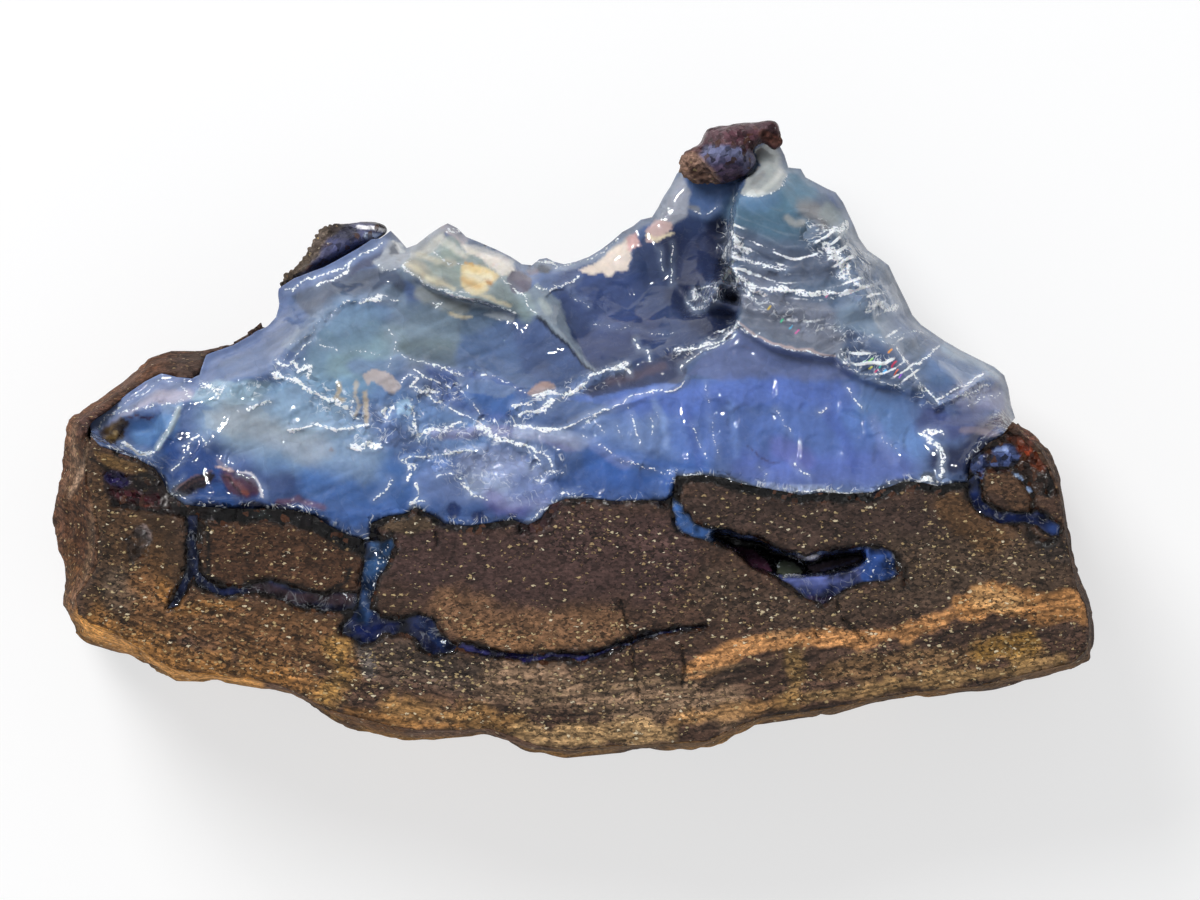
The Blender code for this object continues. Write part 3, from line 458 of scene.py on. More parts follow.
def millimetres(tree):
    """Object coordinates in millimetres, so that a texture's scale is one over its size."""
    place = add(tree, "TexCoord").outputs["Object"]
    return add(tree, "VectorMath", {0: place, 1: (1000, 1000, 1000)}, operation="MULTIPLY").outputs[0]


def facets(tree, place, size, lean):
    """(shade, height): flat chips about size mm across, each with its own tone and its own lean."""
    chip = add(tree, "TexVoronoi", {"Vector": place, "Scale": 1 / size})
    own = chip.outputs["Color"]
    tone = add(tree, "SeparateXYZ", {0: own}).outputs[2]
    tilt = add(tree, "VectorMath", {0: own, 1: (0.5, 0.5, 0.5)}, operation="SUBTRACT").outputs[0]
    spot = add(tree, "VectorMath", {0: place, 1: chip.outputs["Position"]}, operation="SUBTRACT").outputs[0]
    rise = add(tree, "VectorMath", {0: tilt, 1: spot}, operation="DOT_PRODUCT").outputs["Value"]
    return tone, add(tree, "Math", {0: rise, 1: lean}, operation="MULTIPLY").outputs[0]


def marks_of(tree, *names):
    """The named values that the mesh carries at its points: tint as a colour, the others as numbers."""
    return [
        add(tree, "Attribute", attribute_name=name).outputs["Color" if name == "tint" else "Fac"]
        for name in names
    ]


def translucent_opal():
    """Common blue opal, as it broke: wet-looking glass, blue inside, white at bruises and painted glints."""
    finish, tree, shader = new_finish("broken blue opal")
    place = millimetres(tree)
    tint, bruise_and_glint, hackle, clear, ring, dome_glint_weight = marks_of(tree, *OPAL_MARKS)
    # Clouds in the stone, about 3 mm across, and fine wisps about 0.5 mm across.
    cloud = add(tree, "TexNoise", {"Vector": place, "Scale": 1 / 3.0, "Detail": 5.0, "Distortion": 0.8})
    wisp = add(tree, "TexNoise", {"Vector": place, "Scale": 1 / 0.5, "Detail": 3.0})
    lift = add(tree, "MapRange", {0: cloud.outputs[0], 1: 0.3, 2: 0.7, 3: 0.86, 4: 1.14}).outputs[0]
    fleck = add(tree, "MapRange", {0: wisp.outputs[0], 1: 0.3, 2: 0.7, 3: 0.93, 4: 1.07}).outputs[0]
    shade = add(tree, "Math", {0: lift, 1: fleck}, operation="MULTIPLY").outputs[0]
    # It breaks in flat shells about 3.5 mm across, and in chips of 0.7 mm where it is shattered.
    sway = add(tree, "TexNoise", {"Vector": place, "Scale": 1 / 2.5, "Detail": 2.0}).outputs["Color"]
    bent = add(
        tree, "VectorMath", {0: sway, 1: (1.6, 1.6, 1.6), 2: place}, operation="MULTIPLY_ADD"
    ).outputs[0]
    broad_tone, broad = facets(tree, bent, 3.5, 0.16)
    small_tone, small = facets(tree, bent, 0.7, 1.1)
    broad_shade = add(tree, "MapRange", {0: broad_tone, 3: 0.92, 4: 1.08}).outputs[0]
    small_shade = add(tree, "MapRange", {0: small_tone, 3: 0.72, 4: 1.32}).outputs[0]
    small_shade = add(tree, "Mix", {0: hackle, 2: 1.0, 3: small_shade}, data_type="FLOAT").outputs[0]
    shade = add(tree, "Math", {0: shade, 1: broad_shade}, operation="MULTIPLY").outputs[0]
    shade = add(tree, "Math", {0: shade, 1: small_shade}, operation="MULTIPLY").outputs[0]
    body = add(tree, "VectorMath", {0: tint, "Scale": shade}, operation="SCALE").outputs[0]
    # Bruised edges are full of tiny fractures, which scatter white in beads about 0.24 mm across; the beads
    # also paint glints of light along the edges. Real ones are finer than the render can show.
    fray = add(tree, "TexNoise", {"Vector": place, "Scale": 1 / 0.24, "Detail": 2.0, "Roughness": 0.6})
    fray = add(tree, "MapRange", {0: fray.outputs[0], 1: 0.34, 2: 0.64, 3: 0.0, 4: 1.05}).outputs[0]
    ragged = add(tree, "Math", {0: bruise_and_glint, 1: fray}, operation="SUBTRACT").outputs[0]
    ragged = add(tree, "Math", {0: ragged, 1: 3.0}, operation="MULTIPLY", use_clamp=True).outputs[0]
    # Hairline curls of fracture, about 0.1 mm wide, wherever the stone is shattered.
    curl = add(tree, "TexNoise", {"Vector": place, "Scale": 1 / 1.5, "Detail": 3.0, "Distortion": 1.4})
    apart = add(tree, "Math", {0: curl.outputs[0], 1: 0.5}, operation="SUBTRACT").outputs[0]
    apart = add(tree, "Math", {0: apart}, operation="ABSOLUTE").outputs[0]
    thread = add(tree, "MapRange", {0: apart, 1: 0.006, 2: 0.026, 3: 1.0, 4: 0.0}).outputs[0]
    breaks = add(
        tree, "TexNoise", {"Vector": place, "Scale": 1 / 0.9, "Detail": 2.0, "W": 3.0}, noise_dimensions="4D"
    )
    breaks = add(tree, "MapRange", {0: breaks.outputs[0], 1: 0.42, 2: 0.56, 3: 0.0, 4: 1.0}).outputs[0]
    thread = add(tree, "Math", {0: thread, 1: breaks}, operation="MULTIPLY").outputs[0]
    thread = add(tree, "Math", {0: thread, 1: hackle}, operation="MULTIPLY").outputs[0]
    # Ripples 0.8 mm apart ring the place where the dome was struck. Broken arcs where they catch the light
    # are painted highlights, mixed white into the colour.
    beat = add(tree, "Math", {0: sway, 1: 0.6, 2: ring}, operation="MULTIPLY_ADD").outputs[0]
    beat = add(tree, "Math", {0: beat, 1: 2 / 0.8}, operation="MULTIPLY").outputs[0]
    beat = add(tree, "Math", {0: beat, 1: 1.0}, operation="PINGPONG").outputs[0]
    arc_glint = add(tree, "MapRange", {0: beat, 1: 0.1, 2: 0.42, 3: 1.0, 4: 0.0}).outputs[0]
    lit = add(
        tree, "TexNoise", {"Vector": place, "Scale": 1 / 1.9, "Detail": 3.0, "W": 7.0}, noise_dimensions="4D"
    )
    lit = add(tree, "MapRange", {0: lit.outputs[0], 1: 0.4, 2: 0.58, 3: 0.0, 4: 1.3}).outputs[0]
    arc_glint = add(tree, "Math", {0: arc_glint, 1: lit}, operation="MULTIPLY").outputs[0]
    arc_glint = add(tree, "Math", {0: fray, 1: -0.55, 2: arc_glint}, operation="MULTIPLY_ADD").outputs[0]
    arc_glint = add(tree, "Math", {0: arc_glint, 1: dome_glint_weight}, operation="MULTIPLY").outputs[0]
    arc_glint = add(tree, "Math", {0: arc_glint, 1: 3.0}, operation="MULTIPLY", use_clamp=True).outputs[0]
    # White mixed into the colour: bruising, fracture curls, and painted glints and dome arcs.
    white = add(tree, "Math", {0: ragged, 1: thread}, operation="MAXIMUM").outputs[0]
    white = add(tree, "Math", {0: white, 1: arc_glint}, operation="MAXIMUM").outputs[0]
    colour = add(tree, "Mix", {0: white, 6: body, 7: (*linear("#F2F6FA"), 1)}, data_type="RGBA").outputs[2]
    tree.links.new(colour, shader.inputs["Base Color"])
    dull = add(tree, "MapRange", {0: white, 1: 0.0, 2: 1.0, 3: 0.07, 4: 0.25}).outputs[0]
    tree.links.new(dull, shader.inputs["Roughness"])
    tree.links.new(clear, shader.inputs["Transmission Weight"])
    # The relief, in millimetres: faint waves about 1.6 mm apart, the shells, and chips where it is shattered.
    ripple = add(tree, "TexNoise", {"Vector": place, "Scale": 1 / 1.6, "Detail": 2.0, "Distortion": 1.0})
    chipped = add(tree, "Math", {0: small, 1: hackle}, operation="MULTIPLY").outputs[0]
    relief = add(tree, "Math", {0: ripple.outputs[0], 1: 0.05, 2: broad}, operation="MULTIPLY_ADD").outputs[0]
    relief = add(tree, "Math", {0: relief, 1: chipped}, operation="ADD").outputs[0]
    bump = add(tree, "Bump", {"Strength": 1.0, "Distance": 0.001, "Height": relief})
    tree.links.new(bump.outputs[0], shader.inputs["Normal"])
    # Opal bends light a little less than glass. Light spreads about a millimetre inside it, red the furthest.
    shader.inputs["IOR"].default_value = 1.45
    shader.inputs["Subsurface Weight"].default_value = 0.15
    shader.inputs["Subsurface Radius"].default_value = (1.6, 1.0, 0.6)
    shader.inputs["Subsurface Scale"].default_value = 0.0008
    return finish


def sandy_ironstone(name, dullest, mirror):
    """Brown ironstone, sandy and bedded, with old crack walls glazed nearly black.

    Every sand grain is a light speck of its own, so it looks gritty even where it is flat. dullest is the
    roughness of bare stone, and mirror is how much that stone reflects.
    """
    finish, tree, shader = new_finish(name)
    place = millimetres(tree)
    tint, sand, glaze, bed, layered = marks_of(tree, *STONE_MARKS)
    # Colour drifts over about 3 mm. The stone between the grains is crumbs 0.2 mm across, each with its own
    # tone, and they lie along the slab.
    drift = add(tree, "TexNoise", {"Vector": place, "Scale": 1 / 3.0, "Detail": 4.0})
    lying = add(tree, "VectorMath", {0: place, 1: (0.72, 1.15, 1.0)}, operation="MULTIPLY").outputs[0]
    mottle = add(tree, "TexNoise", {"Vector": lying, "Scale": 1 / 0.34, "Detail": 3.0, "Roughness": 0.7})
    stir = add(tree, "TexNoise", {"Vector": lying, "Scale": 1 / 0.2, "Detail": 1.0}).outputs["Color"]
    stirred = add(
        tree, "VectorMath", {0: stir, 1: (0.34, 0.34, 0.34), 2: lying}, operation="MULTIPLY_ADD"
    ).outputs[0]
    crumb, _ = facets(tree, stirred, 0.2, 0.0)
    spread = add(tree, "MapRange", {0: sand, 1: 0.1, 2: 0.9, 3: 0.95, 4: 1.9}).outputs[0]
    crumb = add(tree, "Math", {0: crumb, 1: 0.5}, operation="SUBTRACT").outputs[0]
    crumb = add(tree, "Math", {0: crumb, 1: spread, 2: 1.0}, operation="MULTIPLY_ADD").outputs[0]
    crumb = add(tree, "Math", {0: crumb, 1: 0.3}, operation="MAXIMUM").outputs[0]
    lift = add(tree, "MapRange", {0: drift.outputs[0], 1: 0.3, 2: 0.7, 3: 0.72, 4: 1.28}).outputs[0]
    fleck = add(tree, "MapRange", {0: mottle.outputs[0], 1: 0.32, 2: 0.68, 3: 0.66, 4: 1.4}).outputs[0]
    fleck = add(tree, "Math", {0: fleck, 1: crumb}, operation="MULTIPLY").outputs[0]
    sway = add(tree, "TexNoise", {"Vector": place, "Scale": 1 / 0.7, "Detail": 2.0}).outputs["Color"]
    bent = add(
        tree, "VectorMath", {0: sway, 1: (0.6, 0.6, 0.6), 2: place}, operation="MULTIPLY_ADD"
    ).outputs[0]
    # Beds about 0.7 mm thick with finer ones between, wavy along their length.
    split = add(tree, "SeparateXYZ", {0: place})
    slow = add(tree, "Math", {0: split.outputs[0], 1: 0.13}, operation="MULTIPLY").outputs[0]
    across = add(tree, "Math", {0: bed, 1: 1.5}, operation="MULTIPLY").outputs[0]
    strip = add(tree, "CombineXYZ", {0: slow, 1: across, 2: split.outputs[2]}).outputs[0]
    beds = add(
        tree, "TexNoise", {"Vector": strip, "Scale": 1.0, "Detail": 5.0, "Roughness": 0.6, "Distortion": 0.4}
    )
    banding = add(tree, "MapRange", {0: beds.outputs[0], 1: 0.4, 2: 0.6, 3: 0.6, 4: 1.6}).outputs[0]
    # Thin dark partings 0.9 mm apart, wavering along the beds.
    part = add(
        tree, "TexNoise", {"Vector": place, "Scale": 1 / 3.0, "Detail": 2.0, "W": 2.0}, noise_dimensions="4D"
    )
    part = add(tree, "Math", {0: part.outputs[0], 1: 3.0, 2: bed}, operation="MULTIPLY_ADD").outputs[0]
    part = add(tree, "Math", {0: part, 1: 2 / 0.9}, operation="MULTIPLY").outputs[0]
    part = add(tree, "Math", {0: part, 1: 1.0}, operation="PINGPONG").outputs[0]
    part = add(tree, "MapRange", {0: part, 1: 0.05, 2: 0.4, 3: 0.45, 4: 1.1}).outputs[0]
    banding = add(tree, "Math", {0: banding, 1: part}, operation="MULTIPLY").outputs[0]
    banding = add(tree, "Mix", {0: layered, 2: 1.0, 3: banding}, data_type="FLOAT").outputs[0]
    shade = add(tree, "Math", {0: lift, 1: fleck}, operation="MULTIPLY").outputs[0]
    shade = add(tree, "Math", {0: shade, 1: banding}, operation="MULTIPLY").outputs[0]
    body = add(tree, "VectorMath", {0: tint, "Scale": shade}, operation="SCALE").outputs[0]
    # Sand grains up to 0.26 mm across, crowded in coarse patches, each with its own size and colour.
    cluster = add(tree, "TexNoise", {"Vector": place, "Scale": 1 / 1.6, "Detail": 3.0})
    often = add(tree, "MapRange", {0: cluster.outputs[0], 1: 0.35, 2: 0.68, 3: 0.3, 4: 1.0}).outputs[0]
    often = add(tree, "Math", {0: often, 1: sand}, operation="MULTIPLY").outputs[0]
    absent = add(tree, "MapRange", {0: often, 1: 0.0, 2: 1.0, 3: 0.88, 4: 0.1}).outputs[0]
    grit = add(tree, "TexVoronoi", {"Vector": stirred, "Scale": 1 / 0.26})
    dice = add(tree, "SeparateXYZ", {0: grit.outputs["Color"]}).outputs
    present = add(tree, "Math", {0: dice[0], 1: absent}, operation="GREATER_THAN").outputs[0]
    radius = add(tree, "MapRange", {0: dice[1], 3: 0.16, 4: 0.58}).outputs[0]
    within = add(tree, "Math", {0: radius, 1: grit.outputs["Distance"]}, operation="SUBTRACT").outputs[0]
    within = add(tree, "MapRange", {0: within, 1: 0.0, 2: 0.16, 3: 0.0, 4: 0.88}).outputs[0]
    grain = add(tree, "Math", {0: present, 1: within}, operation="MULTIPLY").outputs[0]
    bare = add(tree, "Math", {0: 1.0, 1: glaze}, operation="SUBTRACT", use_clamp=True).outputs[0]
    grain = add(tree, "Math", {0: grain, 1: bare}, operation="MULTIPLY").outputs[0]
    sandy = add(
        tree,
        "ValToRGB",
        {0: dice[2]},
        stops=[(0.1, "#765C44"), (0.35, "#927250"), (0.6, "#B09468"), (0.84, "#D2BA88"), (0.97, "#F6E8C8")],
    ).outputs[0]
    stained = add(tree, "VectorMath", {0: tint, "Scale": 2.2}, operation="SCALE").outputs[0]
    sandy = add(tree, "Mix", {0: 0.22, 6: sandy, 7: stained}, data_type="RGBA").outputs[2]
    speckled = add(tree, "Mix", {0: grain, 6: body, 7: sandy}, data_type="RGBA").outputs[2]
    # The black glaze is crazed into chips about 0.45 mm across, each with its own flash. Some are bare brown.
    chip, crazed = facets(tree, bent, 0.45, 1.6)
    sooty = add(tree, "MapRange", {0: chip, 1: 0.0, 2: 1.0, 3: 0.3, 4: 2.4}).outputs[0]
    sooty = add(tree, "VectorMath", {0: tint, "Scale": sooty}, operation="SCALE").outputs[0]
    bald = add(tree, "MapRange", {0: chip, 1: 0.88, 2: 0.93, 3: 0.0, 4: 1.0}).outputs[0]
    sooty = add(tree, "Mix", {0: bald, 6: sooty, 7: (*linear("#4A2E20"), 1)}, data_type="RGBA").outputs[2]
    dark = add(tree, "Mix", {0: glaze, 6: speckled, 7: sooty}, data_type="RGBA").outputs[2]
    tree.links.new(dark, shader.inputs["Base Color"])
    dull = add(tree, "MapRange", {0: glaze, 1: 0.0, 2: 1.0, 3: dullest, 4: 0.09}).outputs[0]
    tree.links.new(dull, shader.inputs["Roughness"])
    pitted = add(tree, "Math", {0: mottle.outputs[0], 1: grain}, operation="ADD").outputs[0]
    crazed = add(tree, "Math", {0: crazed, 1: glaze}, operation="MULTIPLY").outputs[0]
    pitted = add(tree, "Math", {0: pitted, 1: 0.08, 2: crazed}, operation="MULTIPLY_ADD").outputs[0]
    bump = add(tree, "Bump", {"Strength": 1.0, "Distance": 0.001, "Height": pitted})
    tree.links.new(bump.outputs[0], shader.inputs["Normal"])
    shader.inputs["IOR"].default_value = 1.55
    shader.inputs["Specular IOR Level"].default_value = mirror
    return finish


def plain_floor():
    """White acrylic with a matt face, lit from behind: shadows stay faint and the ground near white."""
    finish, _, shader = new_finish("backlit white acrylic")
    shader.inputs["Base Color"].default_value = (*linear("#A8A8A8"), 1)
    shader.inputs["Roughness"].default_value = 0.8
    shader.inputs["Emission Color"].default_value = (*linear("#FFFFFF"), 1)
    shader.inputs["Emission Strength"].default_value = 0.62
    return finish


# ---------------------------------------------------------------- the opal

RIPPLE_CENTRE = (17.6, 23.4)  # where the dome was struck
DOME = [
    (13.2, 19.6), (12.9, 16.6), (12.7, 14.6), (13.4, 12.8), (13.6, 11), (13.3, 9.4), (15.8, 7.6),
    (19.6, 6.9), (21, 6.8), (22.2, 5.6), (24.8, 4.6), (28, 4), (28.4, 8), (25.6, 13.4), (22.6, 17),
    (20, 19.8), (16, 19.2),
]
# Low sharp crests: (path, rise, half width).
CRESTS = [
    ([(-29.8, 4.6), (-27, 4.8), (-25, 5.2), (-23.5, 5), (-21.5, 4.3), (-20, 3.5), (-18.5, 3),
        (-16.5, 1.8)], 0.45, 0.7),
    ([(-24.8, 5.5), (-22, 7.8), (-20, 10), (-18.4, 11.2), (-16, 11.3), (-13.5, 11.2)], 0.35, 0.7),
    ([(-11, 0.6), (-8.5, 0.5), (-7, 1), (-5, 0.6), (-1, 0.3), (1, -0.3), (3, -0.8), (5, -1.8), (7, -2.1)],
        0.4, 0.6),
    ([(9, 4.9), (7.95, 4.2), (4.9, 3.1), (2.6, 2.4), (1, 1.85), (-1, 0.85)], 0.35, 0.5),
    ([(4.3, 5.8), (2.5, 5.4), (1, 4.5), (-1, 3.7), (-2.5, 3.5), (-4.5, 2.2)], 0.4, 0.5),
    ([(13.2, 9.3), (11.2, 7.8), (9.6, 7.2), (8, 7.05)], 0.35, 0.45),
    ([(12.6, 8.4), (10.2, 6.95), (9, 5.8)], 0.3, 0.4),
    ([(25, 7.3), (26, 5.7), (27.5, 4.5), (29.2, 2.7), (30.5, 3.3), (33, 5)], 0.35, 0.45),
    ([(26, 7.3), (27, 5.7), (28.5, 6.5), (29.5, 8)], 0.25, 0.4),
    ([(-35.6, -0.9), (-34.6, -1.1), (-33.4, -0.9), (-32.5, 0.3), (-31.6, 2.4)], 0.3, 0.4),
    ([(28.5, 0), (29.5, -1), (29.6, -2.8)], 0.3, 0.5),
    ([(-13.5, -1.5), (-12.2, -1.2), (-10.5, -0.9), (-8.8, -0.9), (-7, -0.6)], 0.3, 0.5),
    ([(-18, -0.5), (-16.8, -0.9), (-15.5, -0.7)], 0.25, 0.4),
    ([(-22.7, 0.9), (-20.5, 0.9), (-18.6, 0.8), (-16.5, 1)], 0.3, 0.4),
]
# Ridges that broke into chips: (path, how far the chips scatter, how many, usual radius).
CHIPPED = [
    ([(-20, 3.4), (-16.5, 1.6), (-13, 2.6), (-10, 4.2), (-7, 5)], 0.9, 120, 0.7),
    ([(-17, 0.8), (-13, 0.6), (-9, 0.6), (-5, 0.9), (-1, 0.4)], 0.7, 110, 0.6),
    ([(-13, -1.6), (-9, -1.3), (-5, -1.4), (-2, -2.5), (-1, -4)], 0.8, 90, 0.6),
    ([(-4.5, 2.2), (-2.5, 3.4), (1, 4.5), (4.3, 5.8)], 0.5, 70, 0.5),
    ([(-29.5, 4.2), (-26, 4.5), (-23, 5)], 0.6, 50, 0.6),
    ([(-22, 7.5), (-20, 9.8), (-17.5, 11.2)], 0.4, 30, 0.5),
    ([(8, 7), (10.5, 7.7), (13, 9.2)], 0.4, 40, 0.4),
    ([(12.6, 16.8), (12.6, 14.2), (13.2, 12.4), (11, 11.6), (9.6, 11.4)], 0.4, 60, 0.45),
    ([(13.5, 15), (17, 13.4), (21, 13), (24, 12.6)], 0.9, 110, 0.6),
    ([(19, 17), (21, 15.4), (22.4, 14)], 0.8, 60, 0.6),
    ([(14, 11.5), (17, 10), (20, 8.6), (23, 7.4)], 0.8, 80, 0.6),
    ([(23, 5.6), (26, 4.8), (29, 3)], 0.6, 50, 0.5),
    ([(29.4, 3), (32, 3.6), (34, 4.6)], 0.7, 40, 0.5),
    ([(-37.5, 1), (-35, 2.3), (-32, 3.4)], 0.5, 40, 0.5),
    ([(-3, 13.5), (0, 14), (4, 16.4), (7.5, 19), (9, 21.5)], 0.4, 50, 0.5),
    ([(-14, 15), (-10, 16.6), (-6, 15)], 0.6, 40, 0.7),
    ([(8.3, -3), (13, -3.4), (18, -4.2), (24, -4), (30, -3.5)], 0.35, 110, 0.4),
    ([(-31, -4.6), (-27, -5), (-22, -5), (-17, -7)], 0.4, 70, 0.45),
    ([(-15, -6), (-9, -6.4), (-4, -6.3), (-1, -5), (6, -4.6)], 0.35, 90, 0.4),
    ([(2, 0), (4, -3), (10, 3), (16, 1), (22, 2), (26, -1)], 1.6, 40, 0.5),
]
SHELL_COUNT = 150


def random_shells():
    """Larger, shallow shells scattered over the breaks: (x, y, radius, depth, direction)."""
    rng = np.random.default_rng(44)
    shells = []
    while len(shells) < SHELL_COUNT:
        x, y = rng.uniform(-38, 36), rng.uniform(-6, 24)
        radius = rng.uniform(0.8, 2.6)
        if is_inside(np.array([[x, y]]), OPAL_OUTLINE)[0]:
            shells.append((x, y, radius, radius * rng.uniform(0.03, 0.09), rng.uniform(0, 2 * np.pi)))
    return shells


def random_chips():
    """Small shell-shaped chips along the shattered ridges: (x, y, radius, depth, direction)."""
    rng = np.random.default_rng(21)
    chips = []
    for path, spread_out, count, size in CHIPPED:
        line = resampled(path, 0.2)
        for _ in range(count):
            x, y = line[rng.integers(len(line))] + rng.normal(0, spread_out, 2)
            radius = size * rng.uniform(0.5, 1.4) * rng.uniform(0.6, 1.0)
            chips.append((x, y, radius, radius * rng.uniform(0.1, 0.28), rng.uniform(0, 2 * np.pi)))
    return chips


SMOOTH_START = 5.6  # close to where it was struck, the dome has no ripples


def dome_rings(plan):
    """(distance from where the dome was struck, how strongly it rippled there)."""
    reach = np.hypot(plan[:, 0] - RIPPLE_CENTRE[0], plan[:, 1] - RIPPLE_CENTRE[1])
    reach = reach + 0.6 * lumps(plan, 3.6, 61) + 0.15 * lumps(plan, 1.2, 64)
    on_dome = marked(plan, [(closed(DOME), 0, 0.5, 1)], seed=62)
    return reach, on_dome * smooth_step((reach - SMOOTH_START) / 1.4)


def warped(plan, amount=1.0):
    """The plan points shifted by a small wandering amount, so that painted lines lose their straightness."""
    slow = np.column_stack([lumps(plan, 1.7, 141), lumps(plan, 1.7, 142)])
    quick = np.column_stack([lumps(plan, 0.5, 143), lumps(plan, 0.5, 144)])
    return plan + amount * (0.26 * slow + 0.13 * quick)


def opal_relief(plan, heights):
    """The heights with the opal's breaks worked in: slow waves, crests, ripples, shells and chips."""
    out = heights + 0.08 * rough(plan, 3.0, 31)
    for path, rise, half in CRESTS:
        bent = half * (1 + 0.4 * lumps(plan, 1.1, 51))
        ids, away = near_path(plan, path, 1.6 * half)
        out[ids] += rise * np.clip(1 - away / bent[ids], 0, 1) * (0.7 + 0.5 * lumps(plan[ids], 1.4, 52))
    out = rippled(plan, out)
    for x, y, radius, depth, turn in random_shells() + random_chips():
        dx, dy = plan[:, 0] - x, plan[:, 1] - y
        ids = np.flatnonzero((np.abs(dx) < radius) & (np.abs(dy) < radius))
        u = (dx[ids] * np.cos(turn) + dy[ids] * np.sin(turn)) / radius
        v = (dy[ids] * np.cos(turn) - dx[ids] * np.sin(turn)) / (0.75 * radius)
        within = u * u + v * v < 1
        bite = depth * smooth_step((u + 1) / 1.6) * np.sqrt(np.clip(1 - v * v, 0, 1))
        out[ids] -= np.where(within, bite, 0)
    return out


RIPPLE_STEP, RIPPLE_HEIGHT = 1.15, 0.17
RIPPLE_CREST = 0.82  # the share of a ripple that rises


def rippled(plan, heights):
    """Ripples on the right-hand dome, rising slowly and dropping sharply away from where it was struck."""
    reach, weight = dome_rings(plan)
    wave = (reach / RIPPLE_STEP) % 1.0
    saw = np.where(wave < RIPPLE_CREST, wave / RIPPLE_CREST, (1 - wave) / (1 - RIPPLE_CREST))
    return heights + weight * RIPPLE_HEIGHT * (saw - 0.5) * (0.6 + 0.6 * lumps(plan, 3.0, 63))


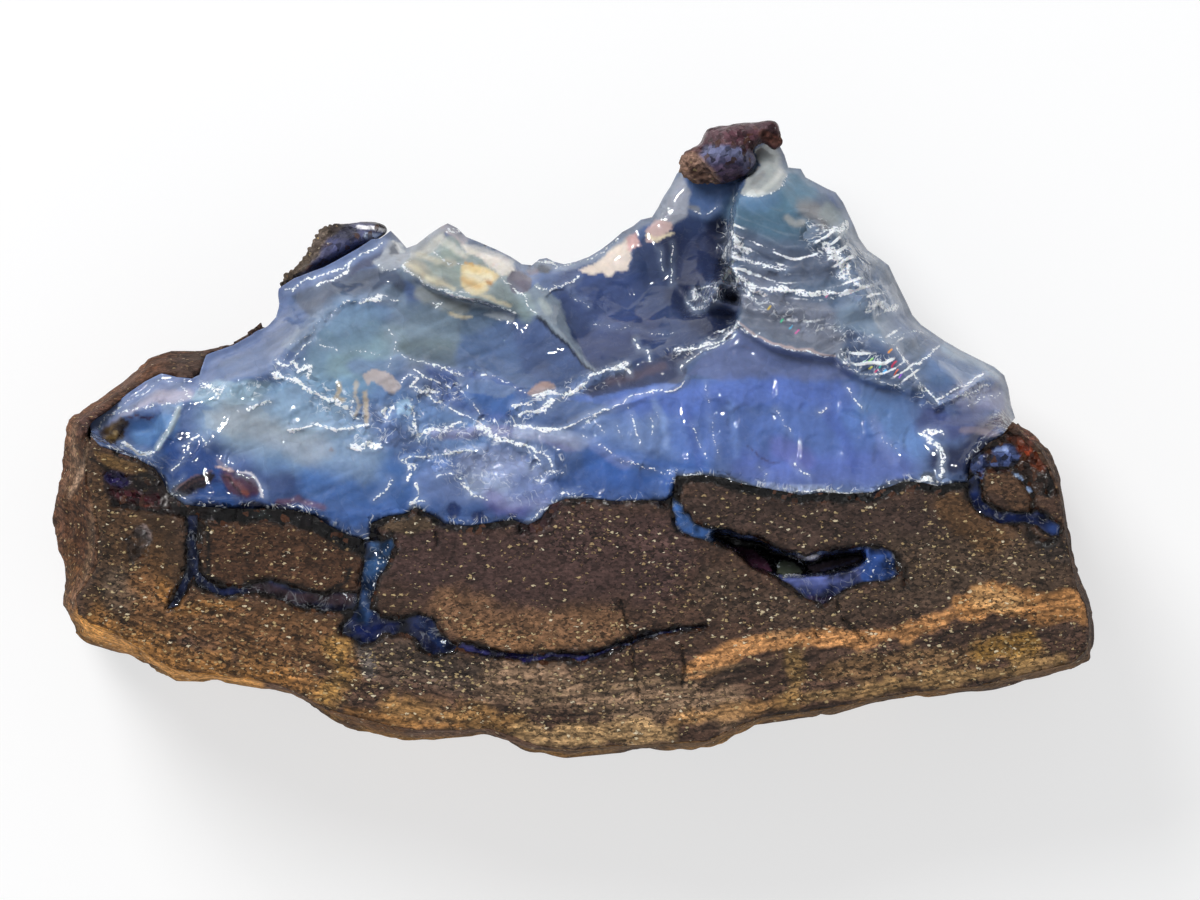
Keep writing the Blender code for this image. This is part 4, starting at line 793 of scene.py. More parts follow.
OPAL_GROUND = "#566A94"
OPAL_COLOURS = [
    # The left wing, from the blue belt under it to its milky crest.
    ("#40598C", [(-31, -4), (-20, -5), (-10, -5), (0, -3.5), (8, -3)], 1.2, 2.2, 0.8),
    ("#40507A", [(-27, -3.4), (-23.5, -3.2), (-20, -4.6)], 0.6, 1.6, 0.8),
    ("#86A0BC", [(-27, 1.6), (-23, 1.2), (-19, 0)], 1.6, 2.4, 0.9),
    ("#93A4B0", [(-27, 2), (-24, 1.6), (-22, 1)], 0.6, 1.6, 0.8),
    ("#6E8FBA", [(-24, -1.2), (-20, -1.6), (-16, -1.8)], 0.6, 1.6, 0.7),
    ("#4F74B0", [(-20, -3.4), (-15, -3.4), (-12, -2.8)], 0.9, 1.8, 0.8),
    ("#3E5E98", [(-19, -5.2), (-15, -5.2), (-12, -4.4)], 0.7, 1.4, 0.7),
    ("#8FA8BA", closed([(-30.4, 3.4), (-29.6, 4.4), (-27.1, 4.9), (-24.2, 4.5), (-25.6, 2.9),
        (-28.7, 2.6)]), 0, 0.3, 0.8),
    ("#7B9FBE", [(-22, 3), (-19, 4.4), (-17, 6)], 1.4, 1.8, 0.8),
    ("#5C6E92", closed([(-29.5, 5), (-27, 7.2), (-24, 9.6), (-23.3, 11.8), (-21, 12.6), (-19, 11.6),
        (-20.4, 9.2), (-20.8, 8.6), (-22.6, 7.7), (-23.4, 6.3), (-24.4, 5.4), (-27, 4.8)]), 0, 0.3, 0.95),
    ("#80879A", closed([(-22.8, 7.6), (-21.4, 9.4), (-20.5, 9.6), (-20.2, 8.9), (-21.2, 8)]), 0, 0.25, 0.7),
    ("#4C566A", closed([(-23.1, 12.2), (-20.7, 12.5), (-18, 13.2), (-15, 14), (-13.6, 13.9),
        (-13.9, 11.4), (-15.7, 11.5), (-18, 11.4), (-20.4, 9.6), (-21.6, 11)]), 0, 0.4, 0.95),
    ("#464C66", closed([(-20.6, 12.8), (-18.4, 13.6), (-17, 14.4), (-15.3, 16), (-15, 15.4),
        (-15.8, 14.4), (-17.8, 13.4), (-19.8, 12.6)]), 0, 0.25, 0.95),
    ("#6A88AA", [(-19.4, 9.2), (-18.2, 10.2), (-16.6, 10.4)], 0.5, 1.6, 0.9),
    ("#728CA0", [(-20, 6.4), (-18.4, 8), (-16.4, 8.4)], 1, 1.8, 0.85),
    ("#7E97A0", [(-18.4, 6), (-16, 6.6), (-14.6, 7.6)], 0.6, 1.4, 0.7),
    ("#7E909C", [(-13.4, 8.6), (-11, 9.2), (-8, 9)], 1, 1.8, 0.85),
    ("#66757A", [(-13.4, 7.2), (-11.6, 7), (-9.6, 6.8)], 0.5, 1.2, 0.7),
    ("#54698F", closed([(-8.6, 9.8), (-4, 9.7), (-1.6, 8.6), (0.4, 6.4), (1, 5.2), (-2.4, 4.4), (-5.6, 5),
        (-8.9, 5.9)]), 0, 1, 0.9),
    ("#44547C", closed([(-4.6, 9.4), (-3, 9.9), (-0.6, 7.7), (1.2, 5.6), (-1, 4.8), (-3.6, 5.4)]),
        0, 1, 0.75),
    ("#475C94", closed([(-11.6, 5.8), (-8.9, 5.5), (-6.7, 4.9), (-3.6, 3.9), (-4.4, 2.2), (-8, 1.6),
        (-10.8, 3)]), 0, 0.4, 0.85),
    ("#3F649E", [(-8, 3.6), (-5.5, 3.2), (-3.6, 2.6)], 0.5, 1, 0.7),
    ("#6F8FBC", [(-14.6, 3.4), (-12, 1.8), (-8, 0.4)], 0.7, 1.4, 0.6),
    ("#8494BE", [(-11, -3.4), (-7, -3.6), (-3.6, -3)], 0.7, 1.4, 0.5),
    ("#9FADCC", [(-7.4, -3.4), (-5.8, -4.2), (-4.6, -4.4)], 0.6, 1, 0.8),
    ("#74869C", [(-15, 11.6), (-14.2, 11.2), (-13.8, 10.2)], 0.5, 0.6, 0.9),
    ("#6A7FA0", [(-17.4, 6), (-15.4, 5.8), (-14, 6.2)], 0.4, 0.6, 0.8),
    ("#5B76BC", closed([(-0.8, 3.3), (1.5, 3.7), (3.2, 4.06), (5.5, 4.5), (7.8, 4.7), (9.1, 4.84),
        (16.5, 4.8), (20, 4.4), (20, 3.4), (9, 3.6), (3, 2.9)]), 0, 0.1, 0.6),
    # Crisp facets between the milky wing and the slate break.
    ("#8FA4BE", closed([(-27, 2.4), (-22.6, 4.4), (-20, 3.2), (-17.6, 2), (-19.6, 1.2), (-23, 1.1)]),
        0, 0.1, 0.5),
    ("#A3B2BE", closed([(-29.6, 2.4), (-27.2, 2), (-25, 2.9), (-24.4, 1.6), (-27, 0.4), (-29.2, 1)]),
        0, 0.12, 0.5),
    ("#5F7FB0", closed([(-20.9, -0.4), (-17.4, 0.4), (-13.8, -0.9), (-15.6, -2), (-19.6, -1.6)]),
        0, 0.15, 0.5),
    ("#75869E", closed([(-23.6, 7.6), (-22, 7), (-20.4, 8.4), (-18.4, 10.4), (-19.2, 10.9), (-21.4, 9.6)]),
        0, 0.08, 0.7),
    ("#748EAA", closed([(-19.9, 9.2), (-17.4, 11), (-14.4, 10.6), (-16.6, 9.4), (-18.8, 8.2)]), 0, 0.15, 0.6),
    ("#66798C", closed([(-14.2, 10.9), (-9, 10.9), (-5.6, 9.9), (-8.4, 8.6), (-12.6, 9.4)]), 0, 0.5, 0.6),
    ("#6D7F9E", closed([(-9.6, 5.3), (-4.4, 4.1), (-5.4, 3.4), (-8.8, 4.1)]), 0, 0.08, 0.6),
    # The crumbs and flakes caught in it.
    ("#B8AEAE", closed([(-16.8, 5.2), (-16.1, 5.7), (-14.7, 5.2), (-13.9, 4.3), (-14.5, 3.6),
        (-15.3, 4.4), (-16.1, 4.7), (-16.5, 4.4)]), 0, 0.14, 0.95),
    ("#B8AE9C", [(-18.75, 4.5), (-18.8, 3.9), (-19.2, 3.3), (-18.5, 3.1)], 0.12, 0.12, 0.95),
    ("#B6B0A8", [(-17.4, 4.6), (-17.5, 3.4), (-17, 2.6), (-17.3, 2)], 0.1, 0.12, 0.9),
    ("#B9AC9A", [(-16.6, 3.6), (-16.5, 2.4), (-16.4, 1.4)], 0.12, 0.12, 0.9),
    ("#A48C86", closed([(-3.5, 3.9), (-3, 4.4), (-2, 4.5), (-1.5, 4.1), (-2.2, 3.8), (-3, 3.7)]),
        0, 0.12, 0.95),
    ("#A4C4E2", closed([(-13.9, 2.9), (-13.3, 3.1), (-12.9, 2.6), (-13.1, 2), (-13.7, 2.1)]), 0.1, 0.2, 0.95),
    ("#3C5480", [(-13.3, 2.6), (-13.3, 2.5)], 0.15, 0.1, 0.9),
    ("#5A1420", [(-19.4, -0.75), (-19.4, -0.85)], 0.13, 0.08, 1),
    ("#1E2B58", [(-9.5, -5.5), (-9.5, -5.6)], 0.5, 0.2, 0.8),
    ("#1E2B58", [(-7.6, -5.9), (-7.6, -6)], 0.3, 0.2, 0.8),
    # The lilac ridge across the middle.
    ("#8688AE", [(-11, 0.6), (-8.5, 0.5), (-7, 0.9), (-5, 0.6), (-2.8, 0.35), (-0.6, -0.4), (1.5, -0.2),
        (2.9, -1.2), (4.4, -1.9)], 0.2, 0.4, 0.75),
    ("#6E62A0", [(-6.4, -5), (-4.2, -5.2), (-2.6, -4.6)], 0.4, 0.9, 0.5),
    ("#9DA9CC", [(-8, -1.6), (-5, -2.2), (-3, -3.4)], 0.5, 1.2, 0.6),
    ("#94A2C8", [(-4.6, -4), (-3, -5), (-2, -4.2)], 0.4, 1, 0.55),
    ("#A3AFCC", [(-4.2, 0.5), (-2.06, 0.34), (-0.6, 0.2), (0.8, -0.2)], 0.25, 0.5, 0.7),
    ("#6688BE", [(23, 2), (25.6, 1.6), (27, 0.2)], 0.9, 1.6, 0.8),
    # The navy hollow between the fan and the dome.
    ("#364468", closed([(-1.4, 12.6), (0.4, 13.7), (3, 13.2), (4.6, 14), (5.6, 16), (7, 17.6), (8.2, 20),
        (9.4, 22), (12.6, 22), (13.1, 18.6), (12.6, 14.4), (13.2, 9.4), (10, 7.2), (4.6, 6), (1.8, 5.5),
        (0.2, 8.2)]), 0, 0.5, 1),
    ("#435484", [(0.8, 12.2), (3.4, 12.4), (3, 9.4)], 1, 2, 0.8),
    ("#303C68", [(1.6, 7.4), (3.6, 7.8), (6, 9)], 0.5, 1.6, 0.6),
    ("#232A44", [(9, 12), (9.6, 10.4), (11.6, 9.4), (12.2, 10.8)], 0.6, 1.4, 0.8),
    ("#10162A", [(11.7, 17.6), (12.1, 14.8), (12.4, 12.2)], 0.5, 0.8, 0.95),
    ("#2C3352", [(8.4, 15.6), (9.6, 13.6), (10.6, 15.4)], 0.8, 1.4, 0.7),
    ("#5C76A6", [(9.4, 20.4), (11, 19.4), (12.2, 20.8)], 0.7, 1.4, 0.9),
    ("#8D8E8C", [(9.6, 18.8), (10.2, 18.6)], 0.1, 0.25, 0.7),
    ("#3A3F58", closed([(0.8, 3.8), (4.4, 5.6), (8.1, 6.9), (10.1, 7.3), (12.9, 9.3), (13.4, 9.2),
        (9.1, 5.9), (8.9, 4.9), (4.9, 4.2), (1.8, 3.6)]), 0, 0.2, 0.9),
    ("#5A4E58", [(3, 4.6), (5.6, 5.4), (7.4, 5.9)], 0.1, 0.5, 0.6),
    ("#A5A9B4", closed([(6.6, 17.9), (7, 19.4), (7.9, 20.4), (8.8, 21.2), (9.4, 20), (9.2, 18.2),
        (8, 17.4)]), 0, 0.3, 0.9),
    # Painted light coming through the thin rim: cream and pale pink patches and a bright cream edge.
    ("#E0D2C6", closed([(0.5, 13.7), (1.95, 14.5), (2.95, 15.5), (4.1, 16.35), (4.4, 16.5), (4.65, 15.8),
        (4.7, 14.8), (4.4, 13.8), (3.4, 13.55), (2.9, 13.1), (2.2, 13.55), (1.5, 13.5)]), 0, 0.1, 1),
    ("#D8B2B0", closed([(4.4, 16.5), (5.1, 16.8), (5.4, 15.8), (4.7, 15.3)]), 0, 0.1, 1),
    ("#D2B6B2", closed([(5.95, 16.9), (6.6, 17.9), (8.1, 17.5), (8, 17.05), (6.95, 16.35), (6, 16.2)]),
        0, 0.12, 0.95),
    ("#EBDDBE", [(5.95, 16.7), (6.6, 16.3), (8.2, 16.7)], 0.06, 0.1, 0.9),
    ("#7A8296", [(-0.6, 14.2), (2.6, 15.4), (4.9, 17.2), (6.4, 18)], 0.12, 0.25, 0.8),
    ("#8996A2", closed([(-4.06, 11.5), (-2.9, 12.5), (-1.2, 11.1), (-0.8, 10.1), (-0.2, 8.3), (1.7, 5.5),
        (0.1, 7.4), (-1.35, 8.6), (-3.05, 10.1)]), 0, 0.2, 0.9),
    ("#A6B0B0", [(-2.7, 11.2), (-2.1, 10.2)], 0.15, 0.25, 0.8),
    ("#1C2334", [(-3, 9.9), (-1.4, 8.5), (-0.6, 7.7), (1.65, 5.3)], 0.06, 0.12, 0.9),
    # The fan, thin enough for amber light to come through. Its amber, cream and white patches are painted
    # light coming through it.
    ("#9FA5AE", closed([(-15.1, 16.2), (-15.4, 15), (-16, 14.4), (-15.3, 13.85), (-13.6, 14),
        (-13.1, 14.7), (-11.4, 15.5), (-10.8, 16.1), (-13.1, 15.6)]), 0, 0.2, 0.95),
    ("#3D4458", closed([(-14.9, 15.6), (-14.4, 15.9), (-14.2, 15.2), (-14.8, 15)]), 0, 0.1, 0.8),
    ("#FFFFFC", closed([(-14.5, 16), (-13.9, 15.9), (-13.7, 15.3), (-14.2, 15.5)]), 0, 0.12, 0.9),
    ("#9CAAAC", closed([(-13.1, 14.7), (-11.4, 15.3), (-9.8, 16.3), (-8.6, 15.9), (-4.6, 13.4),
        (-3.1, 10.2), (-4.8, 10.2), (-7.2, 11.1), (-9.2, 11.5), (-11, 12.1), (-12.4, 13), (-13.6, 13.9)]),
        0, 0.25, 1),
    ("#CCCCC6", closed([(-13.1, 15.6), (-10.3, 17.4), (-10.5, 16.4), (-11.4, 15.2), (-13, 14.8)]),
        0, 0.25, 0.9),
    ("#BDB7A4", [(-12.8, 14.2), (-12, 13.4), (-10.8, 12.6)], 0.35, 0.5, 0.85),
    ("#A8B6AE", [(-10.8, 13.8), (-10, 14.8), (-9.4, 13)], 0.35, 0.8, 0.8),
    ("#F6DCA6", closed([(-8.9, 13.9), (-7.6, 13.9), (-6, 13.3), (-6.9, 12.6), (-8.2, 11.9), (-8.9, 12.4)]),
        0, 0.3, 0.95),
    ("#E4D2A6", [(-8.7, 12.2), (-8, 11.8), (-7.2, 12.2)], 0.1, 0.3, 0.9),
    ("#D6A866", [(-8.6, 14.2), (-8.2, 14.1)], 0.06, 0.16, 0.9),
    ("#B47C34", [(-7, 12.9), (-6.7, 12.6)], 0.08, 0.18, 0.9),
    ("#7D8F92", [(-5.6, 12), (-4.8, 11.2), (-4, 10.6)], 0.5, 0.7, 0.85),
    ("#FFF8EE", closed([(-8.8, 15.8), (-7.6, 15.7), (-6, 15.1), (-4.8, 14.3), (-4.6, 13.5), (-5.6, 13.3),
        (-6.8, 14.7), (-8, 15.1)]), 0, 0.2, 0.95),
    ("#FFF6EC", [(-6.6, 14.6), (-5.6, 13.8)], 0.3, 0.3, 0.8),
    ("#D6C2BE", [(-10.3, 17.3), (-9.4, 16.8), (-8.8, 16.2)], 0.2, 0.3, 0.85),
    # Painted shadow in a band under the fan's lip.
    ("#6C7A8A", [(-13.8, 13.6), (-12.2, 12.3), (-10.6, 11.5), (-8.6, 11), (-6.6, 10.7), (-5, 10.1)],
        0.12, 0.3, 0.85),
    ("#969A96", [(-12.2, 11.7), (-10.4, 10.9), (-9, 10.5)], 0.3, 0.6, 0.75),
    ("#D2C6A8", [(-9.7, 10.05), (-9, 9.9), (-8.3, 10)], 0.05, 0.2, 0.85),
    ("#AEB6BE", closed([(-6.9, 10), (-5.8, 9.6), (-4.9, 9.7), (-4.7, 10.1), (-5.6, 10.2)]), 0, 0.15, 0.8),
    ("#EADFBE", [(-13.2, 14.2), (-11.6, 13), (-9.8, 12.1)], 0.03, 0.3, 0.8),
    ("#E6DEC8", [(-12.6, 15), (-11, 14.4), (-9.6, 14.2)], 0.05, 0.35, 0.7),
    ("#FFF3D2", [(-8.6, 13.4), (-7.6, 13), (-6.8, 13.2)], 0.05, 0.4, 0.8),
    ("#D9A85E", [(-8.9, 12.9), (-8.2, 12.4), (-7.6, 12.4)], 0.03, 0.3, 0.6),
    ("#F4E6C0", [(-8.2, 11.9), (-6.6, 11.4), (-5.2, 10.8)], 0.02, 0.25, 0.7),
    ("#E8E6DC", [(-10.8, 16.2), (-9.6, 15.4), (-8.6, 15)], 0.1, 0.4, 0.7),
    ("#625D6C", [(-4.4, 12.8), (-4.3, 12.7)], 0.75, 0.15, 1),
    ("#464C5A", [(-2.5, 14.1), (-2.4, 14.1)], 0.55, 0.15, 1),
    ("#7E7480", [(-3.4, 13.6), (-3, 13.6)], 0.15, 0.2, 0.8),
    # The dome on the right and its ripples.
    ("#56677F", closed(DOME), 0, 0.4, 1),
    ("#4B6A80", [(14, 18.6), (15.6, 18), (17.4, 18)], 0.9, 1.6, 0.9),
    ("#5F8298", [(17.6, 21.4), (18.6, 20.4), (16.8, 19.6)], 0.6, 1.2, 0.9),
    ("#5E7FA2", [(13.6, 19.4), (14.6, 19), (16, 19.4)], 0.2, 0.8, 0.7),
    ("#84807E", [(18.6, 18.8), (20, 18.2), (20.4, 17.4)], 0.2, 0.8, 0.7),
    ("#B0AAA0", [(17.2, 17.9), (18, 17.5), (18.6, 17.6)], 0.12, 0.3, 0.5),
    ("#8F9A9C", [(20.4, 18.4), (21.4, 17.2)], 0.3, 0.6, 0.7),
    ("#5A6378", [(13.4, 15.8), (15.4, 14.4), (18, 13.8), (20.4, 14)], 0.7, 1.2, 0.75),
    ("#6C7286", [(14.4, 12), (16.4, 10.6), (18.6, 9.6), (20.6, 8.8)], 1, 1.4, 0.8),
    ("#747A8A", closed([(13.6, 10.6), (15, 11.6), (18.6, 11.2), (21.6, 9.6), (21.4, 7.2), (18.4, 7.2),
        (15.4, 8.4), (13.6, 9.6)]), 0, 0.4, 0.7),
    ("#74849E", [(23.6, 12.4), (25, 11), (26.4, 9.4)], 0.8, 1.4, 0.85),
    ("#7F92A8", [(22.4, 9.8), (24, 8.8)], 0.7, 1.2, 0.8),
    ("#4A5A7E", closed([(22.2, 8.6), (24.6, 7.8), (27, 6.4), (28.6, 4.6), (27.6, 4.2), (24, 4.8),
        (22, 6)]), 0, 0.4, 0.7),
    ("#5A6E90", [(26.6, 9.8), (28, 8.6), (30, 7.4), (32.6, 6.2)], 0.4, 0.8, 0.85),
    ("#5C769E", [(28.6, 5.6), (30.4, 5.4), (32, 5.2)], 0.6, 1.2, 0.9),
    ("#98AFC6", [(30, 7.4), (32, 6.5), (34, 5.5)], 0.15, 0.5, 0.8),
    ("#7D7F9C", [(31.6, 3.4), (33.6, 3.4), (34.8, 3)], 0.6, 1, 0.85),
    ("#48507E", [(28.4, 1.4), (30.6, 1.4), (32.6, 1.6)], 0.6, 1, 0.8),
    ("#1C2240", [(29.6, -1.6), (31.4, -1.8), (33, -0.2)], 0.7, 1, 0.9),
    ("#44343E", [(33.4, 1), (34.6, 1.6), (35.4, 1.2)], 0.3, 0.8, 0.9),
    # The dome's pale tip is painted light coming through its thin edge, with a painted bright line along it.
    ("#C2C8C8", closed([(13.5, 20), (15, 19.7), (16.3, 20.2), (17.3, 21.6), (16.9, 22.8), (16.2, 24),
        (14.9, 23.2), (15.4, 22.2), (14.1, 21.3)]), 0, 0.15, 1),
    ("#EEF0EC", [(14.2, 20), (15.4, 20.2), (16.4, 21.2), (17, 22)], 0.05, 0.3, 0.8),
    ("#9A9A9A", [(14.6, 20.9), (15.4, 21.6)], 0.12, 0.25, 0.5),
    # The dark band under the dome and the cornflower belt.
    ("#64709A", closed([(9.4, 5.4), (13.3, 8.9), (15, 8), (18, 6.9), (21, 6.6), (22.4, 5.4), (21, 4.9),
        (16.6, 4.9), (12, 4.9)]), 0, 0.3, 0.9),
    ("#5B74BC", [(4, 2.6), (10, 3.4), (16, 3.9), (22, 3.4)], 0.5, 1.2, 0.8),
    ("#7690C4", [(2, 1), (5, 0.6), (8, 0)], 0.9, 1.4, 0.7),
    ("#5674C0", [(10, 0.6), (16, 0), (22, 0)], 1.6, 1.8, 0.5),
    ("#6070BC", [(14, -2.2), (20, -2.6), (26, -2)], 0.5, 1.6, 0.5),
    ("#6B66A8", [(16.5, -0.6), (18.5, -1.4)], 0.3, 0.9, 0.4),
    # The cup at the left end, with what it holds.
    ("#6A90C0", [(-34.6, 0.6), (-33.4, 0.8), (-32.4, 1.4)], 0.6, 0.7, 0.9),
    ("#8299BA", [(-32.6, 2.6), (-31.6, 3)], 0.3, 0.5, 0.8),
    ("#E6D8AA", [(-35.9, -0.4), (-34.8, -1.15), (-33.7, -0.8)], 0.03, 0.12, 0.95),
    ("#3F3020", closed([(-38, 0.6), (-37.2, 1.6), (-36.2, 1.9), (-35.6, 1.4), (-36, 0.8), (-36.2, 0),
        (-37, -0.2)]), 0, 0.15, 1),
    ("#7A6238", [(-37.4, 0.4), (-36.6, 0.2)], 0.12, 0.2, 0.7),
    ("#4A1A1E", [(-35.8, 1.8), (-35, 2), (-34.2, 1.9), (-33.7, 2)], 0, 0.11, 0.8),
    ("#A09CAE", [(-38.2, 1.1), (-36.6, 2.2), (-34.4, 3.4), (-32.4, 3.6), (-30.8, 3.7)], 0.35, 0.4, 0.9),
    ("#9A96A8", [(-34.8, 4.2), (-33, 4.7), (-31.4, 4.4)], 0.2, 0.4, 0.8),
    ("#182E58", [(-32, -1.6), (-30.4, -2.6), (-29, -1.6)], 0.8, 1.2, 0.9),
    ("#2F5288", [(-33, -0.4), (-31.4, 0), (-30.2, -0.4)], 0.4, 0.8, 0.7),
    ("#182C5E", closed([(-29.9, -3.7), (-28.6, -3.2), (-27.4, -3.9), (-27.6, -4.9), (-29.2, -5.2),
        (-30, -4.6)]), 0, 0.3, 0.95),
    ("#43283A", closed([(-28.5, -2.6), (-27.8, -2.2), (-26.6, -2.5), (-25.4, -3.2), (-24.9, -4),
        (-25.2, -4.7), (-26.2, -4.9), (-27.2, -4.2), (-27.8, -3.4)]), 0, 0.15, 0.95),
    ("#6A4446", [(-27.6, -2.9), (-26.6, -3.6), (-26, -4.4)], 0.1, 0.3, 0.7),
    ("#261A24", closed([(-32.1, -4), (-30.4, -3.2), (-28.9, -2.5), (-28.6, -2.7), (-29.6, -3.8),
        (-31.6, -4.8)]), 0, 0.15, 0.95),
    ("#4A2426", [(-31.4, -3.8), (-30.2, -3.2), (-29.2, -2.8)], 0.03, 0.1, 0.8),
    ("#585E78", [(-28.8, -1.9), (-27.6, -2.2), (-26.8, -2.2)], 0.15, 0.25, 0.7),
    ("#7C4034", [(-26.3, -4.2), (-26, -4.4)], 0.08, 0.15, 0.8),
    ("#241420", [(-28.2, -2.7), (-27.4, -3.1), (-26.7, -3.9), (-26.5, -4.6)], 0.04, 0.12, 0.9),
    ("#2A1822", [(-27.1, -2.6), (-26.2, -3), (-25.5, -3.8)], 0.03, 0.12, 0.8),
    ("#9A8A88", [(-28.4, -1.4), (-28, -1.9), (-27.6, -2.3)], 0.12, 0.15, 0.7),
    ("#A9B8BC", [(-33.2, -0.6), (-32.4, 0.4), (-31.8, 1.6), (-31.6, 2.6)], 0.12, 0.25, 0.85),
    ("#16264C", [(-31.2, 0.4), (-30.8, -0.6), (-31.4, -2.4)], 0.15, 0.5, 0.8),
    ("#5C4A30", [(-37.6, 0.9), (-37, 0.9), (-36.9, 1.4)], 0.06, 0.12, 0.9),
    ("#9A8258", [(-36.7, 0.6), (-36.6, 0.6)], 0.12, 0.1, 0.9),
    ("#1C140E", [(-37.4, 0.2), (-36.6, -0.1), (-36.2, 0.6), (-36, 1.2)], 0.04, 0.12, 0.9),
    ("#8F9CC0", [(15.4, -3.5), (17, -3.9), (18.8, -4), (20, -3.9)], 0.12, 0.25, 0.8),
    ("#8E8490", [(31.2, 0.9), (32.6, 0.7), (34, 0.4)], 0.15, 0.3, 0.6),
    ("#0F1220", [(28.2, -2.9), (28.8, -3.2), (29, -3.6)], 0.25, 0.15, 0.95),
    ("#3A66B4", [(2.4, -1.4), (5, -2.6), (8.6, -3), (10, -2.2)], 0.6, 1.4, 0.5),
    ("#3E5C9C", [(-4, -3.8), (-1, -3.8), (2.4, -3.6), (5.6, -3.8)], 0.5, 1, 0.45),
    ("#455886", [(-31, -2), (-28.6, -0.8), (-26.6, -1.6)], 0.5, 1.4, 0.6),
    ("#4A6494", [(-20, -4.4), (-17, -4.2), (-14, -3.8)], 0.5, 1.2, 0.5),
    ("#8D9EAD", [(-26, 0.6), (-22, -0.2), (-19, -1.2), (-16.6, -1.6)], 0.8, 1.6, 0.5),
    ("#2A3E6C", [(-30.6, -4.7), (-27, -5), (-23, -5.2)], 0.2, 0.6, 0.8),
    ("#6A4450", [(-23.6, -4.9), (-22, -4.7), (-20, -5.3)], 0.08, 0.3, 0.6),
    ("#120E14", [(-26.4, -5.2), (-25, -5.3), (-23, -5.4), (-21, -5.9), (-19.6, -6.5)], 0.1, 0.25, 0.9),
    ("#3A2228", [(14, -0.4), (15, -1.4), (16.4, -1.8)], 0.02, 0.12, 0.5),
    ("#8FA8D8", [(6.6, 3.2), (7.2, 1.4), (7.6, -0.6)], 0.05, 0.4, 0.5),
    ("#7C9AD6", [(12.6, 3), (13, 0.6), (13.2, -1.4)], 0.05, 0.5, 0.4),
    ("#42589C", [(9.2, 2.6), (9.8, 0), (10.2, -2)], 0.1, 0.5, 0.5),
    ("#4A5EA8", [(20.4, 2.4), (21.6, 0.4), (22.4, -1.8)], 0.2, 0.7, 0.5),
    ("#7A8CC8", [(24.2, 1.8), (24.6, 0), (25.6, -1.6)], 0.2, 0.6, 0.5),
    # A grey veil over the milky wing.
    ("#A2A8B2", [(-27.8, 2), (-24.4, 0.8), (-20.4, -1)], 0.4, 1.3, 0.5),
    # The dark sliver, the red bud and the blue glass at the left end.
    ("#22407A", closed([(-32.4, -0.6), (-30.6, -0.4), (-29, -1.2), (-28.4, -2.6), (-30.8, -3.2),
        (-32.2, -2.6)]), 0, 0.7, 0.7),
    ("#28487E", closed([(-30, -4.7), (-29.2, -3.7), (-28.2, -3.6), (-27.2, -5)]), 0, 0.25, 0.8),
    ("#16121A", closed([(-32, -4.5), (-30.6, -3.4), (-29, -2.6), (-28.8, -2.9), (-29.6, -3.9),
        (-30.8, -4.7)]), 0, 0.1, 0.95),
    ("#6E5450", [(-31.8, -4.1), (-30.4, -3.2), (-28.9, -2.4)], 0.02, 0.1, 0.7),
    ("#4A3432", [(-31.2, -4.2), (-30.2, -3.6), (-29.4, -3.1)], 0.03, 0.1, 0.6),
    ("#E2DCE0", [(-26.6, -2.5), (-25.6, -2.8), (-24.9, -3.6), (-24.7, -4.6)], 0.03, 0.1, 0.8),
    ("#D8B8A8", [(-28.4, -2), (-27.8, -2.3), (-27.2, -2.4)], 0.05, 0.12, 0.7),
    ("#C9B0A8", [(13.3, 9.4), (14.5, 8.5), (16, 7.75), (18, 7.2), (20, 6.95), (21, 6.85)], 0.04, 0.12, 0.8),
    # Thin edges: pale along the rim, partly as painted light coming through it, and dark where it dips into
    # the crack walls.
    ("#98A2B2", OPAL_RIM, 0.3, 0.35, 0.6),
    ("#66769C", OPAL_LEFT + OPAL_SHOULDER, 0.5, 0.5, 0.9),
    ("#14182A", OPAL_CONTACT, 0.06, 0.22, 0.9),
]
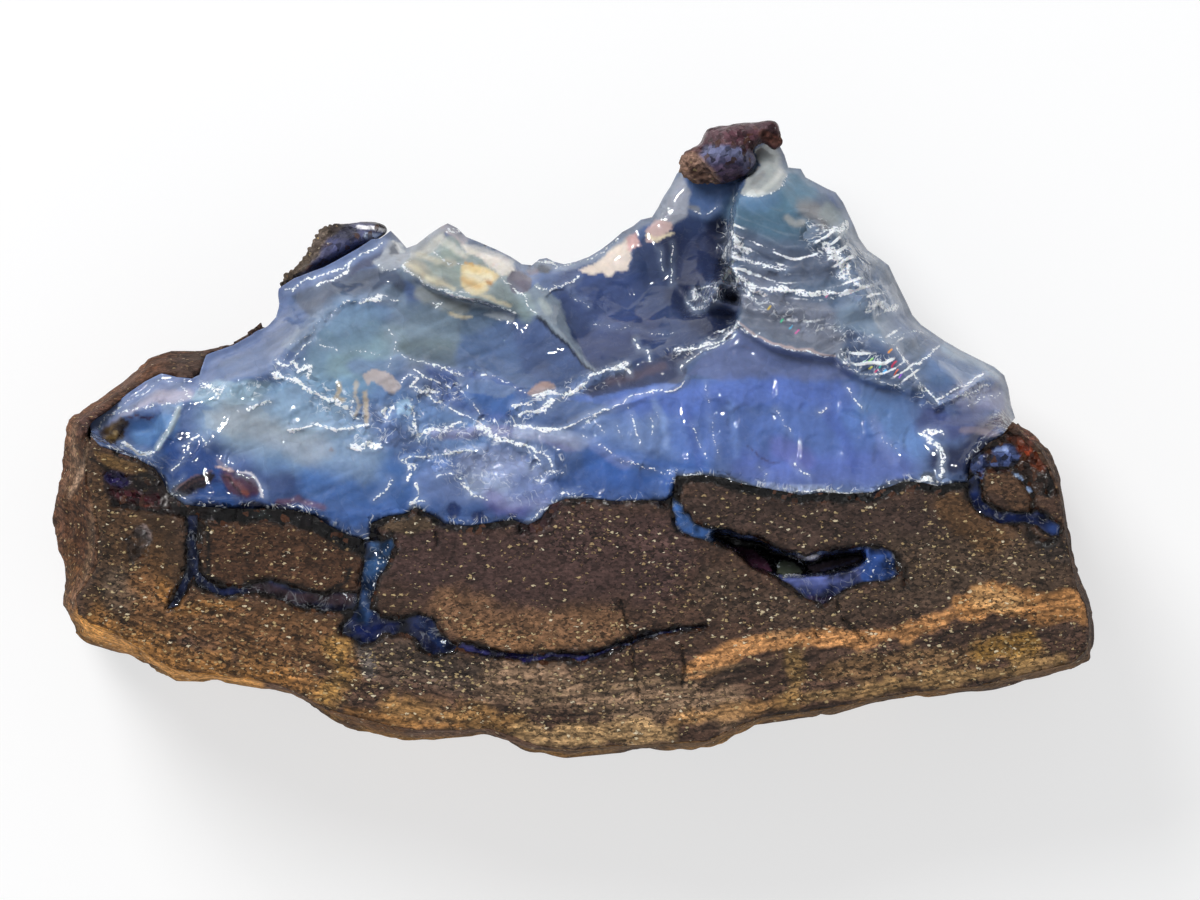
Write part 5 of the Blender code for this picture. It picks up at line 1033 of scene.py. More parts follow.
# White bruising along broken edges, with painted glints of light along them, as strokes without a colour.
BRUISES_AND_GLINTS = [
    ([(-22.7, 0.95), (-21.4, 1.05), (-20, 0.9), (-18.6, 0.95), (-17.2, 1), (-16.3, 1.15)], 0.07, 0.14, 1),
    ([(-17.9, -0.4), (-17.2, -0.7), (-16.4, -0.5), (-15.2, -0.6)], 0.16, 0.14, 1),
    ([(-23.85, 5.5), (-22.3, 4.6), (-20.9, 3.95), (-19.8, 3.3), (-18.2, 2.55)], 0.07, 0.2, 0.95),
    ([(-29.8, 4.4), (-28.9, 3.9), (-28.2, 4.1), (-28.6, 3.3)], 0.08, 0.25, 0.8),
    ([(-24.4, 3.2), (-25.2, 2.9), (-25.8, 2.4)], 0.07, 0.15, 0.9),
    ([(-24, 6.6), (-23, 5.9), (-22.4, 6.4), (-22.2, 5.4), (-21.2, 5.9), (-21.3, 5)], 0.05, 0.16, 0.9),
    ([(-22.3, 6.6), (-21.7, 7.3), (-20.8, 8)], 0, 0.14, 0.8),
    ([(-23.4, 6.3), (-22.6, 7.7), (-20.7, 8.6), (-20.4, 9.2), (-18.7, 10.5), (-17.9, 11.3)], 0, 0.13, 0.55),
    ([(-18.2, 11.1), (-17, 11.3), (-15.8, 11.5), (-14.8, 11.3), (-14, 11.1)], 0, 0.12, 0.8),
    ([(-17, 11.2), (-16.2, 11.4), (-15.6, 11.3)], 0.15, 0.15, 0.9),
    ([(-14.3, 8), (-14.6, 7.2), (-14.8, 5.9)], 0, 0.11, 0.9),
    ([(-15.1, 9.1), (-14.4, 8.2)], 0, 0.1, 0.7),
    ([(-14.4, 7.2), (-13.6, 6.5), (-11.8, 6.1), (-10.8, 5.6)], 0, 0.12, 0.8),
    ([(-20.6, 7.5), (-16.7, 7.2), (-14.5, 6.75), (-11.7, 6.05), (-8.9, 5.65), (-6.7, 5), (-3.6, 3.95)],
        0, 0.09, 0.5),
    ([(-11.8, 6.1), (-11.4, 6), (-9.4, 5.5), (-9, 5.3)], 0.03, 0.12, 0.9),
    ([(-7.2, 5.1), (-6.8, 5)], 0.05, 0.12, 1),
    ([(-13.9, 4.6), (-13.3, 5.2), (-12.6, 4.8), (-13, 4.2), (-12.2, 4)], 0.04, 0.15, 1),
    ([(-12.8, 5.6), (-12, 4.9), (-11, 4.6), (-10, 4.2), (-9.4, 4.6)], 0, 0.13, 0.9),
    ([(-12.6, 4), (-11.8, 3.8), (-10.9, 3.9)], 0.08, 0.15, 0.9),
    ([(-11.7, 3.8), (-10.9, 3.1), (-10, 2.5), (-8.3, 1.8), (-7.2, 1.2)], 0.02, 0.13, 0.95),
    ([(-9.1, 4.3), (-8.4, 3.6), (-7.8, 2.6), (-7.4, 1.8)], 0, 0.11, 0.8),
    ([(-10.7, 3.4), (-9.9, 3.9), (-9.3, 3.2), (-10, 3.1)], 0, 0.12, 0.7),
    ([(-15.4, 2.2), (-15, 1.6), (-14.6, 2.4), (-14.2, 2.3)], 0.06, 0.14, 0.9),
    ([(-17.6, 3), (-17.8, 2.4), (-17.4, 1.8), (-16.9, 1.7)], 0.03, 0.13, 0.8),
    ([(-12.9, 2.8), (-12.5, 2), (-12.6, 1), (-12.2, 0.2)], 0.03, 0.14, 0.8),
    ([(-12.4, 0.4), (-11.4, 1), (-10.4, 0.8), (-9, 1.4)], 0.03, 0.15, 0.9),
    ([(-13.7, -1.7), (-13, -1.3), (-12, -1.45), (-10.6, -1.05), (-9, -0.85), (-7.5, -0.9)], 0.03, 0.14, 1),
    ([(-13.6, -1.7), (-13.2, -2.3), (-12.4, -2.2), (-13.3, -3)], 0.06, 0.15, 0.8),
    ([(-12.5, -3.6), (-12.2, -4.6), (-12.8, -5.2), (-11.8, -5.1)], 0.06, 0.13, 0.9),
    ([(-10.8, -3), (-9.8, -2.7), (-8.8, -3.1), (-8.2, -4)], 0, 0.14, 0.7),
    ([(-8.8, -3.6), (-7.8, -4.3), (-7, -5)], 0.03, 0.15, 0.7),
    ([(-7.6, 1.1), (-6.8, 0.9), (-6, 0.1), (-4.8, -0.1), (-4, -0.5)], 0.08, 0.2, 0.95),
    ([(-4.6, 1), (-3.8, 0.85), (-3, 0.95), (-2, 0.85), (-1, 0.8)], 0.08, 0.13, 1),
    ([(-4.4, 1.8), (-3.8, 2.3), (-3, 2.2), (-2.2, 2.6), (-1.7, 3)], 0.14, 0.16, 1),
    ([(-4.6, 2.8), (-3.9, 3.1), (-3.4, 2.9)], 0.1, 0.14, 0.9),
    ([(-3, 3.7), (-2.2, 3.5), (-1.6, 3.7), (-1, 3.4)], 0.08, 0.14, 1),
    ([(-4.4, -0.3), (-3, -0.6), (-2.1, -1.3), (-1.9, -2)], 0.05, 0.18, 0.9),
    ([(-3, -1), (-2.8, -1.7), (-3.4, -2)], 0.02, 0.16, 0.8),
    ([(-3.2, -3.2), (-2.4, -2.6), (-1.6, -2.4), (-0.8, -2.6)], 0.05, 0.2, 0.6),
    ([(-0.8, 3.6), (0.5, 4.2), (1.5, 5.05), (2.4, 5.4), (3.4, 5.7), (4.4, 6)], 0.07, 0.16, 1),
    ([(3.2, 5.5), (4.2, 5.7), (4.4, 5.4)], 0.1, 0.12, 1),
    ([(5.35, 7.5), (5.4, 7.4)], 0.14, 0.08, 1),
    ([(5.3, 7.95), (5.3, 7.9)], 0.05, 0.08, 1),
    ([(6.1, 7.2), (6.2, 6.9), (6.15, 6.5)], 0.04, 0.1, 1),
    ([(8.4, 7.05), (9.4, 7.1), (10.1, 7.35), (11.4, 7.9), (12.4, 8.7), (13.2, 9.3)], 0.04, 0.13, 1),
    ([(10.3, 7.5), (10.9, 7.9)], 0.12, 0.14, 1),
    ([(8.8, 5.85), (10.8, 7.05), (12, 7.9), (13.1, 8.6)], 0, 0.12, 0.95),
    ([(-0.9, 0.9), (1.5, 2.05), (2.95, 2.5), (4.65, 3.35), (6.4, 3.8), (8.1, 4.2), (9.1, 4.8)], 0, 0.12, 1),
    ([(0.9, 1.1), (1.4, 1.8), (1.8, 2)], 0.04, 0.14, 0.8),
    ([(4.4, 3.1), (4.7, 2.4), (4.95, 1.5), (5.2, -0.4)], 0, 0.13, 0.7),
    ([(6.1, 1.9), (6.3, 1.2), (6.5, 0.6)], 0, 0.12, 0.7),
    ([(6.7, 2.4), (6.6, 1.2)], 0, 0.11, 0.6),
    ([(3.4, 1.4), (3.8, 0.4)], 0, 0.12, 0.5),
    ([(10.65, 4.6), (11.2, 2.05), (11.8, -1.5)], 0, 0.11, 0.55),
    ([(9.8, 1.4), (10.8, -1.5)], 0, 0.11, 0.5),
    ([(1.1, 2.1), (1.8, 1.2), (2.4, 0.6)], 0, 0.13, 0.6),
    ([(1, 0.2), (2.4, -0.6), (4, -1.6), (6, -2.4), (8, -2.7)], 0, 0.2, 0.6),
    ([(9.7, 12.2), (10.9, 12.4), (11.9, 12.2), (11.65, 11.2), (10.5, 10.6), (9.65, 10.55), (9.2, 11.05),
        (9.6, 11.8)], 0, 0.13, 0.9),
    ([(10, 11.8), (10.6, 11.2), (10.3, 10.9), (11, 11.6), (11.4, 11.9)], 0, 0.1, 0.7),
    ([(9.4, 11.2), (9.7, 12.1)], 0.07, 0.12, 1),
    ([(9.6, 10.6), (10.4, 10.7)], 0.06, 0.12, 0.9),
    ([(12.3, 12.9), (12.6, 13.6), (12.9, 14)], 0.1, 0.14, 0.9),
    ([(12.4, 14.2), (12.5, 15.4), (12.8, 16.4)], 0.03, 0.14, 0.7),
    ([(6.9, 15.5), (7.2, 14.5), (7.5, 13.6)], 0.03, 0.12, 0.8),
    ([(8.15, 15.9), (8.2, 14.3), (8.15, 12.5)], 0, 0.11, 0.85),
    ([(-0.1, 12.2), (0.4, 11.6), (0.9, 11.3), (1.2, 10.9)], 0, 0.14, 0.7),
    ([(1.4, 9.35), (3.4, 9.1), (5.6, 8.8), (8, 8.5)], 0, 0.12, 0.35),
    ([(9.8, 18.4), (11, 18.2), (12, 18.9)], 0, 0.12, 0.7),
    ([(13.2, 20.4), (12.95, 18), (12.8, 15.8), (12.9, 14.2)], 0, 0.1, 0.6),
    ([(15.2, 8.6), (14.4, 8.4), (13.4, 9)], 0, 0.12, 0.5),
    ([(13.3, 9.3), (14.5, 8.4), (16, 7.6), (18, 7.1), (20, 6.8), (21, 6.9)], 0, 0.1, 0.8),
    ([(12.9, 16.8), (13.4, 16), (14.2, 15.3)], 0.12, 0.2, 1),
    ([(20.4, 15.6), (21.2, 14.8), (22, 14)], 0.25, 0.35, 1),
    ([(20.6, 17), (21.4, 17.2), (21.9, 17.6)], 0.1, 0.2, 0.9),
    ([(21.4, 13.2), (22.2, 13.6), (22.4, 12.8)], 0.12, 0.25, 0.9),
    ([(23.6, 10.4), (24.4, 11), (25.2, 10.6), (26, 10.8)], 0.14, 0.22, 0.9),
    ([(21.7, 6.4), (23.2, 5.2), (24.8, 4.7), (26.4, 4.5)], 0, 0.12, 0.9),
    ([(21.5, 7.4), (22, 6.4)], 0.05, 0.2, 0.6),
    ([(25, 8), (25.9, 7.6), (26.6, 6.2), (27.6, 5), (28.8, 3.4), (29.3, 2.8)], 0, 0.13, 0.9),
    ([(29.2, 2.9), (30.2, 3.5), (31.4, 4.2), (33, 5.2)], 0.02, 0.14, 0.9),
    ([(30.8, 3.2), (32, 3.8), (33.4, 4.6)], 0.02, 0.13, 0.8),
    ([(31.6, 2.7), (32.8, 3.4), (34.4, 4)], 0, 0.12, 0.6),
    ([(27.4, 5.9), (28.8, 6.6), (29.4, 7.6)], 0.02, 0.13, 0.8),
    ([(22.8, 7.8), (25.4, 8.4), (28.6, 9)], 0, 0.1, 0.5),
    ([(28.6, 0.1), (29.4, -0.5), (29.75, -1.4), (29.5, -2.2), (29.4, -2.9)], 0.12, 0.14, 0.9),
    ([(28.2, -3.1), (28.5, -3.3)], 0.18, 0.12, 1),
    ([(28, 0.7), (29.3, 0.8), (29.7, 0.6)], 0.05, 0.14, 0.9),
    ([(22, 4.4), (22.6, 3.6), (23.4, 2.6)], 0, 0.12, 0.8),
    ([(19.8, 2.2), (20.4, 2.6)], 0.02, 0.12, 0.8),
    ([(16.2, 2.4), (16.8, 1.2), (17.4, 0.4)], 0, 0.12, 0.5),
    ([(17.6, -1.6), (18.1, -2.4), (18.7, -3)], 0.03, 0.14, 0.8),
    ([(14.9, -2.1), (15.6, -2.5), (15.4, -3.1), (14.8, -3.2)], 0, 0.13, 0.7),
    ([(24.4, 2), (24.2, 1), (24.8, 0), (26, -0.6)], 0, 0.16, 0.4),
    ([(8.8, -2.8), (11, -3), (14, -3.7), (17, -4.2), (20, -4.1), (23, -4.2)], 0, 0.18, 1),
    ([(23, -4.2), (25, -3.9), (27.6, -3.4), (30, -3.4)], 0, 0.14, 0.7),
    ([(-3.4, -6.4), (-2.4, -5.4), (-1.6, -5.2), (-0.8, -4.2), (0.4, -4.4)], 0.03, 0.18, 0.7),
    ([(-14.6, -3.2), (-15.2, -4.3), (-15.8, -4.7)], 0.05, 0.14, 0.8),
    ([(-31.6, 2.9), (-32.1, 1.4), (-32.6, 0.3), (-33.3, -0.8), (-34.5, -1.05)], 0, 0.12, 0.8),
    ([(-36.2, -0.3), (-35, -0.9), (-33.8, -0.75)], 0.06, 0.12, 1),
    ([(-38.2, 1), (-36.4, 2.4), (-34.4, 3.8), (-33, 4.9), (-31.6, 4.4), (-30.5, 3.5)], 0, 0.12, 0.7),
    ([(-37.6, 1.6), (-35.6, 2.4), (-33, 3), (-31, 3.4)], 0, 0.14, 0.6),
    ([(-31.3, -0.6), (-30.7, -0.2), (-30.9, -1.2), (-31.5, -2), (-32.2, -2.4)], 0.02, 0.14, 0.8),
    ([(-30.6, 0.2), (-29.6, 0.3), (-29.2, -0.3)], 0.06, 0.18, 0.8),
    ([(-26.6, -2.7), (-25.4, -3.2), (-24.7, -3.8), (-24.6, -4.5)], 0, 0.12, 0.9),
    ([(-32.5, -4.3), (-31.4, -4.6), (-30.6, -5)], 0, 0.1, 0.8),
    ([(-32.5, -4.3), (-31.8, -3.8), (-31, -3)], 0, 0.1, 0.7),
    ([(28.3, 0.5), (29, -0.2), (29.3, -0.9), (29.5, -2), (29.5, -3)], 0.06, 0.12, 1),
    ([(13.2, 15.2), (14.4, 14.4), (15.6, 13.9), (17, 13.6)], 0.06, 0.2, 0.8),
    ([(13.2, 13.6), (14, 12.8), (14.4, 12.2), (15.4, 11.8)], 0.1, 0.22, 0.9),
    ([(13.6, 12.2), (14.6, 11.2), (15.2, 10.6)], 0.02, 0.2, 0.7),
    ([(21.8, 13.2), (23, 12.2), (24, 12.4)], 0.1, 0.2, 0.8),
    ([(16, 12.3), (18.6, 11.9), (21, 11.7), (22.4, 11.9)], 0.1, 0.22, 0.9),
    ([(-15.4, 2.2), (-15.1, 2.4)], 0.12, 0.12, 1),
    ([(-27.8, -2), (-27.4, -1.4), (-27, -1.8)], 0.02, 0.14, 0.6),
    ([(-15.6, 14.2), (-14.6, 13.8), (-13.6, 14), (-13, 14.7)], 0, 0.14, 0.6),
    ([(-13.5, 14.1), (-12.5, 13), (-11.1, 12), (-9.2, 11.4), (-7.4, 11.1), (-5.8, 10.6), (-4.7, 10.2)],
        0.02, 0.12, 0.9),
    ([(-11.4, 15.1), (-10.4, 14.3), (-8.8, 14.1)], 0, 0.12, 0.7),
    ([(-11.4, 12.2), (-9.6, 11.7), (-8.4, 11.9)], 0, 0.14, 0.6),
    ([(-5.6, 13), (-4.6, 12), (-3.9, 11.3), (-3.1, 10.2)], 0.02, 0.12, 0.9),
    ([(-11, 10.9), (-10.5, 10.8), (-10.9, 10.4)], 0.04, 0.12, 1),
    ([(-9.9, 16.9), (-9, 16.8)], 0.1, 0.2, 0.7),
    ([(-3.2, 12.4), (-2, 11.9), (-0.9, 12.4), (0.4, 13.2)], 0.02, 0.2, 0.7),
    ([(-3, 14.6), (-1.6, 14.4), (-1.3, 14)], 0.05, 0.14, 0.9),
    ([(-1, 14), (0.6, 14.6), (2.4, 15.4), (3.8, 16.6)], 0, 0.12, 0.6),
    ([(13.6, 19.9), (15, 19.6), (16.4, 20.2), (17.4, 21.6)], 0, 0.12, 0.7),
    ([(-23.1, 12), (-21.3, 13.1), (-18.9, 13.8), (-17.6, 14.6), (-15.4, 16)], 0, 0.14, 0.9),
    ([(-20.7, 12.5), (-19.3, 13), (-18.4, 13.4), (-17.9, 14.2)], 0.03, 0.14, 1),
]
# Small chips that flash with spectral colour, painted as coloured glints: (colour, place).
PLAY_OF_COLOUR = [
    ("#F25C8C", (24.5, 5.5)), ("#3CE69A", (23.5, 6.3)), ("#9CF03C", (24.0, 6.5)), ("#FFA832", (25.5, 7.1)),
    ("#F23C60", (25.8, 6.1)), ("#46BEFF", (25.1, 5.5)), ("#F4EC60", (24.1, 5.8)), ("#FF7A3A", (26.0, 5.5)),
    ("#5AF0E0", (24.8, 6.0)), ("#B060F0", (26.4, 5.2)), ("#48E6A4", (16.9, 9.5)), ("#E066AA", (18.2, 8.6)),
    ("#5EC4F4", (17.6, 9.0)), ("#F0D050", (15.8, 10.6)), ("#F08CB4", (20.4, 11.6)),
]
SPARKS = [
    (colour, [(x - 0.12, y - 0.14), (x + 0.12, y + 0.14)], 0.02, 0.08, 1)
    for colour, (x, y) in PLAY_OF_COLOUR
]
# Bruising also fogs the stone on either side of it, and beside the painted glints the fog is a painted glow.
BRUISE_HAZE_AND_GLOW = [
    ("#A9BAD4", path, radius + 0.05, soft + 0.4, 0.2 * strength)
    for path, radius, soft, strength in BRUISES_AND_GLINTS
]
# Shattered ground, as strokes without a colour.
SHATTERED = [
    ([(-20, 3.4), (-16.5, 1.6), (-13, 2.6), (-10, 4.2)], 0.6, 1, 0.55),
    ([(-17, 0.6), (-13, 0.6), (-9, 0.6), (-5, 0.9)], 0.4, 0.9, 0.6),
    ([(-13, -1.6), (-9, -1.3), (-5, -1), (-1.5, -2)], 0.5, 0.9, 0.6),
    ([(-9, -3), (-5, -3.6), (-2, -4.4)], 0.5, 1, 0.35),
    ([(-4.6, 1.8), (-2.5, 3.2), (1, 4.5), (4.3, 5.8)], 0.3, 0.6, 0.9),
    ([(-29.5, 4.2), (-26, 4), (-24, 4.6)], 0.3, 0.6, 0.5),
    ([(-23.5, 6), (-21, 5)], 0.3, 0.6, 0.5),
    ([(8, 7), (10.5, 7.5), (13, 9.2)], 0.2, 0.5, 0.9),
    ([(12.6, 16.8), (12.6, 14.2), (12.8, 12.4), (10, 11.6)], 0.4, 0.6, 0.9),
    ([(13, 16), (13.4, 13.6), (14.4, 12)], 0.3, 0.6, 0.8),
    ([(14.4, 11.4), (17, 10.4), (20, 9.2), (23, 8)], 0.4, 0.8, 0.55),
    ([(19.5, 16.4), (21, 15.4), (22.4, 14), (24, 11.4)], 0.8, 0.8, 0.85),
    ([(22, 6.6), (25, 5.9)], 0.6, 0.5, 0.8),
    ([(25, 5.4), (29, 3), (33, 4.4)], 0.3, 0.6, 0.7),
    ([(34, 1.8), (35.4, 0.6)], 0.3, 0.5, 0.5),
    (OPAL_CONTACT, 0.2, 0.5, 0.7),
]
# Where the dome's ripples flash, as strokes without a colour: painted highlights mixed into its colour.
DOME_GLINTS = [
    ([(13, 16.8), (14.6, 15.6), (17, 14.9), (19.4, 14.8)], 0.2, 0.35, 1),
    ([(13.2, 15.2), (14.6, 14.2), (16.8, 13.5)], 0.35, 0.4, 1),
    ([(13, 16.6), (13.6, 14.4), (13.8, 12.4)], 0.4, 0.7, 0.8),
    ([(13.6, 13), (16.6, 12.2), (20, 11.6), (22.8, 11.8)], 0.3, 0.4, 1),
    ([(20.2, 16.4), (21.8, 14.2)], 0.6, 0.5, 1),
    ([(22.6, 12.8), (24.6, 10.8)], 0.5, 0.6, 0.9),
    ([(15, 10.6), (18, 9.6), (20.6, 9)], 0.1, 0.6, 0.35),
    ([(24.6, 8.6), (26.6, 8.4)], 0.2, 0.5, 0.5),
    ([(23, 6.6), (25, 6), (27, 5.4)], 0.5, 0.5, 0.9),
]
# Where light goes far into the opal: the fan and the flake on the peak.
CLEAR = [
    (closed([(-13.4, 13.8), (-12.4, 15.6), (-10.1, 17.3), (-5, 14.6), (-4.8, 10.4), (-9, 11.5)]),
        0, 0.8, 0.35),
    (closed([(13.5, 20), (16.3, 20.2), (17.3, 21.6), (16.2, 24), (14.1, 21.3)]), 0, 0.5, 0.3),
]


def streaks(plan):
    """Brightness of the brushed look inside the stone: slanting on the left, upright on the right."""
    x, y = plan.T
    slant = np.column_stack([(x + 0.45 * y) / 5.0, (y - 0.45 * x) / 0.55])
    upright = np.column_stack([(x - 0.12 * y) / 0.45, y / 4.0])
    right = smooth_step((x - 3) / 4)
    left_part = 0.16 * rough(slant, 1.0, 121, 3)
    right_part = 0.12 * rough(upright, 1.0, 131, 3) * smooth_step((6 - y) / 3)
    return np.clip(1 + left_part * (1 - right) + right_part * right, 0.6, 1.4)


COVERED = 0.6  # how near the ironstone arm the opal's edge changes
UNDERCUT = 0.35  # how far the opal reaches under the arm
SET_BACK = 0.6  # how far its hidden wall stands back half way down


def tucked(border):
    """(the opal's outline, how far its wall stands back), changed where the ironstone arm covers them."""
    along = np.roll(border, -3, axis=0) - np.roll(border, 3, axis=0)
    out = np.column_stack([along[:, 1], -along[:, 0]]) / np.hypot(*along.T)[:, None]
    under = UNDERCUT * falloff(border, OPAL_LEFT[1:] + OPAL_SHOULDER[:-1], COVERED)
    under *= smooth_step(np.hypot(*(border - OPAL_LEFT[-1]).T) / 1.5 - 0.5)
    back = SET_BACK * falloff(border, OPAL_LEFT + OPAL_SHOULDER[:4], COVERED)
    return border + out * under[:, None], -out * back[:, None]


RIM_WIDTH = 1.6  # how wide the thin rim is


def thinning(plan, front_map, back_map):
    """How much the opal thins towards its free rim, most of all where it is thin already."""
    thick = np.clip(front_map.at(plan) - back_map.at(plan), 1.0, 20)
    return thick * falloff(plan, OPAL_RIM, RIM_WIDTH) ** 2 * np.exp(-thick / 8)


EDGE_STEP, FRONT_STEP, FINE_STEP, BACK_STEP = 0.14, 0.19, 0.085, 0.8  # spacing of the opal's points
WALL_ROWS = 9
THINNEST = 0.35
CONTACT_LEVEL = 23.4  # the height of the opal where it meets the sawn face
CONTACT_WIDTH = 0.8


def make_opal(finish):
    """The seam: a finely broken front, a plainer back, and a wall of quads between their outlines."""
    border, inwards = tucked(resampled(OPAL_OUTLINE, EDGE_STEP, closed=True)[::-1])
    fine_along = [path for path, *_ in BRUISES_AND_GLINTS] + [path for _, path, *_ in SPARKS]
    front, front_faces = filled(border, FRONT_STEP, (), FINE_STEP, fine_along)
    back, back_faces = filled(border, BACK_STEP)
    front_map = HeightMap("opal_seam", True)
    back_map = HeightMap("opal_seam", False, cell=0.4, passes=2, cliff=2.0)
    # White bruising and painted glints, also raised a little into the front's relief.
    bruise_and_glint = marked(warped(front), BRUISES_AND_GLINTS, waver=0.4, seed=15)
    top = opal_relief(front, front_map.at(front)) + 0.05 * bruise_and_glint
    contact = falloff(front, OPAL_CONTACT, CONTACT_WIDTH)
    top = top * (1 - contact) + CONTACT_LEVEL * contact
    top -= 0.42 * thinning(front, front_map, back_map)
    low = back_map.at(back) + 0.15 * rough(back, 4.0, 71) + 0.3 * thinning(back, front_map, back_map)
    count = len(border)
    top[:count] = np.maximum(top[:count], low[:count] + THINNEST)
    wall = []
    for share in np.arange(1, WALL_ROWS) / WALL_ROWS:
        level = top[:count] * (1 - share) + low[:count] * share
        wall.append(np.column_stack([border + inwards * np.sin(np.pi * share), level]))
    points = np.concatenate([np.column_stack([front, top]), np.column_stack([back, low]), *wall])
    start = len(front) + len(back)
    rings = [np.arange(count), *(start + row * count + np.arange(count) for row in range(WALL_ROWS - 1))]
    rings.append(len(front) + np.arange(count))
    faces = front_faces.tolist() + (back_faces[:, ::-1] + len(front)).tolist()
    for upper, lower in zip(rings, rings[1:]):
        faces += np.stack([upper, lower, np.roll(lower, -1), np.roll(upper, -1)], axis=1).tolist()
    plan = points[:, :2]
    reach, dome_glint_weight = dome_rings(plan)
    colours = painted(warped(plan, 0.7), OPAL_GROUND, OPAL_COLOURS + BRUISE_HAZE_AND_GLOW + SPARKS, waver=0.25)
    clear = 0.04 + 0.3 * falloff(plan, OPAL_RIM, 1.4) ** 1.5
    marks = {
        "tint": colours * streaks(plan)[:, None],
        "bruise_and_glint": np.concatenate([bruise_and_glint, np.zeros(len(points) - len(front))]),
        "hackle": 0.02 + marked(plan, SHATTERED, seed=25),
        "clear": np.maximum(clear, marked(plan, CLEAR)),
        "ring": reach,
        # Painted highlights on the dome's ripples, on its front only.
        "dome_glint_weight": np.where(points[:, 2] > 10, dome_glint_weight * (0.02 + marked(plan, DOME_GLINTS)), 0),
    }
    mesh_piece("opal_seam_broken", points, faces, ["opal_seam"], finish, marks)


# ---------------------------------------------------------------- the sawn face

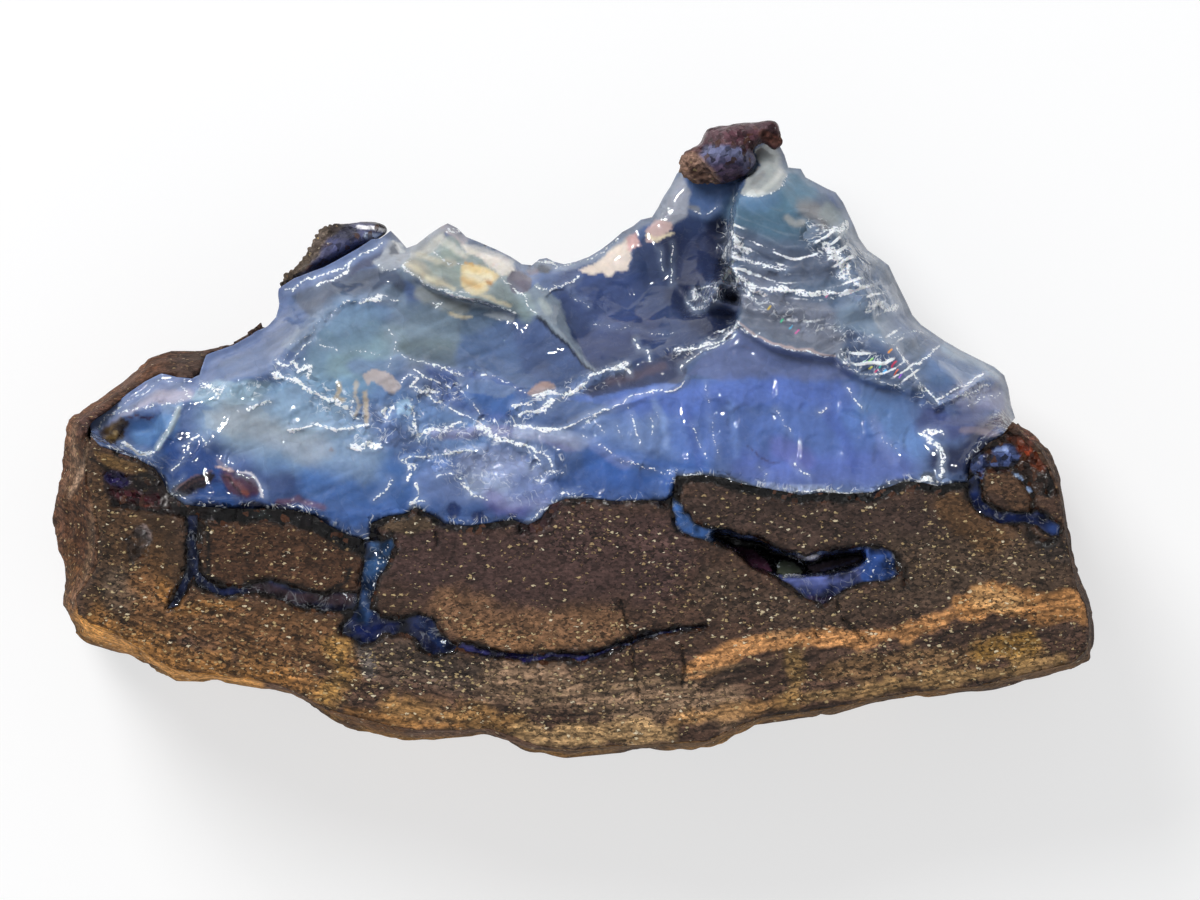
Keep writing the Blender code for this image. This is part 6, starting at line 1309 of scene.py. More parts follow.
# The lowest edge of the slab, which the beds follow.
BOTTOM_EDGE = [
    (-42, -14.5), (-30, -18.5), (-18, -22.5), (-5, -24.2), (5, -24), (15, -22.3), (25, -20.8), (35, -19.3),
    (42, -17.5),
]
STONE_NODES = ["ironstone_host", "ironstone_fragment_left", "ironstone_fragment_right"]
STONE_GROUND = "#443127"
STONE_COLOURS = [
    ("#3E2C1C", [(-37, -6), (-34, -10), (-36, -13)], 2, 4, 0.8),
    ("#4C3624", [(-37.6, -1.5), (-37.6, -4.4), (-35, -8)], 0.6, 1.6, 0.6),
    ("#523820", [(-34.6, -8.6), (-33.2, -9.8), (-33.6, -11.4)], 0.5, 1.4, 0.7),
    ("#64452A", [(-34, -13), (-28, -14.6), (-22, -15.4), (-18, -17)], 1.2, 2, 0.8),
    ("#40291A", [(-28, -8.4), (-24, -9.4), (-19, -10)], 2, 1.6, 0.8),
    ("#7A552E", [(-38, -14.4), (-34, -16.6), (-28, -18), (-20, -20.2)], 0.4, 1.4, 0.7),
    ("#7A5326", [(-32.6, -11.6), (-31.4, -13.4), (-27, -13.1)], 0.15, 0.8, 0.5),
    ("#54463A", [(-36.8, -11), (-36.2, -13)], 0.5, 0.9, 0.6),
    ("#412F2D", [(-12, -9), (-6, -11), (0, -9), (6, -9)], 2.4, 3, 0.8),
    ("#74543A", [(-10, -13.4), (-6, -14.6), (-2, -15.4), (3, -15)], 0.7, 1.8, 0.75),
    ("#785638", [(-8, -15.4), (-5, -16.2), (-1, -16.4)], 0.3, 0.9, 0.6),
    ("#4A3C32", [(-15, -17.6), (-11, -18), (-8, -19)], 0.9, 1.4, 0.85),
    ("#7E6650", [(-6, -19.4), (0, -20), (6, -20.6), (12, -21)], 1, 1.8, 0.7),
    ("#94703A", [(-18.8, -17), (-18.2, -18.8), (-19.4, -20.4)], 0.4, 1.3, 0.55),
    ("#55504E", [(-16.6, -17), (-16.2, -18.4)], 0.3, 0.7, 0.7),
    ("#9C7444", [(-14, -21.6), (-9, -22), (-5, -22.6)], 0.4, 1.2, 0.7),
    ("#A07646", [(8, -22.6), (13, -21.6), (18, -20.8)], 0.2, 0.8, 0.6),
    ("#AE8C60", [(-4, -23.6), (2, -23.6), (8, -23.4)], 0.4, 0.8, 0.7),
    ("#352925", [(11, -5), (18, -6.4), (26, -6.4), (31, -6)], 1.4, 2, 0.7),
    ("#46382C", [(27, -10), (32, -10), (38, -10.6)], 1.4, 2.4, 0.7),
    ("#5E4226", [(29.6, -4.8), (31.4, -6.8), (33.6, -8)], 0.5, 1.2, 0.6),
    ("#44362C", [(11, -12), (18, -14), (26, -13), (32, -11.6)], 0.8, 1.6, 0.6),
    ("#3C2C24", [(11, -19.4), (16, -18), (22, -17.4), (28, -16.5), (33, -15.6), (40, -15.2)], 0.4, 0.7, 0.85),
    ("#AC7A4C", [(9.6, -18.6), (11.2, -17.8), (13.6, -16.8), (16.4, -16), (17.4, -15.9)], 0.4, 0.5, 0.95),
    ("#AA784A", [(17.8, -15.9), (19.4, -15.8), (23, -16), (26.6, -15.3), (29.6, -14.4), (31.6, -13.6)],
        0.4, 0.5, 0.9),
    ("#A07042", [(31.2, -13.4), (33.4, -12.9), (36, -13.1), (38.6, -13.4), (41.2, -13.4)], 0.8, 0.7, 0.9),
    ("#B48A5A", [(32.6, -12.6), (34, -13.2), (35.4, -13)], 0.3, 0.8, 0.7),
    ("#8E6A48", [(16.2, -15.6), (17.6, -15.5)], 0.15, 0.4, 0.7),
    ("#6A5034", [(20, -18.6), (26, -17.9), (31, -17.4), (37, -16.9)], 0.5, 0.9, 0.7),
    ("#8C682E", [(32.8, -17), (34.4, -16.6), (36.4, -16.7)], 0.5, 1.2, 0.7),
    ("#7E6236", [(17.6, -17.6), (18, -19.2), (17.2, -21)], 0.4, 1, 0.5),
    ("#94744A", [(19, -20.6), (26, -19.6), (33, -18.8), (39, -17.6)], 0.3, 0.7, 0.7),
    ("#4C3626", [(34, -3), (35.2, -3.6), (35.6, -4.8)], 0.8, 0.6, 0.9),
    ("#4A3B2C", closed([(-16, -6.9), (-14.6, -6.3), (-13.2, -6), (-11.6, -6.2), (-11.4, -6.9),
        (-13, -7.4)]), 0, 0.3, 0.9),
    ("#2C2624", [(38, -8.8), (39.4, -9.2)], 0.4, 0.7, 0.6),
    ("#8E6234", [(-38.6, -14.4), (-35, -16.2), (-32, -17.9), (-28.6, -18.6), (-23, -19.5)], 0.2, 0.7, 0.7),
    ("#94683A", [(-18, -21.8), (-13, -22.8), (-9, -23)], 0.15, 0.5, 0.7),
    ("#6E5A44", [(-3, -20.5), (3, -19.9), (9, -18.9), (16, -17.5)], 0.06, 0.2, 0.6),
    ("#2A211C", [(-3, -20.9), (3, -20.3), (9, -19.4), (16, -18)], 0.06, 0.2, 0.6),
    ("#2E2622", [(-15.4, -16.6), (-12, -17.6), (-8, -18.6)], 0.5, 0.9, 0.5),
    # What lies between the opal and the sawn face at the left end.
    ("#6A502E", closed([(-38.3, -0.9), (-36.4, -1.5), (-34.6, -2), (-34, -2.6), (-35.4, -2.6),
        (-37.4, -2)]), 0, 0.2, 0.95),
    ("#1C1416", closed([(-37.6, -2.4), (-35, -2.9), (-32.6, -3.7), (-31, -5), (-31, -6), (-36.6, -5.3),
        (-37.4, -4)]), 0, 0.2, 0.9),
    ("#120D0B", [(-38.6, -1.4), (-37.2, -2.3), (-35.4, -2.9), (-33.6, -3), (-32.6, -3.7)], 0.12, 0.15, 0.95),
    ("#4C4232", closed([(-35.6, -3.3), (-34.6, -2.7), (-33.6, -3), (-33, -3.9), (-34.2, -3.9)]),
        0, 0.15, 0.95),
    ("#DAD4D0", [(-33.4, -5.1), (-32.4, -4.4), (-30.6, -4.9)], 0, 0.12, 0.8),
    ("#C9C2BE", [(-32.9, -3.9), (-32.4, -4.6), (-32.6, -5.3)], 0, 0.1, 0.7),
    ("#4C484A", [(-34.9, -7.4), (-34.2, -7.4), (-33.9, -8)], 0.15, 0.25, 0.8),
    ("#0C0A0A", [(-35.3, -3), (-34.6, -2.5), (-33.6, -2.7), (-32.9, -3.7), (-33.6, -4.2), (-34.9, -3.9),
        (-35.3, -3)], 0.03, 0.12, 0.9),
    ("#8A7E70", [(-34.6, -3.1), (-34, -3.2), (-33.6, -3.5)], 0.03, 0.15, 0.7),
    ("#8C7C78", [(-34.9, -7.1), (-34.3, -6.9), (-33.8, -7.4), (-34, -8.3), (-34.6, -8.6)], 0.05, 0.14, 0.7),
    ("#0F0C0C", [(-34.8, -7.6), (-34.4, -8), (-34.2, -7.5), (-34.7, -8.3)], 0.06, 0.14, 0.8),
    ("#5E2A1E", [(-36.2, -4.9), (-34.2, -5.3), (-32, -5.6)], 0.04, 0.12, 0.8),
    # Thin dark seams that bound the blocks.
    ("#110E0D", [(-29.3, -6.4), (-29.1, -8.6), (-29.2, -10.8), (-28.1, -11.5), (-25.6, -12),
        (-23.6, -11.4), (-22, -11.6), (-20, -12.3), (-18.1, -11.4), (-17.8, -10.3)], 0.08, 0.16, 0.9),
]
# Old crack walls, glazed nearly black.
GLAZED = [
    ("#0D0A0A", OPAL_CONTACT[17:21], 0.5, 0.3, 1),
    ("#070606", OPAL_CONTACT[3:18], 0.6, 0.3, 1),
    ("#141010", OPAL_CONTACT[20:26], 0.22, 0.25, 0.9),
    ("#2A1A1C", OPAL_CONTACT[25:28], 0.7, 0.4, 0.95),
    ("#090708", OPAL_CONTACT[28:38], 0.4, 0.25, 0.95),
    ("#080606", OPAL_CONTACT[37:45], 1, 0.35, 1),
    ("#15100E", OPAL_CONTACT[44:50], 0.3, 0.25, 0.9),
    ("#1C1416", closed([(-37.2, -3), (-35, -3), (-32.6, -3.7), (-31, -5), (-36.6, -5.2)]), 0, 0.2, 0.6),
    ("#34141A", [(-36.8, -4.1), (-35.4, -4.5), (-33.4, -4.8)], 0.3, 0.25, 0.9),
    ("#1E1A3E", [(-37, -3), (-36.1, -3.3)], 0.35, 0.3, 0.9),
    ("#16100F", [(-36.6, -5.1), (-34, -5.5), (-31.4, -5.8), (-29.6, -5.7)], 0.2, 0.3, 0.9),
    ("#141A3E", [(-9, -16.6), (-7.4, -17), (-5.6, -17.2), (-4, -17.35)], 0.16, 0.14, 0.95),
    ("#2218B8", [(-5.2, -17.3), (-3.8, -17.4), (-2.6, -17.5)], 0.14, 0.12, 1),
    ("#14183C", [(-2.4, -17.45), (-0.4, -17.4), (1.6, -17.1), (4.2, -16.3), (6.2, -15.6), (8.2, -15.15),
        (10.6, -14.95)], 0.13, 0.13, 0.95),
    ("#211A16", [(-30.2, -6.2), (-29.6, -7), (-29.8, -9)], 0.1, 0.25, 0.9),
    ("#2A2320", closed([(-35.6, -8), (-34.4, -7), (-34, -7.8), (-34.2, -9), (-35.4, -9.8)]), 0, 0.3, 0.85),
    ("#120F0E", closed(VEINS["left"]), 0.1, 0.25, 0.9),
    ("#110E0D", closed(VEINS["centre"]), 0.18, 0.3, 0.9),
    ("#110E0D", closed(VEINS["right"]), 0.1, 0.2, 0.9),
    ("#110E0D", closed(VEINS["right end"]), 0.12, 0.25, 0.9),
    ("#120F0F", [(-17.3, -12.6), (-17.8, -13.8), (-18.4, -14.8)], 0.2, 0.3, 0.9),
    ("#171312", [(-15.4, -14.7), (-13, -14.8), (-11.6, -15.4)], 0.5, 0.3, 0.85),
    ("#171310", [(32.8, -2.5), (33.8, -2.1), (35.2, -2.3), (36.2, -3.3), (36.9, -4.6), (36.8, -5.7)],
        0.2, 0.3, 0.9),
    ("#171310", [(32.8, -2.6), (32.7, -3.8), (33.2, -5), (34.4, -5.7)], 0.05, 0.2, 0.8),
    ("#1A1210", closed([(31.8, -1.4), (33.4, -0.2), (35, 0.6), (36.6, 0), (38.6, -2.4), (38.8, -4.4),
        (37.4, -4), (35.4, -2.2), (32.4, -2.4)]), 0.1, 0.3, 0.8),
    ("#38446A", closed([(31.7, -2), (33, -0.7), (35.1, -0.5), (36, -1.2), (35, -2), (33.2, -2),
        (32.7, -3)]), 0, 0.15, 0.95),
    ("#4E2618", closed([(34.9, 0.3), (36.4, 0.1), (38, -1.6), (37.6, -2.4), (36.3, -1.5), (35.6, -0.4)]),
        0, 0.25, 0.95),
    ("#8FA6CC", [(34.9, -2.4), (36, -3.2), (36.95, -4.6)], 0.03, 0.13, 0.9),
    ("#8A3A24", [(35.8, -0.6), (36.2, -0.5), (36.4, -1)], 0.05, 0.14, 0.8),
    ("#7E90BC", [(32, -1.6), (33, -0.9), (34.6, -0.7)], 0.02, 0.13, 0.7),
    ("#0E0B0B", [(33, -2.2), (35, -2.2), (36.2, -1.4)], 0.05, 0.14, 0.9),
    ("#0E0C0C", [(38.2, -2.2), (38.3, -3.4), (38.1, -4.3)], 0.12, 0.2, 0.9),
    ("#120E0D", [(36.4, -6.8), (36.6, -7.6), (37.4, -8.4), (38.4, -8.2)], 0.25, 0.35, 0.85),
    ("#161210", [(25.9, -9), (26.5, -10.4), (26.7, -11.6)], 0.1, 0.3, 0.8),
]
# Hairline cracks.
CRACKS = [
    [(3.8, -13), (4.3, -14.5), (4.8, -16), (5, -17.5), (5.3, -19), (5.1, -20.5)],
    [(8.8, -16.5), (8.9, -18.5), (8.8, -19.5)],
    [(21.2, -12.8), (21.3, -13.6)],
    [(21.6, -14.3), (22.3, -15), (23.6, -16.2)],
    [(-10.9, -7.4), (-11, -8.6)],
    [(35.4, -6.6), (36, -7.4)],
    [(19.2, -15.6), (19.8, -16.2)],
]
# Where the sand is coarser and lies thicker, as strokes without a colour.
SAND = [
    ([(-38, -6), (-36, -12), (-30, -15), (-22, -17), (-14, -18)], 1.6, 2.4, 0.6),
    ([(-37, -13), (-32, -15.6), (-26, -17.4), (-19, -19.4)], 1.2, 1.4, 0.8),
    ([(-16, -17.4), (-12, -18.2), (-7, -19.2)], 1.3, 1.2, 1),
    ([(-19.4, -17), (-17.4, -19.6)], 0.8, 0.8, 0.9),
    ([(-8, -20), (0, -20.6), (8, -20.4)], 2, 2.4, 0.6),
    ([(-9, -15), (-4, -15.8), (2, -15.4), (8, -14)], 0.8, 1.4, 0.6),
    ([(-3, -6.6), (1, -8), (5, -8), (8, -10)], 1.2, 1.8, 0.55),
    ([(8, -12), (14, -13), (20, -14), (26, -12.4)], 1.4, 2.2, 0.5),
    ([(27, -10), (32, -9.4), (38, -9.6)], 1.2, 1.8, 0.65),
    ([(18, -19), (26, -18), (34, -17), (40, -16)], 1, 1.2, 0.7),
    ([(32, -13), (36, -13.4)], 0.8, 1.2, 0.6),
    ([(-28, -8), (-20, -10)], 1.6, 1.6, 0.4),
    ([(12, -5.6), (20, -6.6), (28, -7)], 1.4, 2, 0.3),
    ([(34, -3.4), (35.4, -4.6)], 0.8, 0.8, 0.4),
]
# Opal in the cracks, darker and less clear than the seam.
VEIN_GROUND = "#1B2342"
VEIN_COLOURS = [
    ("#1C2136", closed(VEINS["left"]), 0, 0.4, 0.9),
    ("#242C46", [(-30.4, -7.2), (-30.3, -9.6), (-29.9, -10.8)], 0.05, 0.2, 0.8),
    ("#6084B4", [(-15, -8.4), (-15.2, -9.4)], 0.2, 0.4, 0.8),
    ("#3E3034", [(-25.5, -11.6), (-22, -12.6), (-18, -12.8)], 0.3, 0.4, 0.85),
    ("#0A0816", [(-21.6, -13.2), (-19.6, -13.6), (-18.4, -13.3)], 0.12, 0.25, 0.9),
    ("#3A5A86", [(-15.4, -8.2), (-15.4, -9.4), (-16, -10.6)], 0.4, 0.6, 0.95),
    ("#263E64", [(-16.2, -11.4), (-16.4, -12.8), (-16.8, -14.4)], 0.3, 0.5, 0.9),
    ("#101A44", [(-17, -15.2), (-16, -15.8), (-15, -15)], 0.35, 0.5, 0.9),
    ("#12162E", [(-14.4, -14.8), (-12.4, -15.6), (-11, -16.6)], 0.4, 0.5, 0.9),
    ("#1A2A50", [(-12.2, -14.4), (-11.4, -15.4), (-10.4, -16.4)], 0.12, 0.3, 0.9),
    ("#3E3C7A", [(-9, -16.6), (-6, -17.2), (-3, -17.5), (1, -17.4)], 0.2, 0.3, 0.95),
    ("#3A28C0", [(-5, -17.35), (-3.2, -17.5), (-2.4, -17.5)], 0, 0.25, 0.9),
    ("#3C3E6E", [(2, -17), (5, -16), (8, -15.2), (10.6, -15)], 0.2, 0.3, 0.9),
    ("#3E6098", [(8.4, -4.4), (8.6, -6), (9.6, -7.2), (11, -7.6)], 0.4, 0.5, 0.95),
    ("#7890CC", [(12, -7.4), (15, -8), (17.4, -9), (20, -8.9), (23, -8.7)], 0.08, 0.25, 0.9),
    ("#525C90", [(16.4, -11), (18, -11.3), (20, -11.3), (22, -10.9), (23.2, -10.4)], 0.2, 0.4, 0.95),
    ("#2E3763", [(17, -11.7), (19, -12.2), (21.4, -11.8), (23, -11)], 0.2, 0.4, 0.8),
    ("#3E2E58", [(19, -12.8), (20, -13.1), (20.6, -12.8)], 0.2, 0.3, 0.9),
    ("#34508E", [(23.8, -9.4), (25, -9.6), (25.2, -10.6), (23.8, -10.6)], 0.6, 0.4, 0.95),
    ("#7A5266", [(12.4, -8.5), (13.8, -9.6), (15.4, -10.4)], 0.12, 0.25, 0.85),
    ("#0E1A3A", [(24, -8.9), (25, -8.9)], 0.15, 0.3, 0.9),
    ("#0F183A", [(32, -3.8), (32.4, -5.4), (34, -6.3), (36.4, -6.4)], 0.3, 0.4, 0.95),
    ("#22325A", [(38.2, -6.9), (38.9, -7.2)], 0.3, 0.4, 0.9),
    ("#1E2C56", [(32, -3.1), (32.1, -4)], 0.15, 0.4, 0.8),
    ("#20284E", [(-28, -11.9), (-26.8, -12.1)], 0.25, 0.3, 0.9),
]
# The small hollow in the right-hand vein: black inside, which is painted shade, with lilac and grey-green
# glass along its floor.
HOLLOW_COLOURS = [
    # Painted shade: the hollow black all over, under the colours of its floor.
    ("#08070A", closed(HOLLOW), 0, 0.06, 1),
    ("#6A4058", closed([(12.9, -8.6), (14.4, -8.8), (15.6, -9.8), (15.9, -10.5), (15, -10.3), (14, -9.6)]),
        0, 0.1, 0.95),
    ("#6E7664", closed([(16.5, -10), (16.9, -9.7), (17.8, -9.9), (18.4, -10.6), (17, -10.8),
        (16.5, -10.6)]), 0, 0.08, 0.9),
    ("#75666E", closed([(18.9, -10.2), (20.4, -9.8), (22, -9.5), (23.1, -9.4), (22.8, -9.9),
        (21.5, -10.2), (19.4, -10.6)]), 0, 0.1, 0.95),
    ("#C2BEC6", closed([(17.8, -9.3), (18.6, -9.6), (19.4, -9.7), (20, -9.3), (19, -9.25)]), 0, 0.05, 0.9),
    ("#8A8CBA", [(20, -10.45), (21.4, -10.1), (22.8, -9.6)], 0.02, 0.1, 0.9),
]
# White glints on the veins and round the hollow, painted as highlights, as strokes without a colour.
VEIN_PAINTED_GLINTS = [
    ([(-14.8, -8.4), (-15.5, -9.6), (-15.8, -11.2)], 0, 0.12, 0.6),
    ([(-15.2, -10.4), (-15.9, -11.6), (-16, -13)], 0, 0.12, 0.5),
    ([(-16.6, -12.2), (-15.7, -12.9), (-16, -14.4)], 0, 0.12, 0.4),
    ([(-18.2, -12.2), (-17.8, -12.6)], 0.1, 0.2, 0.6),
    ([(-10.4, -16.1), (-10.2, -16.2)], 0.1, 0.15, 1),
    ([(-30.2, -8.2), (-30.3, -9.6), (-30, -10.8)], 0, 0.12, 0.4),
    ([(23.6, -9.4), (24.2, -10.2), (23.9, -11)], 0, 0.12, 0.5),
    ([(17.4, -9.25), (18, -9.6), (18.5, -10)], 0, 0.12, 0.8),
    ([(16.5, -10.2), (16.6, -9.8)], 0.02, 0.12, 1),
    ([(17, -10.85), (17.5, -10.8), (18.2, -10.8)], 0.02, 0.12, 1),
    ([(16.9, -11), (18.4, -10.85), (20, -10.75), (21.8, -10.2), (23.1, -9.9)], 0, 0.1, 0.9),
    ([(17.7, -8.9), (18.4, -9.6), (19.4, -9.4)], 0, 0.1, 0.8),
    ([(23.4, -9.6), (24.6, -9.3), (25.6, -10), (25.8, -10.9)], 0, 0.1, 0.6),
    ([(-15.6, -9.2), (-15, -9.6), (-14.6, -9.4)], 0, 0.1, 0.6),
    ([(-15.3, -8.6), (-15.1, -9.6), (-15.4, -10.4)], 0, 0.1, 0.7),
    ([(11.2, -7.5), (11.5, -7.9), (12.4, -8.4), (13.6, -9.2)], 0, 0.1, 0.5),
    ([(14.6, -10), (15.6, -10.6), (16.4, -10.9)], 0, 0.1, 0.6),
    ([(14.9, -8.1), (16, -8.8), (17, -9.1)], 0, 0.1, 0.35),
    ([(23.3, -10.6), (23.6, -9.6)], 0, 0.14, 0.4),
]


def bedding(plan):
    """Height of each point above the slab's lowest edge, which is how far up the beds it lies."""
    x, y = np.array(BOTTOM_EDGE).T
    fit = np.polyfit(x, y, 4)
    return plan[:, 1] - np.polyval(fit, np.clip(plan[:, 0], -42, 42)) + 0.25 * lumps(plan, 6.0, 81)


def stone_marks(plan, colours):
    """What the ironstone finish reads at each point. Its beds show in the lowest 8.5 mm of the slab."""
    bed = bedding(plan)
    layered = smooth_step((8.5 - bed) / 4.0) * smooth_step((plan[:, 0] + 46) / 12)
    return {
        "tint": colours,
        "sand": 0.2 + marked(plan, SAND, waver=1.0, seed=35),
        "glaze": marked(warped(plan, 0.6), [stroke[1:] for stroke in GLAZED], seed=45),
        "bed": bed,
        "layered": 0.12 + 0.8 * layered,
    }


RAGGED_STEP, FACE_STEP = 0.2, 0.17  # spacing of points along the edges and over the face
VEIN_WANDER = 0.17


def ragged(outline, reach, seed):
    """A closed outline pushed about by up to reach, as a crack wall wanders."""
    points = resampled(closed(outline), RAGGED_STEP)
    push = np.column_stack([lumps(points, 0.9, seed), lumps(points, 0.9, seed + 1)])
    return points + reach * (push + 0.5 * lumps(points, 0.4, seed + 2)[:, None])


def in_any(points, outlines):
    """Which of the points lie inside any of the outlines."""
    return np.any([is_inside(points, outline.tolist()) for outline in outlines], axis=0)


SAW_SINK = 0.04  # the sawn face lies this far under the opal's contact
EDGE_WIDTH, EDGE_WEAR = 0.5, 0.35
GLAZE_DEPTH = 0.22
CRACK_WIDTH, CRACK_DEPTH = 0.22, 0.3
VEIN_DEPTH = 0.12
HOLLOW_LIP, HOLLOW_DEPTH, HOLLOW_SLOPE = 0.35, 3.4, 0.9


def sawn_heights(plan, seams):
    """The sawn face: worn at its edge, let down along glaze, cracks and veins, and open at the hollow."""
    heights = FACE - SAW_SINK - 0.03 * rough(plan, 0.7, 91)
    heights -= EDGE_WEAR * falloff(plan, SAWN_EDGE, EDGE_WIDTH) ** 2
    uneven = 1 + 0.4 * lumps(plan, 0.8, 92)
    for _, path, radius, soft, strength in GLAZED:
        heights -= GLAZE_DEPTH * strength * falloff(plan, path, radius + soft) * uneven
    wandering = warped(plan, 0.9)
    for path in CRACKS:
        heights -= CRACK_DEPTH * falloff(wandering, path, CRACK_WIDTH)
    heights -= np.where(in_any(plan, seams), VEIN_DEPTH - 0.1 * lumps(plan, 0.8, 93), 0)
    heights -= HOLLOW_DEPTH * smooth_step(falloff(plan, closed(HOLLOW), HOLLOW_LIP))
    floor = HOLLOW_SLOPE * np.clip(plan[:, 1] + 11, 0, 2.5)
    return heights - np.where(is_inside(plan, HOLLOW), floor, 0)


def sawn_colours(plan):
    """The sawn face's colours, black along the glaze and dark in the cracks."""
    colours = painted(plan, STONE_GROUND, STONE_COLOURS, waver=0.7, seed=55)
    sway = 0.2 * lumps(plan, 0.9, 45) + 0.12 * lumps(plan, 0.4, 46)
    for colour, path, radius, soft, strength in GLAZED:
        ids, away = near_path(plan, path, radius + soft + 0.2)
        share = smooth_step(1 - (away + sway[ids] - radius) / soft) * strength
        colours[ids] += (linear(colour) - colours[ids]) * share[:, None]
    wandering = warped(plan, 0.9)
    for path in CRACKS:
        ids, away = near_path(wandering, path, 0.26)
        colours[ids] *= (0.14 + 0.86 * smooth_step(away / 0.14 - 0.3))[:, None]
    return colours


def vein_marks(plan, seams):
    """What the opal finish reads on the crack fillings: cloudy colour, darker towards the crack walls."""
    colours = painted(warped(plan, 0.5), VEIN_GROUND, VEIN_COLOURS, seed=65)
    colours *= np.clip(0.85 + 0.8 * rough(plan, 0.9, 95), 0.2, 2.0)[:, None]
    for seam in seams:
        # One point past its start, so that the seam is a line here and not an area.
        ids, away = near_path(plan, np.concatenate([seam, seam[1:2]]), 0.5)
        dark = np.clip(0.22 + 0.22 * lumps(plan[ids], 0.6, 94), 0.06, 0.5)
        colours[ids] *= (0.15 + 0.85 * smooth_step(away / dark))[:, None]
    marks = {name: np.zeros(len(plan)) for name in OPAL_MARKS}
    marks["tint"] = painted(plan, colours, HOLLOW_COLOURS, waver=0.1, seed=66)
    # Painted white glints, carried by the bruising mark.
    marks["bruise_and_glint"] = marked(plan, VEIN_PAINTED_GLINTS, waver=0.1)
    marks["hackle"] += 0.12
    return marks


def make_sawn_face(finish, vein_finish):
    """The sawn face with its crack fillings: one level sheet, cut apart along the veins' edges."""
    edge = resampled(SAWN_EDGE + OPAL_CONTACT[:-1], RAGGED_STEP, closed=True)
    seams = [ragged(vein, VEIN_WANDER, 171) for vein in VEINS.values()]
    plan, faces = filled(edge, FACE_STEP, seams)
    points = np.column_stack([plan, sawn_heights(plan, seams)])
    colours = sawn_colours(plan)
    vein_faces = in_any(plan[faces].mean(axis=1), seams)
    used, index = np.unique(faces[~vein_faces], return_inverse=True)
    marks = stone_marks(plan[used], colours[used])
    triangles = index.reshape(-1, 3).tolist()
    mesh_piece("ironstone_sawn_face", points[used], triangles, STONE_NODES, finish, marks)
    used, index = np.unique(faces[vein_faces], return_inverse=True)
    marks = vein_marks(plan[used], seams)
    triangles = index.reshape(-1, 3).tolist()
    mesh_piece("opal_crack_fillings", points[used], triangles, ["opal_seam"], vein_finish, marks)


# ---------------------------------------------------------------- the ironstone's natural sides

ARM_STAIN = [(-36, 4.6), (-33, 5.6), (-29, 6), (-26, 7.6), (-24.6, 9)]
# Weathered skin, mostly chocolate brown, with ochre below, a red and purple stain along the arm, and a
# line of painted glints on the arm.
SKIN_COLOURS = [
    ("#3A2315", [(-41, 1), (-41.6, -5), (-41.4, -9)], 2.4, 1.6, 0.95),
    ("#4A3430", [(-40, 2), (-36, 5), (-33, 7.4), (-28, 7.4), (-24, 9.6)], 1, 1.6, 0.9),
    ("#36202A", [(-35, 5.4), (-31, 6.4), (-27, 7), (-24.6, 9)], 0.5, 0.8, 0.7),
    ("#6A4722", [(-41.6, -9.4), (-41, -13), (-39, -16)], 0.8, 1.4, 0.6),
    ("#4A301E", [(-40.8, 0.4), (-40.4, -3), (-40.8, -6)], 0.8, 0.8, 0.8),
    ("#C88E4C", [(-40, -15.6), (-35, -17.6), (-31, -19.3), (-27, -19.6)], 1.2, 1.2, 0.85),
    ("#7C5430", [(-20, -22.6), (-15, -23.8)], 0.8, 1.2, 0.8),
    ("#6E5230", [(0, -25.4), (10, -25), (20, -22.4), (30, -20.8), (41, -18)], 1.2, 1, 0.6),
    ("#43342B", [(41, -16), (41.4, -12), (40, -7), (39, -2), (36, 1.5)], 1.4, 1.2, 0.8),
    ("#5A3028", [(37, 0.4), (36, 1.4)], 0.5, 0.8, 0.6),
    ("#4C3638", [(-35, 4), (-33, 5), (-31, 5.8), (-28.6, 6), (-26.8, 7.4)], 0.7, 0.6, 0.85),
    ("#2A1E26", [(-38, 1.8), (-36, 3.2), (-34, 4.6)], 0.15, 0.3, 0.8),
    # A line of painted white glints on the arm's ridge.
    ("#ECE6E2", [(-31.4, 6.2), (-30.2, 6.4), (-28.6, 6.2)], 0.04, 0.16, 0.85),
    ("#66503F", [(-40.6, 0.6), (-40.4, -1.6), (-41, -3.6)], 0.6, 0.5, 0.7),
    ("#8A725E", [(-38.6, 0), (-39, -2.1), (-40.1, -3.9), (-41.1, -5.6)], 0.04, 0.3, 0.6),
    ("#6C5540", [(-38.4, -5), (-38.6, -8.4), (-39, -11)], 0.05, 0.35, 0.5),
]


def softened_copy(node, voxel, rounds=0):
    """(points in millimetres, faces, outward normals) of a fine copy of a CAD piece, smoothed in rounds."""
    copy = bpy.data.objects.new("blank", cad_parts[node].data.copy())
    bpy.context.scene.collection.objects.link(copy)
    remesh = copy.modifiers.new("fine", "REMESH")
    remesh.mode = "VOXEL"
    remesh.voxel_size = voxel * MM
    if rounds:
        copy.modifiers.new("worn", "SMOOTH").iterations = rounds
    done = copy.evaluated_get(bpy.context.evaluated_depsgraph_get())
    mesh = done.to_mesh()
    points = np.array([v.co for v in mesh.vertices]) / MM
    normals = np.array([v.normal for v in mesh.vertices])
    faces = [list(p.vertices) for p in mesh.polygons]
    done.to_mesh_clear()
    bpy.data.objects.remove(copy)
    return points, faces, normals


SKIN_VOXEL = 0.36
SAW_LEVEL = 23.2  # above this the skin belongs to the sawn face's edge
BACK_LEVEL = 0.6  # below this it belongs to the flat back
SKIN_ROOF = 22.6  # the skin stays under the sawn face, and rises to it only along the slab's edge
EDGE_ROOF, ROOF_SLOPE = 23.72, 0.9
TIP_SIZE, TIP_WEAR = 2.6, 0.38  # the arm's tip is worn back, clear of the opal's wall


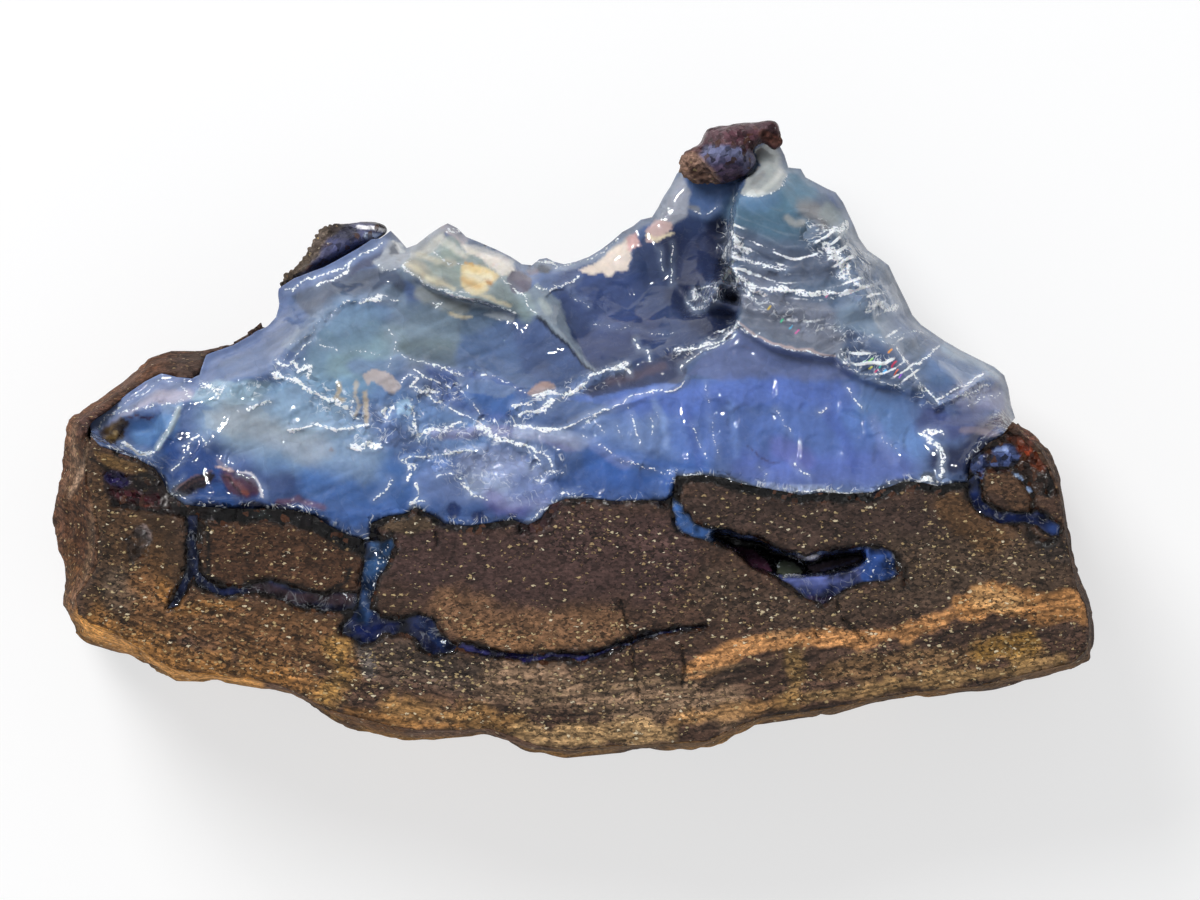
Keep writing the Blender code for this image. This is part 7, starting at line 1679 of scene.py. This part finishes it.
def skin_wear(points, ends):
    """How far each point is worn in: in lumps, along the beds at the slab's ends, and not beside the opal."""
    plan = points[:, :2]
    beds = np.abs((bedding(plan) / 0.9) % 1.0 - 0.5)
    lumpy = 0.4 * (0.5 + 0.5 * rough(points, 2.6, 101)) + 0.15 * lumps(points, 1.2, 102)
    deepest = np.where(np.abs(points[:, 0]) > 37, 0.15, 0.45)
    worn = np.clip(lumpy + np.where(ends, 0.25 * beds, 0) - 0.12, 0, deepest)
    level = (points[:, 2] < BACK_LEVEL) | (points[:, 2] > SAW_LEVEL)
    worn = np.where(level | any_near(plan, [OPAL_LEFT], 1.6), 0, worn)
    at_tip = (np.hypot(*(plan - OPAL_LEFT[-1]).T) < TIP_SIZE) & any_near(plan, [OPAL_LEFT], 0.5)
    return np.where(at_tip & (points[:, 2] > BACK_LEVEL), TIP_WEAR, worn)


def skin_colours(points):
    """Painted skin with rusty patches, blotched lower down: ochre on the front, dark brown elsewhere."""
    plan = points[:, :2]
    colours = painted(plan, "#5C4334", SKIN_COLOURS, waver=0.8, seed=105)
    rust = smooth_step(0.5 + rough(points, 5.0, 106))[:, None]
    colours *= 0.75 + 0.5 * rust
    deep = smooth_step((21 - points[:, 2]) / 5 + 0.4 * lumps(points, 3.0, 108))[:, None]
    blotch = smooth_step(0.5 + 1.2 * rough(points, 6.0, 107))[:, None]
    front = smooth_step((2.5 - bedding(plan)) / 2)[:, None]
    pale = front * linear("#86602F") + (1 - front) * linear("#5E3E2C")
    return colours * (1 - deep) + (linear("#3F2E26") * (1 - blotch) + pale * blotch) * deep


def make_skin(finish):
    """The slab's natural sides and its flat back, rough-weathered, with beds showing at both ends."""
    points, faces, normals = softened_copy("ironstone_host", SKIN_VOXEL)
    ends = np.abs(normals[:, 0]) > 0.5
    points -= normals * skin_wear(points, ends)[:, None]
    roof = np.full(len(points), SKIN_ROOF)
    ids, away = near_path(points[:, :2], SAWN_EDGE, 1.2)
    roof[ids] = EDGE_ROOF - away * ROOF_SLOPE
    points[:, 2] = np.clip(points[:, 2], 0, roof)
    plan = points[:, :2]
    marks = stone_marks(plan, skin_colours(points))
    marks["glaze"] = marked(plan, [(ARM_STAIN, 0.3, 0.5, 0.25)])
    marks["layered"] = np.where(ends, 0.8, 0.35)
    marks["sand"] = np.full(len(points), 0.25)
    mesh_piece("ironstone_natural_sides", points, faces, STONE_NODES, finish, marks)


# ---------------------------------------------------------------- what is left of it on the opal

# The red cap on the peak.
CAP_COLOURS = [
    ("#4E383E", [(10.8, 24.6), (13, 24.8), (15, 25)], 1, 0.6, 0.9),
    ("#64404A", [(12.6, 24.4), (14.6, 24.6)], 0.2, 0.5, 0.7),
    ("#4A4862", [(11, 22.6), (12.6, 22.6), (14, 22.6)], 0.7, 0.6, 0.95),
    ("#5A5F7E", [(10.8, 23.4), (12, 23.3), (13.4, 23.2)], 0.2, 0.4, 0.8),
    ("#503E50", [(11.4, 21.4), (13, 21.6)], 0.3, 0.5, 0.8),
    ("#7C6254", closed([(8.5, 21.6), (8.6, 22.8), (9.6, 23), (10.6, 21.8), (11.4, 20.8), (10, 20.6)]),
        0.2, 0.4, 0.95),
    ("#4C3830", [(9.2, 22.4), (9.8, 21.6), (10.6, 21)], 0.15, 0.3, 0.8),
    ("#4C2E26", [(15.4, 24.6), (16.4, 24.2)], 0.3, 0.4, 0.9),
]
# Where they are bare and crumbly in place of glazed, as strokes without a colour.
CRUMBLY = [
    (closed([(8.5, 21.4), (8.6, 22.8), (9.6, 23), (10.6, 21.8), (11.4, 20.8), (10, 20.6)]), 0.1, 0.4, 1),
    ([(15.6, 24.6), (16.5, 24.2)], 0.3, 0.3, 0.8),
    ([(-23.4, 12.6), (-22.6, 14), (-21.4, 15.4), (-20.6, 16.6), (-19.6, 17.2)], 0.5, 0.7, 1),
]
# The dark crust on the shoulder, with painted white glints at its right-hand end.
CRUST_COLOURS = [
    ("#474A6A", [(-19.6, 15.4), (-18, 15.8), (-17, 16.2)], 1, 0.8, 0.95),
    ("#3A3A50", [(-21.2, 13.6), (-19.6, 14.4)], 0.4, 0.6, 0.8),
    ("#5A4E42", [(-23.2, 13.2), (-22, 14.3), (-21, 15.6), (-20.2, 16.7), (-19.2, 17.3)], 0.4, 0.4, 0.9),
    ("#14121A", [(-19, 16.9), (-17.8, 16.6)], 0.3, 0.5, 0.7),
    ("#F0EEF0", [(-17.3, 17.2), (-16, 17.1), (-15.2, 16.9)], 0.06, 0.16, 0.9),
    ("#B9C4D8", [(-16.6, 16.5), (-15.6, 16.4)], 0.1, 0.2, 0.8),
]


REMNANT_WEAR = 60  # rounds of smoothing


def make_remnants(finish):
    """What is left of the ironstone on the opal: a red cap on the peak and a dark crust on the shoulder."""
    for node, name, slot, voxel, ground, strokes in (
        ("ironstone_peak_cap", "red_ironstone_cap", "red_ironstone", 0.12, "#42262A", CAP_COLOURS),
        ("dark_shoulder_crust", "dark_crust", "dark_crust", 0.14, "#2A2426", CRUST_COLOURS),
    ):
        points, faces, normals = softened_copy(node, voxel, REMNANT_WEAR)
        plan = points[:, :2]
        crumbly = marked(plan, CRUMBLY, seed=112)
        pits = crumbly * (0.25 + 0.3 * lumps(points, 0.35, 113))
        worn = np.clip(0.1 * rough(points, 1.2, 111) + pits - 0.15, -0.25, 0.4)
        points -= normals * worn[:, None]
        marks = {
            "tint": painted(plan, ground, strokes, waver=0.4, seed=115),
            "sand": np.full(len(points), 0.1),
            "glaze": 0.75 * (1 - crumbly),
            "bed": points[:, 2],
            "layered": np.full(len(points), 0.1),
        }
        mesh_piece(name, points, faces, [node], finish, marks)


# ---------------------------------------------------------------- the studio


def area_light(name, place, size, power, glints, aim=(0, 0, 0.015)):
    """A round lamp: with glints it is only mirrored in the stone, and without it only lights the stone."""
    lamp = bpy.data.lights.new(name, "AREA")
    lamp.shape = "DISK"
    lamp.size = size
    lamp.energy = power
    holder = bpy.data.objects.new(name, lamp)
    holder.location = place
    holder.rotation_euler = (Vector(aim) - Vector(place)).to_track_quat("-Z", "Y").to_euler()
    holder.visible_glossy = glints
    holder.visible_diffuse = not glints
    bpy.context.scene.collection.objects.link(holder)


BOARD, CORNERS = 2.0, ((-1, -1), (1, -1), (1, 1), (-1, 1))
BOARD_GAP = 0.0002  # keeps the board clear of the specimen's back
CAMERA_PLACE = (0.0022, -0.0008, 1.624)


def studio():
    """A pale board under soft light, with one small lamp for sparkle, seen from straight above."""
    scene = bpy.context.scene
    mesh = bpy.data.meshes.new("board")
    mesh.from_pydata([(x * BOARD, y * BOARD, 0) for x, y in CORNERS], [], [range(4)])
    mesh.materials.append(plain_floor())
    board = bpy.data.objects.new("board", mesh)
    board.location.z = -BOARD_GAP
    scene.collection.objects.link(board)
    scene.world = bpy.data.worlds.new("soft room")
    scene.world.use_nodes = True
    tree = scene.world.node_tree
    sky = tree.nodes["Background"]
    sky.inputs["Color"].default_value = (0.95, 0.97, 1.0, 1)
    # Bright all round but dark straight overhead, so that level faces mirror little and keep their colour.
    height = add(tree, "SeparateXYZ", {0: add(tree, "TexCoord").outputs["Generated"]}).outputs[2]
    glow = add(tree, "MapRange", {0: height, 1: 0.86, 2: 0.95, 3: 0.49, 4: 0.1}).outputs[0]
    tree.links.new(glow, sky.inputs["Strength"])
    area_light("window", (-0.42, 0.60, 0.78), 0.5, 8.8, False)
    area_light("lamp", (-0.42, 0.58, 0.60), 0.035, 4.2, True)
    scene.view_settings.view_transform = "Standard"
    lens = bpy.data.cameras.new("camera")
    lens.sensor_width = 36
    lens.lens = 600
    lens.clip_start, lens.clip_end = 0.01, 20
    camera = bpy.data.objects.new("camera", lens)
    camera.location = CAMERA_PLACE
    scene.collection.objects.link(camera)
    scene.camera = camera


def main():
    """Makes every finish, piece and light."""
    opal = translucent_opal()
    # A fine saw leaves ironstone flat and faintly satin, so its face takes a soft sheen. Weather pits it, so
    # the natural sides are dull and earthy.
    sawn = sandy_ironstone("sawn sandy ironstone", 0.7, 0.32)
    weathered = sandy_ironstone("weathered ironstone", 0.95, 0.25)
    make_opal(opal)
    make_sawn_face(sawn, opal)
    make_skin(weathered)
    make_remnants(weathered)
    studio()


main()
